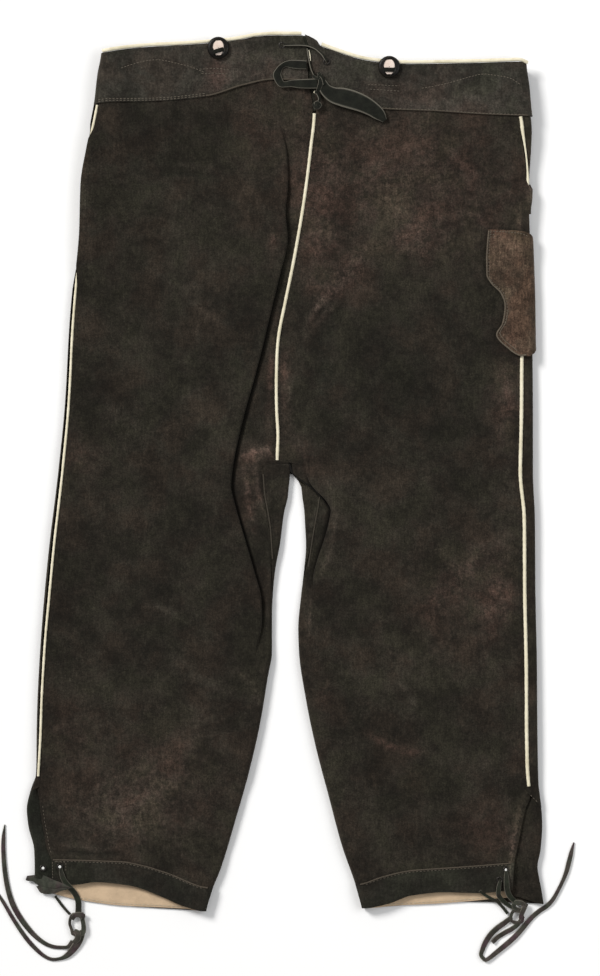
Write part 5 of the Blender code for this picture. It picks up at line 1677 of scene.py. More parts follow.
# How far outside the vent's edge the strip under it is level, and how far it goes on in under the back:
# along the vent, and at its foot, below UNDERLAP_FOOT.
UNDERLAP_LEVEL = 1.5
UNDERLAP_HIDDEN = (12.0, 2.5)
UNDERLAP_FOOT = 880


def underlap_span(leg, down):
    """Where the vent's under strip starts to slope down from the outer fold, and where it ends."""
    start = leg["sign"] * leg["outer"]("edge", down) - leg["outer"]("radius", down)
    return start, leg["sign"] * leg["outer"]("vent_edge", down) + UNDERLAP_LEVEL


def underlap_slope(leg, down):
    """How steeply it slopes there."""
    start, end = underlap_span(leg, down)
    return (2 * leg["outer"]("radius", down) - STRIP_HEIGHT) / (start - end)


def underlap_height(leg, along, down):
    """The strip's height at a place on its slope."""
    start, _ = underlap_span(leg, down)
    return 2 * leg["outer"]("radius", down) - (start - along) * underlap_slope(leg, down)


def underlap_line(leg, down, bottom):
    """One row of the under strip: round the outer fold, down its slope and in under the back."""
    radius = leg["outer"]("radius", down)
    edge = leg["sign"] * leg["outer"]("edge", down)
    first = leg["outer"]("side_seam", down) - PIPING_HALF_SLOT + UNDERLAP_GAP
    quarter = radius * math.pi / 2
    start, end = underlap_span(leg, down)
    hidden = end - UNDERLAP_LEVEL - mix(*UNDERLAP_HIDDEN, ease((down - UNDERLAP_FOOT) / 8))
    line = []
    for travel in (first, first + SMALL_STEP, max(first + 2 * SMALL_STEP, quarter / 2)):
        angle = min(travel, quarter) / radius
        line.append((edge - radius + radius * math.cos(angle), radius + radius * math.sin(angle)))
    start = min(start, line[-1][0] - 1)
    for share in (0, 0.5, 1):
        line.append((mix(start, end, share), mix(2 * radius, STRIP_HEIGHT, share)))
    line.append((hidden, STRIP_HEIGHT))
    row = []
    for along, height in line:
        across = leg["sign"] * along
        low = min(FRONT_HEM[leg["name"]]("down", across) - 1, down) if bottom else down
        row.append((across, low, height))
    return row


# The bit of leather that closes each vent's top: where it starts, then its places in from the outline,
# their heights and where each ends.
VENT_TOPS = {
    "left": (
        774.0,
        ((9.0, 4.4, 786.0), (5.4, 6.0, 788.0), (3.0, 6.2, 790.0), (1.0, 4.6, 792.0), (0.3, 3.0, 793.0)),
    ),
    "right": (
        781.0,
        (
            (17.0, 4.4, 793.0), (12.0, 6.0, 793.5), (7.0, 6.9, 799.0), (3.0, 6.7, 804.0),
            (0.6, 4.6, 808.0)
        ),
    ),
}


def make_underlaps():
    """The strip that closes each side vent from below, folded at the garment's outline."""
    for leg in SIDES:
        name = leg["name"]
        rows = UNDERLAP_ROWS[name]
        grid = np.array([underlap_line(leg, down, down == rows[-1]) for down in rows])
        grid = refined_rows(refined(grid, [2, 2, 3, 5, 5, 4]), [5] * (len(rows) - 1))
        grid[..., 2] += 0.3 * field(grid[..., 0], grid[..., 1], 14, 4.4)
        leather_piece(
            f"vent_underlap_strip_{name}", grid, "underlap", f"vent_underlap_{name}",
            look=f"underlap_{name}", upright=leg["sign"] > 0, on=f"front_leg_panel_{name}",
        )
        first, places = VENT_TOPS[name]
        grid = []
        for share in np.linspace(0, 1, 10):
            line = []
            for inward, height, last in places:
                down = mix(first, last, share)
                line.append((leg["outer"]("edge", down) - leg["sign"] * inward, down, height))
            grid.append(line)
        grid = refined(np.array(grid), [3] * (len(places) - 1))
        leather_piece(
            f"vent_gusset_{name}", grid, "back_panels", upright=leg["sign"] > 0, thickness=GUSSET_WALL
        )


# Where down the sheet the flap comes out from under the waistband, and over what length; and its rows:
# the share of its length, and how much its corners are rounded off there.
FLAP_OUT = 108
FLAP_OUT_OVER = 17
FLAP_ROWS = (
    (0, 0), (0.25, 0), (0.355, 0), (0.44, 0), (0.52, 0), (0.6, 0), (0.7, 0), (0.86, 0), (0.93, 0.1),
    (0.975, 0.4), (1, 1),
)


def make_flap():
    """The drop flap over the front opening, its finished face on the surface below."""
    grid = []
    for share, rounded in FLAP_ROWS:
        down = mix(*FLAP_ENDS, share)
        inset = FLAP_CORNER * rounded
        below = mix(2 * LAP, LAP + LAP_GAP, ease((down - FLAP_OUT) / FLAP_OUT_OVER))
        height = LIFT("lift", down) - below
        places = (FLAP_SIDES[0] + inset, CENTRE_ACROSS, FLAP_SIDES[1] - inset)
        grid.append([(across, down, height) for across in places])
    grid = refined_rows(refined(np.array(grid), [12, 12]), [3] * (len(grid) - 1))
    leather_piece("drop_flap", grid, "front_flap", "front_flap", upright=True)


# Buttons and eyelets
# Each button's strap is tilted in its well, and bows up along its length. PIN is the radius that a
# turned profile closes at, the ovals say how the well and the inset's parts are drawn wider (across,
# down), and the inset's profile is (radius, height over the well's floor).
BAND_TILT = {"left": 0.32, "right": -0.02}
STRAP_BOW = ((-5.2, 0.2), (-3, 0.9), (0, 1.05), (3, 0.9), (5.2, 0.2))
PIN = 0.3
WELL_OVAL = (0.92, 1.3)
INSET_OVALS = (
    (WELL_RADIUS, (1.14, 1.5), "all"), (9.0, (1.16, 1.12), "corners"), (9.0, (0.8, 1.0), "lower")
)
INSET_PROFILE = ((PIN, 0.85), (3.6, 0.82), (4.6, 0.7), (4.9, 0.5), (4.7, 0.3), (PIN, 0.3))


def drawn_oval(made, centre, radius, factors, part="all"):
    """A turned piece's rings inside a radius, or a part of them, drawn wider or narrower."""
    spot = metres((*centre, 0))
    choose(made)
    bpy.ops.object.mode_set(mode="EDIT")
    bpy.ops.mesh.select_all(action="DESELECT")
    bpy.ops.object.mode_set(mode="OBJECT")
    for vertex in made.data.vertices:
        right, up = vertex.co.x - spot[0], vertex.co.y - spot[1]
        corner = min(abs(right), abs(up)) > 1.6 * MM
        chosen = {"all": True, "lower": up < -0.2 * MM, "corners": corner}[part]
        vertex.select = bool(chosen and math.hypot(right, up) < radius * MM)
    bpy.ops.object.mode_set(mode="EDIT")
    bpy.ops.transform.resize(value=(*factors, 1), center_override=(spot[0], spot[1], 0))
    bpy.ops.object.mode_set(mode="OBJECT")


def make_buttons():
    """Horn buttons turned with a well for the pale inset and its strap, and the plain flap buttons."""
    base = WAIST_LIFT + MIDDLE_HEIGHT + LAP + SEAM_GAP + BOSS_HEIGHT
    top = base + BUTTON_HEIGHT
    floor = top - WELL_DEPTH
    r, w = BUTTON_RADIUS, WELL_RADIUS
    profile = [(PIN, floor), (w - 1.2, floor), (w - 0.5, floor + 0.2), (w, floor + 0.9)]
    profile += [(w + 0.2, top - 0.3), (w + 0.7, top), (r - 3.0, top), (r - 1.6, top - 0.25)]
    profile += [(r - 0.7, top - 0.8), (r - 0.15, top - 1.5), (r, top - 2.1), (r - 0.4, base + 0.7)]
    profile += [(r - 1.8, base), (BOSS_RADIUS, base), (BOSS_RADIUS, base - BOSS_HEIGHT)]
    profile += [(PIN, base - BOSS_HEIGHT)]
    inset = [(radius, floor + rise) for radius, rise in INSET_PROFILE]
    for name, (across, down) in BACK_BUTTONS.items():
        made = turned(f"horn_button_{name}", profile, (across, down, 0), finish("button"))
        drawn_oval(made, (across, down), w + 0.75, WELL_OVAL)
        finished(made, "button", f"back_button_{name}")
        made = turned(f"button_inset_{name}", inset, (across, down, 0), finish("well"), 32)
        for radius, factors, part in INSET_OVALS:
            drawn_oval(made, (across, down), radius, factors, part)
        finished(made, "well", f"button_well_{name}")
        tilt = BAND_TILT[name]
        rows = [
            (across + x, down + 3.0 - tilt * x, floor + 0.9 + z, 4.3, 1.0, 0) for x, z in STRAP_BOW
        ]
        swept_piece(
            f"button_strap_{name}", smooth_path(rows, 0.7), "thong", "thong", f"button_thong_{name}",
            sides=14, squareness=1.0,
        )
    flap_top = WAIST_LIFT - 2 * LAP - SEAM_GAP
    r = FLAP_BUTTON_RADIUS
    disc = [(PIN, flap_top), (r - 1.2, flap_top), (r - 0.3, flap_top * 0.8), (r, flap_top * 0.5)]
    disc += [(r - 0.5, flap_top * 0.2), (r - 1.6, 0.0), (r - 3, 0.3), (PIN, 0.5)]
    for name, (across, down) in FLAP_BUTTONS.items():
        made = turned(f"flap_button_disc_{name}", disc, (across, down, 0), finish("button"))
        finished(made, "button", f"flap_button_{name}")


def eyelet_spots():
    """Each eyelet's place, the height of the leather under it, and 1 where it lies tilted."""
    waist = WAIST_LIFT + MIDDLE_HEIGHT + LAP + SEAM_GAP
    band = middle_height(NOMINAL_HEM) + LAP + SEAM_GAP
    return {
        "eyelet_waist_left": (282.0, 46.0, waist, 0.0),
        "eyelet_waist_right": (326.5, 62.5, waist, 0.0),
        "eyelet_hem_left": (60.0, 866.5, band, 0.0),
        "eyelet_underlap_left": (43.0, 868.0, underlap_height(LEFT, -43.0, 868.0) + 0.4, 1.0),
        "eyelet_hem_right_upper": (506.0, 869.5, band, 0.0),
        "eyelet_hem_right_lower": (499.5, 879.5, band, 0.0),
    }


# Eyelets with a pale disc in the hole: it stands for the floor seen through, and at the right upper one
# paints a highlight.
HOLES_WITH_PALE_DISCS = ("eyelet_underlap_left", "eyelet_hem_left", "eyelet_hem_right_upper")


def make_eyelets():
    """Rolled metal rims round the lace holes."""
    for name, (across, down, height, tilted) in eyelet_spots().items():
        start_fresh()
        middle = (EYELET_RADIUS + EYELET_HOLE) / 2
        spot = metres((across, down, height + EYELET_HEIGHT / 2))
        bpy.ops.mesh.primitive_torus_add(
            major_segments=32, minor_segments=12, major_radius=middle * MM,
            minor_radius=(EYELET_RADIUS - EYELET_HOLE) / 2 * MM, location=spot,
        )
        made = named(name.replace("eyelet", "rim"), finish("eyelet"))
        bpy.ops.transform.resize(value=(1, 1, 0.62), center_override=spot)
        if tilted:
            made.rotation_euler.y = math.atan(underlap_slope(LEFT, down))
        bpy.ops.object.transform_apply(location=True, rotation=True, scale=True)
        smooth(made, 60)
        finished(made, "eyelet", name)
        # A pale disc in the hole: the floor seen through, or at the right upper eyelet a painted
        # highlight.
        if name in HOLES_WITH_PALE_DISCS:
            hole = [(PIN, height + 0.5), (1.4, height + 0.45), (1.4, height), (PIN, height)]
            made = turned(name.replace("eyelet", "hole"), hole, (across, down, 0), finish("hole"), 20)
            finished(made, "eyelet")


# Laces: places across and down the sheet, height of the strap's middle (0 lies on the floor), width,
# turn and thickness; a row that stops short has the last two as in STRAP_USUAL.
# A strap on the floor clears it by FLOOR_GAP, and its path has a point each STRAP_STEP.
STRAP_USUAL = (0, 1.4)
FLOOR_GAP = 0.05
STRAP_STEP = 1.2
STRAPS = {
    "back_lace_cross": [
        (283.4, 46, 15.4, 2.6, 40), (292, 46, 15, 3.6, 62), (300, 46, 14.8, 3.6, 66),
        (308, 46.8, 14.8, 3.6, 66), (315, 49.6, 14.8, 3.6, 66), (320.5, 54, 15, 3.4, 60),
        (324.4, 58.6, 15.4, 3, 40), (326.6, 62, 15.4, 2.4, 10),
    ],
    "back_lace_down": [
        (307.4, 49.5, 14.6, 2.2, 60, 1.2), (308.6, 58, 14.6, 2.2, 66, 1.2),
        (310.4, 67, 14.6, 2.2, 66, 1.2), (313.6, 75, 15, 2.4, 50, 1.2), (317, 79, 15.6, 3, 0, 1.3),
    ],
    "back_lace_loop": [
        (306.4, 66, 15, 8.6, 6), (298, 65.6, 15.2, 9, 4), (291, 65.2, 15.4, 8.2),
        (285.8, 65.2, 15.4, 5.6, 10), (281.8, 67.2, 15.6, 5, 20), (278.6, 71.6, 15.4, 6.6, 10),
        (277.4, 77.6, 15.2, 8.2), (280.2, 83.6, 15.2, 7.4), (285.4, 85.4, 15.4, 6, 10),
        (291, 84.6, 15.4, 7, 6), (299, 84.8, 15.4, 8.8), (308, 84.8, 15.6, 9.6, -4),
        (317, 84.6, 16, 10),
    ],
    "back_lace_tail": [
        (321.5, 83, 16.4, 9, 0, 1.5), (326, 91, 16, 12.4, 4, 1.5), (333, 95.8, 15.6, 16, 6, 1.5),
        (343, 98.2, 15.4, 19, 6, 1.5), (353, 101, 15.3, 19, 4, 1.5),
        (363, 104.8, 15.2, 17.4, 2, 1.5), (372, 109.8, 14.8, 15, 0, 1.5),
        (379.4, 115.6, 14.4, 12, -4, 1.5), (384.6, 121.4, 13.9, 5, -4),
    ],
    "hem_lace_left_strap": [
        (60.8, 868, 8.5, 3, 0, 1.2), (61.8, 873, 9, 4.8), (64.4, 880, 8.6, 5.2, 4),
        (69.6, 887, 7.4, 5.6, 6), (74.8, 893.4, 5.4, 5.8, 8), (77.8, 900, 3.8, 6, 6),
        (78.4, 907, 2.6, 6.2), (78.2, 914, 3, 6.4),
    ],
    "hem_lace_left_thin": [
        (55, 896.4, 1.6, 2.6, 0, 1.3), (60, 903.4, 1.3, 2.8, 0, 1.3), (65, 909.6, 1.3, 2.8, 0, 1.3),
        (69.8, 914.6, 2, 2.6, 0, 1.3),
    ],
    "hem_lace_left_tail_a": [
        (72, 941, 2.4, 3.4), (68.4, 946.4, 1.6, 3.6), (62, 947.8, 0, 3.6, 8),
        (55, 947.4, 0, 3.8, 8), (48, 945.4, 0, 4.2, 10), (41, 941.4, 0, 4.6, 10),
        (34, 935.6, 0, 5, 8), (27.6, 928.6, 0, 5.4, 6), (21.8, 921, 0, 5.6, 4),
        (16.8, 913.2, 0, 5.6), (12.8, 905.4, 0, 5.6, -4), (9.6, 896.8, 0, 5.4, -8),
        (7.2, 887.4, 0, 5.2, -10), (5.4, 877.4, 0, 5, -10), (4.1, 867, 0, 4.8, -8),
        (3.3, 856.6, 0, 4.6, -6), (3, 846.6, 0, 4.4, -4), (3.3, 836, 0, 3.6),
        (4.5, 825, 0, 0.9, 0, 1.1),
    ],
    "hem_lace_left_tail_b": [
        (82.6, 931, 3.6, 6, 10, 1.5), (79.2, 940, 2.6, 7.8, 10, 1.5),
        (73.8, 948.6, 1.9, 7.4, 6, 1.5), (67.4, 955.4, 1.5, 5.8, 6), (60, 959, 0, 3.6, 12),
        (51.6, 959.6, 0, 3.4, 16), (44.6, 956.8, 0, 3.8, 12), (38.4, 952, 0, 4.2, 8),
        (32.2, 946, 0, 4.4, 4), (26.2, 939, 0, 4.4), (20.4, 931, 0, 4.2, -4), (15, 922.8, 0, 4, -8),
        (10.4, 915.4, 0, 3.8, -8), (6.4, 908.4, 0, 3.6, -6), (1.6, 900.4, 0, 3.4),
        (-2.6, 893.8, 0, 2.4, 0, 1.3),
    ],
    "hem_lace_right_strap_lower": [
        (500, 880.6, 9.8, 3.2), (498.6, 886.4, 9.9, 4.4), (498.2, 892, 9.2, 4.8),
        (500, 897.4, 6.6, 4.8, 10), (504, 902, 4.8, 4.6, 16), (509.4, 906, 4, 4.2, 20),
        (514.6, 908.6, 4.2, 3.8, 20),
    ],
    "hem_lace_right_strap_upper": [
        (506, 870.6, 8.8, 3, 0, 1.2), (506.2, 877, 9.8, 5), (506.4, 884, 10, 5.6),
        (507.4, 891, 8.8, 5.6, 6), (510.4, 897, 6.6, 5.4, 14), (515, 901.4, 5.2, 5, 20),
        (520, 904.4, 5.2, 4.6, 20),
    ],
    "hem_lace_right_thin": [
        (479.6, 890.6, 7.6, 2.8, 0, 1.3), (484.6, 894.6, 5.4, 3, 0, 1.3),
        (490.4, 898, 4.6, 3, 0, 1.3), (496.6, 901.4, 3.8, 3, 0, 1.3),
        (502.6, 907.4, 2.2, 3, 0, 1.3), (507.8, 914, 1.8, 3, 0, 1.3),
    ],
    "hem_lace_right_inner": [
        (523, 916.6, 3, 4.4, 10), (519, 923.4, 1.9, 4.8, 10), (512.4, 929, 1.4, 5, 8),
        (504.4, 933.4, 0, 5, 6), (497.4, 938, 0, 4.8, 4), (492.4, 943, 2, 4.2),
    ],
    "hem_lace_right_tail": [
        (511.4, 917.6, 2.6, 4.6, 10), (504.6, 923.2, 1.7, 5.6, 12), (497, 928.8, 0, 5.8, 12),
        (490.4, 935.4, 0, 5.8, 10), (485.6, 943, 0, 5.6, 8), (482.4, 950.6, 0, 5, 14),
        (481.6, 956.6, 0, 4.2, 24), (484.6, 960, 0, 4, 28), (489.6, 958.4, 0, 4.4, 18),
        (495.4, 953.8, 0, 4.8, 12), (501.6, 948.8, 0, 5.2, 10), (508.2, 943.4, 0, 5.4, 8),
        (514.8, 937.4, 0, 5.4, 8), (520.8, 931, 0, 5.2, 6), (526.4, 924.4, 0, 4.8, 4),
        (532.6, 917.4, 0, 4.8), (539.6, 911.4, 0, 4.8), (546.6, 906.8, 0, 4.6, 4),
        (552.6, 900.6, 0, 4.2, 8), (557.8, 891.8, 0, 3.8, 10), (562.6, 882.2, 0, 3.8, 10),
        (566.4, 872.8, 0, 4.4, 8), (569.2, 862.6, 0, 4.8, 6), (571.6, 852.6, 0, 4, 4),
        (574.2, 842.8, 0, 1.2, 0, 1.2),
    ],
}
# Straps wound into each knot, as rows of the same columns; a closed one is a ring.
KNOT_STRAPS = {
    "back_lace_knot": [
        (False, [
            (318.6, 73.6, 15.6, 3.4), (320.2, 78, 17.4, 4.6, 6), (320.4, 84, 17.7, 4.8, 6),
            (318.8, 90, 16.6, 4.4), (317.4, 93.4, 15.2, 3),
        ]),
        (False, [
            (312.8, 77, 15.8, 3, 0, 1.3), (316.2, 79.4, 17, 3, 0, 1.3),
            (319.4, 76.4, 18, 3, 20, 1.3), (322.4, 79.4, 17.8, 3.2, 30, 1.3),
            (324.6, 85.4, 17, 3.6, 20, 1.3),
        ]),
    ],
    "back_lace_end_knot": [
        (False, [
            (314.6, 93, 15.4, 3.2), (317.8, 95, 15.8, 3.4, 30), (319.4, 99.2, 15.8, 3.2, 40),
            (318.2, 103.6, 15.6, 3.4, 20), (316.8, 107, 15.4, 6.2, 0, 1.8),
            (316.4, 110, 15, 5, 0, 1.6),
        ]),
        (True, [
            (313.6, 106, 15.2, 3.6, 20, 1.6), (316.8, 104, 16, 3.8, 0, 1.6),
            (320.2, 106, 15.4, 3.6, -20, 1.6), (317, 108.6, 15.6, 3.8, 0, 1.6),
        ]),
    ],
    "hem_lace_left_knot": [
        (True, [
            (73.4, 914.6, 3.4, 3.8, 0, 1.6), (70.2, 918.8, 3, 3.2, 10, 1.6),
            (69.6, 924.2, 2.6, 3, 14, 1.6), (71.4, 929.6, 2.6, 3.2, 14, 1.6),
            (75, 934.2, 3, 4.4, 0, 1.6), (80.2, 933.8, 3.6, 5.4, 0, 1.6),
            (83.6, 928.6, 3.6, 5, 10, 1.6), (82.8, 921.6, 3.4, 4.6, 10, 1.6),
            (79.6, 915.6, 3.6, 4.4, 0, 1.6),
        ]),
        (False, [
            (72, 919.6, 2.6, 3.6), (75.4, 915, 4.6, 5, 0, 1.5), (79.6, 914.6, 5, 5.4, 0, 1.5),
            (83, 918.8, 4.2, 4.2, 20),
        ]),
        (False, [
            (74.4, 930.6, 3.6, 4), (77.8, 933.6, 4.8, 6.4, 0, 1.6), (77.6, 938.6, 4, 6.2, 0, 1.6),
            (73.4, 943, 2.6, 4.6),
        ]),
    ],
    "hem_lace_right_knot": [
        (True, [
            (510.8, 917, 2.8, 3.4, 10, 1.5), (512.4, 912.6, 3.6, 3.4, 10, 1.5),
            (517, 911, 4.4, 3.6, 0, 1.5), (521.6, 913.4, 4.2, 3.8, 10, 1.5),
            (522.6, 918.4, 3.2, 3.6, 10, 1.5), (518.6, 923, 2.6, 3.4, 0, 1.5),
            (513.2, 922, 2.4, 3.2, 0, 1.5),
        ]),
        (True, [
            (513.6, 904.4, 5.6, 4.4, 10, 1.5), (518, 902.2, 6, 4.8, 0, 1.5),
            (522.6, 903.6, 5.8, 4.8, 0, 1.5), (524.2, 907.6, 5.2, 5, 0, 1.5),
            (520.8, 910.4, 5, 5, 0, 1.5), (515.6, 908.6, 5.2, 4.6, 0, 1.5),
        ]),
        (False, [
            (526.6, 903.6, 4.4, 4, 10), (523.8, 908.8, 5.8, 5, 0, 1.6),
            (521.6, 914.2, 4.8, 4.8, 0, 1.5), (520.4, 918.6, 3.2, 3.6),
        ]),
    ],
}
# The doubled tab on the left hem's lace: its upper and lower sides and its height.
TAB_OUTLINE = Table(
    ("across", "upper", "lower", "height"),
    [
        (25, 878, 882, 2.8), (26.2, 876.2, 883.8, 3.4), (33, 875.2, 885.6, 3.9),
        (37, 874.8, 890.8, 4.2), (42, 875, 893.4, 4.8), (48, 877, 894.2, 5.6),
        (54, 879.8, 893.6, 7), (60, 881.6, 891, 9), (66, 884, 889.4, 10.2), (72, 887, 888.6, 10),
    ],
)
TAB_BULGE = 0.7
# Its two layers: where each starts and ends, its lift, and the shares of the outline at its tip and at
# its upper and lower sides, reached over a taper.
TAB_LAYERS = rows_of(
    ("first", "last", "lift", "tip", "upper", "lower", "taper"),
    [(25.4, 72.0, 0.0, 0.5, 0.0, 0.62, 1.5), (35.6, 70.0, -0.9, 0.78, 0.5, 1.0, 5.0)],
)
# Each free lace: its far end, its width in metres and the pieces on it.
CORDS = {
    "back_lace_cross": ("object", 0.0044, ["back_lace_down"]),
    "back_lace_loop": ("knot", 0.0092, ["back_lace_end_knot"]),
    "back_lace_tail": ("bare", 0.0120, ["back_lace_knot"]),
    "hem_lace_left_strap": (
        "knot", 0.0058, ["hem_lace_left_tab", "hem_lace_left_thin", "hem_lace_left_knot"]
    ),
    "hem_lace_left_tail_a": ("bare", 0.0050, []),
    "hem_lace_left_tail_b": ("bare", 0.0044, []),
    "hem_lace_right_strap_lower": ("knot", 0.0046, ["hem_lace_right_knot"]),
    "hem_lace_right_strap_upper": ("knot", 0.0054, []),
    "hem_lace_right_thin": ("knot", 0.0030, []),
    "hem_lace_right_inner": ("knot", 0.0050, []),
    "hem_lace_right_tail": ("bare", 0.0050, []),
}


def laid(rows):
    """Rows with the height of a strap that lies on the floor worked out from its turn."""
    found = []
    for across, down, height, width, *rest in rows:
        turn, thickness = (*rest, *STRAP_USUAL[len(rest) :])
        lean = math.radians(abs(turn))
        resting = (width * math.sin(lean) + thickness * math.cos(lean)) / 2 + FLOOR_GAP
        found.append((across, down, max(height, resting), width, thickness, turn))
    return found


def strap_look(name):
    """A hem lace's straps at the eyelets are the darker ones."""
    if name.startswith("back"):
        return "lace"
    return "eyelet_lace" if "_strap" in name or "_thin" in name else "hem_lace"


def strap_piece(name, rows, closed=False):
    """A strap through its rows, and the path it follows; a closed one is a ring."""
    rows = laid(rows)
    if closed:
        rows = rows + rows[:1]
    path = smooth_path(rows, STRAP_STEP)
    if closed:
        path = path[:-1]
    return swept(name, path, finish(strap_look(name)), 14, 1.0, closed), path


def lace_name(node):
    """The strap that stands for a lace's solid."""
    return node.replace("lace", "thong")


def make_tab():
    """The doubled end of the left hem's lace, flattened where it lies across the vent."""
    layers = []
    for number, layer in enumerate(TAB_LAYERS):
        first, last, lift, tip = (layer[key] for key in ("first", "last", "lift", "tip"))
        grid = []
        for along in np.linspace(first, last, 34):
            upper, lower = TAB_OUTLINE("upper", along), TAB_OUTLINE("lower", along)
            taper = ease((along - first) / layer["taper"])
            low, high = mix(tip, layer["upper"], taper), mix(tip, layer["lower"], taper)
            height = TAB_OUTLINE("height", along) + lift
            line = []
            for share in np.linspace(low, high, 12):
                bulge = TAB_BULGE * math.sin((share - low) / max(high - low, 1e-3) * math.pi)
                line.append((along, mix(upper, lower, share), height + bulge * taper))
            grid.append(line)
        grid = np.array(grid)
        layers.append(
            leather_sheet(f"tab_layer_{number}", grid, "hem_lace", "cut_lace", True, TAB_WALL, False)
        )
    return joined("hem_thong_left_tab", layers)


def make_laces():
    """The waist lace and the two hem laces, each a cut strap of leather, with their knots."""
    made, paths = {}, {}
    for node, rows in STRAPS.items():
        made[node], paths[node] = strap_piece(lace_name(node), rows)
    for node, straps in KNOT_STRAPS.items():
        parts = [strap_piece(f"{node}_{k}", rows, closed)[0] for k, (closed, rows) in enumerate(straps)]
        made[node] = joined(lace_name(node), parts)
    made["hem_lace_left_tab"] = make_tab()
    for node, piece in made.items():
        finished(piece, "lace", node)
    for node, (far_end, diameter, others) in CORDS.items():
        route = metres(paths[node][:, :3])
        length = float(np.linalg.norm(np.diff(route, axis=0), axis=1).sum())


# Stitching
# The least height of a stitch's middle above the floor, and heights in metres from which rays look for
# a piece's surface.
LOWEST_THREAD = 0.2
OVER_ALL = 0.08
UNDER_ALL = -0.05


def drape_line(places, target, out=0.25, below=False):
    """Heights for places on the sheet where a piece's surface lies, seen from above or from below."""
    tree = BVHTree.FromObject(bpy.data.objects[target], bpy.context.evaluated_depsgraph_get())
    start, ahead = (UNDER_ALL, 1.0) if below else (OVER_ALL, -1.0)
    line = []
    for across, down in places:
        spot = metres((across, down, 0))
        hit = tree.ray_cast(Vector((spot[0], spot[1], start)), Vector((0, 0, ahead)))[0]
        if hit is not None:
            line.append((across, down, max(hit.z / MM + (-out if below else out), LOWEST_THREAD)))
    return line


def evenly(places, step):
    """Places every step along a smooth line through the given ones."""
    fine = smooth_path([(a, d, 0.0) for a, d in places], 0.5)
    travel = np.concatenate([[0], np.cumsum(np.linalg.norm(np.diff(fine, axis=0), axis=1))])
    stops = np.arange(0, travel[-1], step)
    return np.column_stack([np.interp(stops, travel, fine[:, k]) for k in range(2)])


def one_stitch():
    """A single stitch, one unit long, from which every row is copied."""
    start_fresh()
    bpy.ops.mesh.primitive_uv_sphere_add(segments=6, ring_count=4, radius=0.5)
    stitch = bpy.context.object
    bpy.ops.object.mode_set(mode="EDIT")
    bpy.ops.transform.rotate(value=math.pi / 2, orient_axis="Y", center_override=(0, 0, 0))
    bpy.ops.object.mode_set(mode="OBJECT")
    points = np.array([v.co[:] for v in stitch.data.vertices])
    faces = [tuple(p.vertices) for p in stitch.data.polygons]
    bpy.data.objects.remove(stitch, do_unlink=True)
    return points, faces


# For its width, how far out of the leather a stitch's middle lies and how thick it is; and how many
# times its usual reach a stitch may have before it is left out, as one that steps off an edge has.
STITCH_OUT = 0.12
STITCH_THICK = 0.7
TOO_LONG = 2.5
# The thread of each vent's edge, and each kind of stitch row: the piece it lies on, its slot, its
# thread (or each leg's), and its stitches' length, gap and width.
VENT_THREAD = {"_left": "pale_thread", "_right": "dark_thread"}
SEWN = {
    "seam_waist": ("back_waistband", "waistband", "pale_thread", 2.6, 1.0, 0.8),
    "arc_waist": ("back_waistband", "waistband", "pale_thread", 2.4, 0.8, 0.7),
    "tack_waist": ("back_waistband", "waistband", "pale_thread", 2.6, 0.8, 0.6),
    "top_waist": ("back_waistband", "waistband", "dark_thread", 2.2, 1.4, 0.5),
    "seam_hem": ("hem_band_strip", "hem_band", "pale_thread", 2.4, 1.3, 0.62),
    "edge_hem": ("hem_band_strip", "hem_band", "dark_thread", 2.4, 1.3, 0.62),
    "edge_facing": ("beige_facing", "facing", "cream_thread", 3.0, 1.2, 0.7),
    "seam_side": ("back_leg_panel", "back_panels", "dark_thread", 2.6, 1.6, 0.5),
    "seam_seat": ("back_leg_panel", "back_panels", "dark_thread", 2.6, 1.6, 0.5),
    "edge_vent": ("back_leg_panel", "back_panels", VENT_THREAD, 2.4, 1.4, 0.5),
    "seam_vent": ("vent_gusset", "back_panels", "pale_thread", 2.4, 1.3, 0.62),
    "border_pocket": ("knife_pocket_patch", "knife_pocket", "pale_thread", 2.0, 1.0, 0.7),
    "box_eyelet": ("hem_band_strip", "hem_band", "pale_thread", 2.0, 0.9, 0.6),
    "border_flap": ("drop_flap", "front_flap", "dark_thread", 2.4, 1.3, 0.62),
}


def stitch_row(kind, lines, leg="", below=False):
    """Rows of stitches in one piece, each lying on the surface of what it is sewn on."""
    target, slot, look, length, gap, width = SEWN[kind]
    look = look[leg] if look is VENT_THREAD else look
    width *= bpy.context.scene.lederhosen_trim.thread
    points, faces = one_stitch()
    vertices, polygons = [], []
    for places in lines:
        stops = evenly(places, (length + gap) / 2)
        line = drape_line(stops, target + leg, STITCH_OUT * width, below)
        for k in range(0, len(line) - 1, 2):
            a, b = metres(line[k]), metres(line[k + 1])
            ahead = b - a
            reach = np.linalg.norm(ahead)
            if reach > TOO_LONG * (length + gap) / 2 * MM:
                continue
            ahead /= reach
            side = np.cross((0, 0, 1.0), ahead)
            side /= np.linalg.norm(side)
            up = np.cross(ahead, side)
            size = (length * MM, width * MM, STITCH_THICK * width * MM)
            axes = enumerate((ahead, side, up))
            spots = (a + b) / 2 + sum(points[:, j : j + 1] * size[j] * axis for j, axis in axes)
            base = len(vertices)
            vertices.extend(spots.tolist())
            polygons.extend(tuple(base + index for index in face) for face in faces)
    made = mesh_piece(kind + leg, vertices, polygons, finish(look))
    smooth(made, 80)
    finished(made, slot)


def beside(table, first, last, offset):
    """Places along an edge that runs across the garment, a little above or below it."""
    count = max(2, int((last - first) / ROW_STEP))
    return [(across, table("down", across) + offset) for across in np.linspace(first, last, count)]


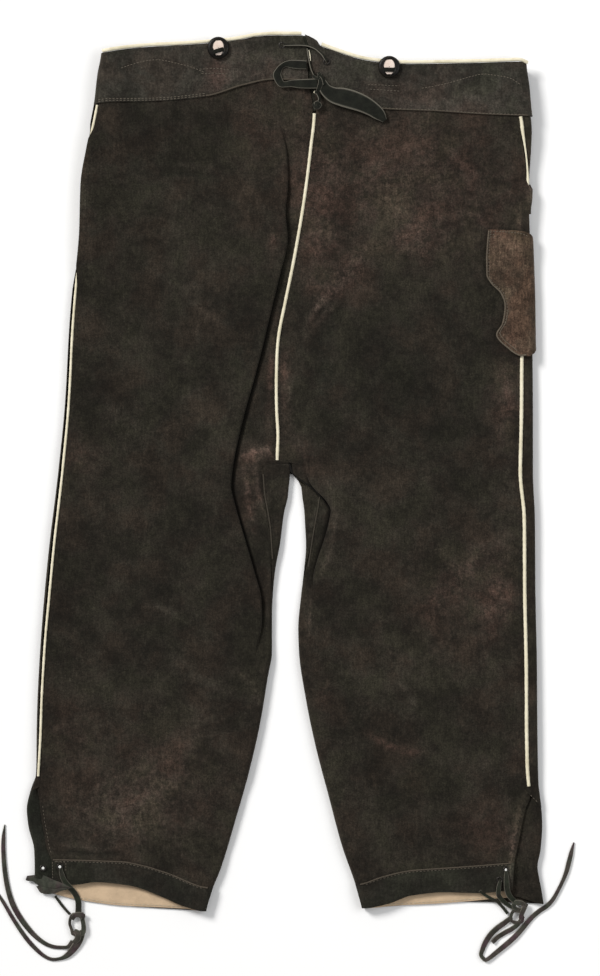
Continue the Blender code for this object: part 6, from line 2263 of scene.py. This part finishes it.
def rolled_seam(name, places, target, look, slot, width, out=0.35):
    """A narrow roll of leather that stands up along a seam."""
    line = np.array(drape_line(evenly(places, 1.5), target, out))
    line[:, 2] = np.convolve(np.pad(line[:, 2], 2, mode="edge"), np.ones(5) / 5, "valid")
    thick = width * (1 + 0.25 * field(line[:, 0], line[:, 1], 6, 7.7))
    swept_piece(name, np.column_stack([line, thick, 0.8 * thick, 0 * thick]), look, slot)


# Lines that a roll of leather stands up along: the knife pocket's wavy edge, and each inner leg.
POCKET_EDGE = [
    (488.6, 231), (487, 252), (487.1, 276), (492, 284), (500.4, 292.4), (504.6, 302), (504.8, 312),
    (502.4, 324), (496.8, 335.6), (501, 342), (507.6, 347.6), (513.6, 352.6), (520, 355.6), (526, 355),
]
INSIDE_ROLL = slice(6, 12)
INSEAMS = {
    "left": [
        (263.2, 474), (263.6, 480), (265, 496), (267.6, 510), (270.2, 526), (271.6, 544), (272.6, 560)
    ],
    "right": [(319.6, 497), (317.6, 510), (315, 524), (312.6, 538), (310.2, 554), (308.2, 568)],
}
# The lap over the crotch seam: where the panels are felt for its two edges, and how far down and at
# what share of the drop between them its rows lie.
CROTCH_LAP = ((459.0, ("left", "right")), (466.6, ("left",)))
CROTCH_ROWS = ((460.6, 0), (461.4, 0.08), (462.6, 0.35), (463.8, 0.65), (465.0, 0.92), (466.4, 1))
# A dark strip that paints the shadow along the hooked line below the crotch: across, down and width.
CROTCH_HOOK = (
    (286.6, 460.4, 1.4), (288.6, 463.4, 3.0), (290.2, 467.4, 2.8), (292, 472.4, 1.8), (297, 477, 1.0),
    (303, 481.4, 1.2), (311, 487.2, 1.5), (318, 493.6, 1.4), (325, 502, 0.8),
)
HOOK_HEIGHT = 4.6
# Where the lap runs across, and the dark sheet laid inside the crotch as painted shade: down, its
# places across.
CROTCH_SPAN = (259, 288.4)
SHADE_SHEET_HEIGHT = 1.2
CROTCH_SHADE_SHEET = (
    (459, (287.5, 291.5, 295.5)), (465, (287.5, 291.5, 295.5)), (470, (287.5, 291.5, 295.5)),
    (474.4, (290.4, 291.4, 292.4)),
)
# Where the seams and stitches along an edge start and end across the sheet.
ENDS = {
    "waist_roll": {"left": (206.0, 300.0), "right": (326.0, 528.0)},
    "hem_roll": {"left": (53.0, 209.0), "right": (360.0, 512.0)},
    "waist": {"left": (99.0, 207.0), "right": (326.0, 526.0)},
    "hem": {"left": (56.0, 203.0), "right": (366.0, 508.0)},
    "facing": {"left": (80.0, 196.0), "right": (372.0, 496.0)},
}
WAIST_ROLL_WIDTHS = {"left": 1.7, "right": 1.2}


def make_seam_rolls():
    """The pale rolls along the waist, hem and pocket seams, and each inner leg's roll coloured as a
    painted highlight.
    """
    for name, width in WAIST_ROLL_WIDTHS.items():
        places = beside(WAIST_SEAM[name], *ENDS["waist_roll"][name], -0.7)
        band = f"back_waistband_{name}"
        rolled_seam(f"roll_waist_{name}", places, band, "seam_roll", "waistband", width)
        places = beside(BAND_SEAM[name], *ENDS["hem_roll"][name], 0.6)
        rolled_seam(f"roll_hem_{name}", places, f"hem_band_strip_{name}", "seam_roll", "hem_band", 1.5)
    pocket = "knife_pocket_patch"
    rolled_seam("roll_pocket", POCKET_EDGE, pocket, "cut_edge", "knife_pocket", 1.7)
    inside = [(across + 3.2, down - 1.6) for across, down in POCKET_EDGE[INSIDE_ROLL]]
    rolled_seam("roll_pocket_inside", inside, pocket, "cut_edge", "knife_pocket", 0.9, 0.15)
    for name, places in INSEAMS.items():
        aside = (-2.0, 2.0)[name == "right"]
        line = drape_line([(a + aside, d) for a, d in evenly(places, 1.5)], f"back_leg_panel_{name}", 0)
        rows = smooth_path([(a - aside, down, height, 1.5, 1.2, 0) for a, down, height in line], 1.5)
        # The inseam roll takes the painted highlight colour.
        swept_piece(f"roll_inseam_{name}", rows, "highlight_roll", "back_panels")
    make_crotch()


def make_crotch():
    """The lap over the crotch seam, the dark strip of painted shadow that hooks down from it, and the
    dark sheet of painted shade inside it.
    """
    ends = []
    for across in np.linspace(*CROTCH_SPAN, 13):
        heights = []
        for down, sides in CROTCH_LAP:
            spots = []
            for side in sides:
                spots += drape_line([(across, down)], f"back_leg_panel_{side}", 0.3)
            heights.append(max([spot[2] for spot in spots] or [ends[-1][len(heights) + 1]]))
        ends.append((across, *heights))
    grid = [[(a, down, mix(high, low, share)) for a, high, low in ends] for down, share in CROTCH_ROWS]
    # Its cut edge is coloured as a painted highlight.
    leather_piece("crotch_lap", np.array(grid), "back_panels", edge="highlight_roll", thickness=LAP_WALL)
    rows = []
    for *place, width in CROTCH_HOOK:
        spot = drape_line([place], "back_leg_panel_right", 0.2) or [(*place, HOOK_HEIGHT)]
        rows.append((*place, max(spot[0][2], HOOK_HEIGHT), width, 1.2, 0))
    # Painted shadow: a dark strip along the hooked seam.
    swept_piece("crotch_hook", smooth_path(rows, 1.0), "seam_shadow", "back_panels")
    # Painted shade: a dark sheet in the crotch's gap.
    grid = [[(across, down, SHADE_SHEET_HEIGHT) for across in places] for down, places in CROTCH_SHADE_SHEET]
    leather_piece(
        "crotch_shade_sheet", np.array(grid), "back_panels", look="underlap_left", thickness=GUSSET_WALL
    )


# How far below the waist seam its stitch rows lie (below 0 is above it), how far each other row lies
# from its seam or edge, and the short rows at the right vent's top, along the knife pocket's mouth and
# round the left hem's eyelet.
SEAM_ROWS = {"left": (-1.2, -3.0), "right": (-1.2,)}
FROM_EDGE = {
    "top_waist": 6.4, "seam_hem": 2.0, "edge_hem": -2.4, "edge_facing": -1.4, "seam_side": 3.4,
    "seam_seat": 3.6, "edge_vent": 3.0, "border_pocket": 2.4, "border_flap": -3.0,
}
VENT_PLACES = range(806, 858, 6)
BORDER_PLACES = range(232, 340, 6)
FLAP_ROW_INSET = 16
VENT_SEAM = ([(530.5, 795.0), (539.0, 803.6)],)
POCKET_ROWS = (
    [(490.0, 231.4), (500.0, 232.0), (512.0, 233.0), (522.0, 234.6), (529.0, 237.6)],
    [(489.6, 234.6), (495.0, 235.0)],
    [(489.6, 237.4), (495.0, 237.6)],
)
EYELET_BOX = (
    [(55.0, 861.6), (66.0, 862.0)], [(52.6, 862.0), (52.8, 879.0)], [(66.0, 863.0), (66.0, 871.0)]
)


def make_stitching():
    """Seams and top-stitching, a row or a group of rows to each piece they lie on."""
    make_seam_rolls()
    far = FROM_EDGE
    for leg in SIDES:
        name, sign = leg["name"], leg["sign"]
        first, last = ENDS["waist"][name]
        hem, facing = ENDS["hem"][name], ENDS["facing"][name]
        side = side_path(leg, far["seam_side"] + PIPING_HALF_SLOT, ROW_STEP)
        seat = seat_path(ROW_STEP)[1:-2]
        vent = [(low, leg["outer"]("vent_edge", low)) for low in VENT_PLACES]
        rows = {
            "seam_waist": [beside(WAIST_SEAM[name], first, last, by) for by in SEAM_ROWS[name]],
            "arc_waist": [WAIST_ARCS[name]],
            "tack_waist": BAR_TACKS[name],
            "top_waist": [beside(WAIST_TOP[name], first + 6, last - 14, far["top_waist"])],
            "seam_hem": [beside(BAND_SEAM[name], *hem, far["seam_hem"])],
            "edge_hem": [beside(BACK_HEM[name], *hem, far["edge_hem"])],
            "edge_facing": [beside(FRONT_HEM[name], *facing, far["edge_facing"])],
            "seam_side": [side[:, :2].tolist()],
            "seam_seat": [[(across + sign * far["seam_seat"], low) for across, low, _ in seat]],
            "edge_vent": [[(edge - sign * far["edge_vent"], low) for low, edge in vent]],
        }
        for kind, lines in rows.items():
            stitch_row(kind, lines, f"_{name}")
    stitch_row("seam_vent", VENT_SEAM, "_right")
    border = [(KNIFE_POCKET("inner", low) + far["border_pocket"], low) for low in BORDER_PLACES]
    stitch_row("border_pocket", [border, *POCKET_ROWS])
    stitch_row("box_eyelet", EYELET_BOX, "_left")
    flap = np.linspace(FLAP_SIDES[0] + FLAP_ROW_INSET, FLAP_SIDES[1] - FLAP_ROW_INSET, 12)
    lines = [[(across, FLAP_ENDS[1] + far["border_flap"]) for across in flap]]
    stitch_row("border_flap", lines, below=True)


# The stage: the camera's height in metres, the view's centre and how much of the garment it holds from
# top to bottom at the height of its face, the floor's size and drop, and the lamps' place, size, power
# and colour.
CAMERA_HEIGHT = 4.0
FRAME_CENTRE = (300.0, 488.0)
FRAME_TALL = 976.0
FACE_HEIGHT = 5.0
SENSOR = 36.0
FLOOR_SIZE = 12
FLOOR_DROP = 0.0003
LAMPS = {
    "key": ((-6.6, 5.6, 6.4), 3.6, 1140.0, (1.0, 0.985, 0.965)),
    "side": ((1.9, 0.4, 2.2), 2.0, 26.0, (0.97, 0.985, 1.0)),
}


def add_light(name, spot, size, power, colour):
    """A round soft lamp that points at the middle of the floor and isn't seen itself."""
    data = bpy.data.lights.new(name, "AREA")
    data.shape = "DISK"
    data.size = size
    data.energy = power
    data.color = colour
    lamp = bpy.data.objects.new(name, data)
    lamp.location = spot
    lamp.rotation_euler = (Vector((0, 0, 0)) - Vector(spot)).to_track_quat("-Z", "Y").to_euler()
    lamp.visible_camera = False
    bpy.context.scene.collection.objects.link(lamp)


def make_stage():
    """The camera straight above, the lamps and the floor."""
    stage = bpy.context.scene.lederhosen_stage
    data = bpy.data.cameras.new("camera")
    data.sensor_width = SENSOR
    data.lens = SENSOR * (CAMERA_HEIGHT - FACE_HEIGHT * MM) / (FRAME_TALL * MM)
    data.clip_end = 100
    camera = bpy.data.objects.new("camera", data)
    spot = metres((*FRAME_CENTRE, 0))
    camera.location = (spot[0], spot[1], CAMERA_HEIGHT)
    bpy.context.scene.collection.objects.link(camera)
    bpy.context.scene.camera = camera
    bpy.context.scene.view_settings.view_transform = "Standard"
    start_fresh()
    bpy.ops.mesh.primitive_plane_add(size=FLOOR_SIZE, location=(0, 0, -FLOOR_DROP))
    floor = named("floor", floor_finish(tuple(stage.floor)))
    world = bpy.data.worlds.new("studio")
    world.use_nodes = True
    world.node_tree.nodes["Background"].inputs["Color"].default_value = (1, 1, 1, 1)
    world.node_tree.nodes["Background"].inputs["Strength"].default_value = stage.fill
    bpy.context.scene.world = world
    for name, (spot, size, power, colour) in LAMPS.items():
        add_light(name, spot, size, power * stage.key, colour)


def floor_finish(colour):
    """The floor's finish, very faintly mottled."""
    made = Finish("pale_floor", roughness=0.9, specular=0.1)
    return made.done(made.mix(made.noise(3.0), colour, tuple(c * 0.985 for c in colour)))


# The add-on
class LederhosenLeather(bpy.types.PropertyGroup):
    """Thickness, creases and colours of the suede."""

    wall: FloatProperty(
        name="Leather", description="Thickness of the leather", subtype="DISTANCE", unit="LENGTH",
        default=LEATHER * MM, min=0.0005, max=0.003,
    )
    creases: FloatProperty(
        name="Creases", description="Depth of the slack waves and creases, 1 as worn in",
        subtype="FACTOR", default=1.0, min=0.0, max=2.0,
    )
    colour: FloatVectorProperty(
        name="Suede", description="Main colour of the napped leather",
        subtype="COLOR", default=(0.0162, 0.0137, 0.0100),
    )
    # The warm, pale and dark tints below serve worn places and also paint highlight on ridges and shade
    # in troughs.
    warm: FloatVectorProperty(
        name="Worn warm", description="Reddish brown of the rubbed places",
        subtype="COLOR", default=(0.0312, 0.0212, 0.0160),
    )
    pale: FloatVectorProperty(
        name="Scuffed", description="Colour of the pale scuffs",
        subtype="COLOR", default=(0.0420, 0.0355, 0.0270),
    )
    dark: FloatVectorProperty(
        name="Rubbed dark", description="Green-grey of the smoothed nap",
        subtype="COLOR", default=(0.0096, 0.0092, 0.0067),
    )
    waistband: FloatVectorProperty(
        name="Waistband", description="Lighter suede of the waistband",
        subtype="COLOR", default=(0.0262, 0.0240, 0.0190),
    )
    hem_band: FloatVectorProperty(
        name="Hem bands", description="Darker suede of the bands at the knee",
        subtype="COLOR", default=(0.0128, 0.0122, 0.0092),
    )
    pocket: FloatVectorProperty(
        name="Knife pocket", description="Lighter suede of the knife pocket",
        subtype="COLOR", default=(0.062, 0.043, 0.029),
    )
    underlap: FloatVectorProperty(
        name="Vent strips", description="Dark green-brown of the strips under the vents",
        subtype="COLOR", default=(0.0120, 0.0132, 0.0098),
    )
    cut_edge: FloatVectorProperty(
        name="Cut edge", description="Raw side of the cut leather",
        subtype="COLOR", default=(0.105, 0.085, 0.062),
    )


class LederhosenTrim(bpy.types.PropertyGroup):
    """Thread, piping, laces, buttons and eyelets."""

    thread: FloatProperty(
        name="Thread", description="Thickness of the stitching thread, 1 as sewn", subtype="FACTOR",
        default=1.0, min=0.5, max=2.0,
    )
    cream: FloatVectorProperty(
        name="Piping", description="Cream of the piping and binding",
        subtype="COLOR", default=(0.78, 0.72, 0.55),
    )
    soil: FloatVectorProperty(
        name="Soiling", description="Grime on the cream leather",
        subtype="COLOR", default=(0.42, 0.36, 0.20),
    )
    facing: FloatVectorProperty(
        name="Hem facing", description="Beige of the strip inside the hem",
        subtype="COLOR", default=(0.57, 0.42, 0.275),
    )
    lace: FloatVectorProperty(
        name="Waist lace", description="Dark green-brown of the waist lace",
        subtype="COLOR", default=(0.0085, 0.0092, 0.0062),
    )
    hem_lace: FloatVectorProperty(
        name="Hem laces", description="Grey-brown of the hem laces",
        subtype="COLOR", default=(0.044, 0.038, 0.032),
    )
    lace_edge: FloatVectorProperty(
        name="Lace edge", description="Paler cut edges of the laces",
        subtype="COLOR", default=(0.125, 0.115, 0.092),
    )
    horn: FloatVectorProperty(
        name="Horn", description="Dark horn of the buttons", subtype="COLOR",
        default=(0.0050, 0.0042, 0.0034),
    )
    horn_streak: FloatVectorProperty(
        name="Horn streaks", description="Paler streaks in the horn", subtype="COLOR",
        default=(0.016, 0.013, 0.008),
    )
    metal: FloatVectorProperty(
        name="Eyelets", description="Blackened metal of the eyelets", subtype="COLOR",
        default=(0.03, 0.027, 0.024),
    )


class LederhosenStage(bpy.types.PropertyGroup):
    """Floor and light."""

    floor: FloatVectorProperty(
        name="Floor", description="Colour of the pale floor", subtype="COLOR",
        default=(0.93, 0.93, 0.93),
    )
    key: FloatProperty(
        name="Key light", description="Strength of the soft lamps", subtype="FACTOR", default=1.0,
        min=0.0, max=4.0,
    )
    fill: FloatProperty(
        name="Fill light", description="Strength of the light from all round", subtype="FACTOR",
        default=0.375, min=0.0, max=4.0,
    )


class LederhosenAddStage(bpy.types.Operator):
    """Camera, soft lights and the pale floor."""

    bl_idname = "lederhosen.stage"
    bl_label = "Stage"
    bl_options = {"REGISTER", "UNDO"}

    def execute(self, context):
        make_stage()
        return {"FINISHED"}


class LederhosenAddLaces(bpy.types.Operator):
    """The waist lace and both hem laces, with their knots."""

    bl_idname = "lederhosen.laces"
    bl_label = "Laces"
    bl_options = {"REGISTER", "UNDO"}

    def execute(self, context):
        make_laces()
        return {"FINISHED"}


class LederhosenAddLegPanels(bpy.types.Operator):
    """The back and front leather panels of both legs."""

    bl_idname = "lederhosen.leg_panels"
    bl_label = "Leg panels"
    bl_options = {"REGISTER", "UNDO"}

    def execute(self, context):
        make_leg_panels()
        return {"FINISHED"}


class LederhosenAddWaistband(bpy.types.Operator):
    """The back and front waistbands."""

    bl_idname = "lederhosen.waistband"
    bl_label = "Waistband"
    bl_options = {"REGISTER", "UNDO"}

    def execute(self, context):
        make_waistband()
        return {"FINISHED"}


class LederhosenAddBinding(bpy.types.Operator):
    """The cream binding over the waistband's top edge."""

    bl_idname = "lederhosen.binding"
    bl_label = "Binding"
    bl_options = {"REGISTER", "UNDO"}

    def execute(self, context):
        make_binding()
        return {"FINISHED"}


class LederhosenAddPiping(bpy.types.Operator):
    """The cream piping in the seat seam and both side seams."""

    bl_idname = "lederhosen.piping"
    bl_label = "Piping"
    bl_options = {"REGISTER", "UNDO"}

    def execute(self, context):
        make_piping()
        return {"FINISHED"}


class LederhosenAddPockets(bpy.types.Operator):
    """The knife pocket and the mouth of the front pocket."""

    bl_idname = "lederhosen.pockets"
    bl_label = "Pockets"
    bl_options = {"REGISTER", "UNDO"}

    def execute(self, context):
        make_pockets()
        return {"FINISHED"}


class LederhosenAddHemBands(bpy.types.Operator):
    """The band sewn over each back hem."""

    bl_idname = "lederhosen.hem_bands"
    bl_label = "Hem bands"
    bl_options = {"REGISTER", "UNDO"}

    def execute(self, context):
        make_hem_bands()
        return {"FINISHED"}


class LederhosenAddHemFacings(bpy.types.Operator):
    """The beige strip inside each front hem."""

    bl_idname = "lederhosen.hem_facings"
    bl_label = "Hem facings"
    bl_options = {"REGISTER", "UNDO"}

    def execute(self, context):
        make_hem_facings()
        return {"FINISHED"}


class LederhosenAddUnderlaps(bpy.types.Operator):
    """The strip under each side vent."""

    bl_idname = "lederhosen.underlaps"
    bl_label = "Vent underlaps"
    bl_options = {"REGISTER", "UNDO"}

    def execute(self, context):
        make_underlaps()
        return {"FINISHED"}


class LederhosenAddFlap(bpy.types.Operator):
    """The flap over the front opening."""

    bl_idname = "lederhosen.flap"
    bl_label = "Drop flap"
    bl_options = {"REGISTER", "UNDO"}

    def execute(self, context):
        make_flap()
        return {"FINISHED"}


class LederhosenAddButtons(bpy.types.Operator):
    """The turned horn buttons, their insets and straps."""

    bl_idname = "lederhosen.buttons"
    bl_label = "Buttons"
    bl_options = {"REGISTER", "UNDO"}

    def execute(self, context):
        make_buttons()
        return {"FINISHED"}


class LederhosenAddEyelets(bpy.types.Operator):
    """The metal rims of the lace holes."""

    bl_idname = "lederhosen.eyelets"
    bl_label = "Eyelets"
    bl_options = {"REGISTER", "UNDO"}

    def execute(self, context):
        make_eyelets()
        return {"FINISHED"}


class LederhosenAddStitching(bpy.types.Operator):
    """Seam stitches, top-stitching and bar tacks."""

    bl_idname = "lederhosen.stitching"
    bl_label = "Stitching"
    bl_options = {"REGISTER", "UNDO"}

    def execute(self, context):
        make_stitching()
        return {"FINISHED"}


STEPS = (
    LederhosenAddStage,
    LederhosenAddLaces,
    LederhosenAddLegPanels,
    LederhosenAddWaistband,
    LederhosenAddBinding,
    LederhosenAddPiping,
    LederhosenAddPockets,
    LederhosenAddHemBands,
    LederhosenAddHemFacings,
    LederhosenAddUnderlaps,
    LederhosenAddFlap,
    LederhosenAddButtons,
    LederhosenAddEyelets,
    LederhosenAddStitching,
)


class LederhosenPanel(bpy.types.Panel):
    """Lists the making of the lederhosen, step by step."""

    bl_idname = "VIEW3D_PT_lederhosen"
    bl_label = "Lederhosen"
    bl_space_type = "VIEW_3D"
    bl_region_type = "UI"
    bl_category = "Lederhosen"

    def draw(self, context):
        layout = self.layout
        for group in SETTINGS:
            settings = getattr(context.scene, group)
            box = layout.box()
            for name in settings.bl_rna.properties.keys():
                if name not in ("rna_type", "name"):
                    box.prop(settings, name)
        for step in STEPS:
            layout.operator(step.bl_idname)


SETTINGS = {
    "lederhosen_leather": LederhosenLeather,
    "lederhosen_trim": LederhosenTrim,
    "lederhosen_stage": LederhosenStage,
}


def register():
    """Adds the settings, the operators and the panel to Blender."""
    for each in (*SETTINGS.values(), *STEPS, LederhosenPanel):
        bpy.utils.register_class(each)
    for name, group in SETTINGS.items():
        setattr(bpy.types.Scene, name, PointerProperty(type=group))


def unregister():
    """Takes them away again."""
    for name in SETTINGS:
        delattr(bpy.types.Scene, name)
    for each in reversed((*SETTINGS.values(), *STEPS, LederhosenPanel)):
        bpy.utils.unregister_class(each)


def main():
    """Makes the whole scene, a step at a time."""
    register()
    for step in STEPS:
        group, name = step.bl_idname.split(".")
        getattr(getattr(bpy.ops, group), name)()
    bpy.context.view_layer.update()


if __name__ == "__main__":
    main()
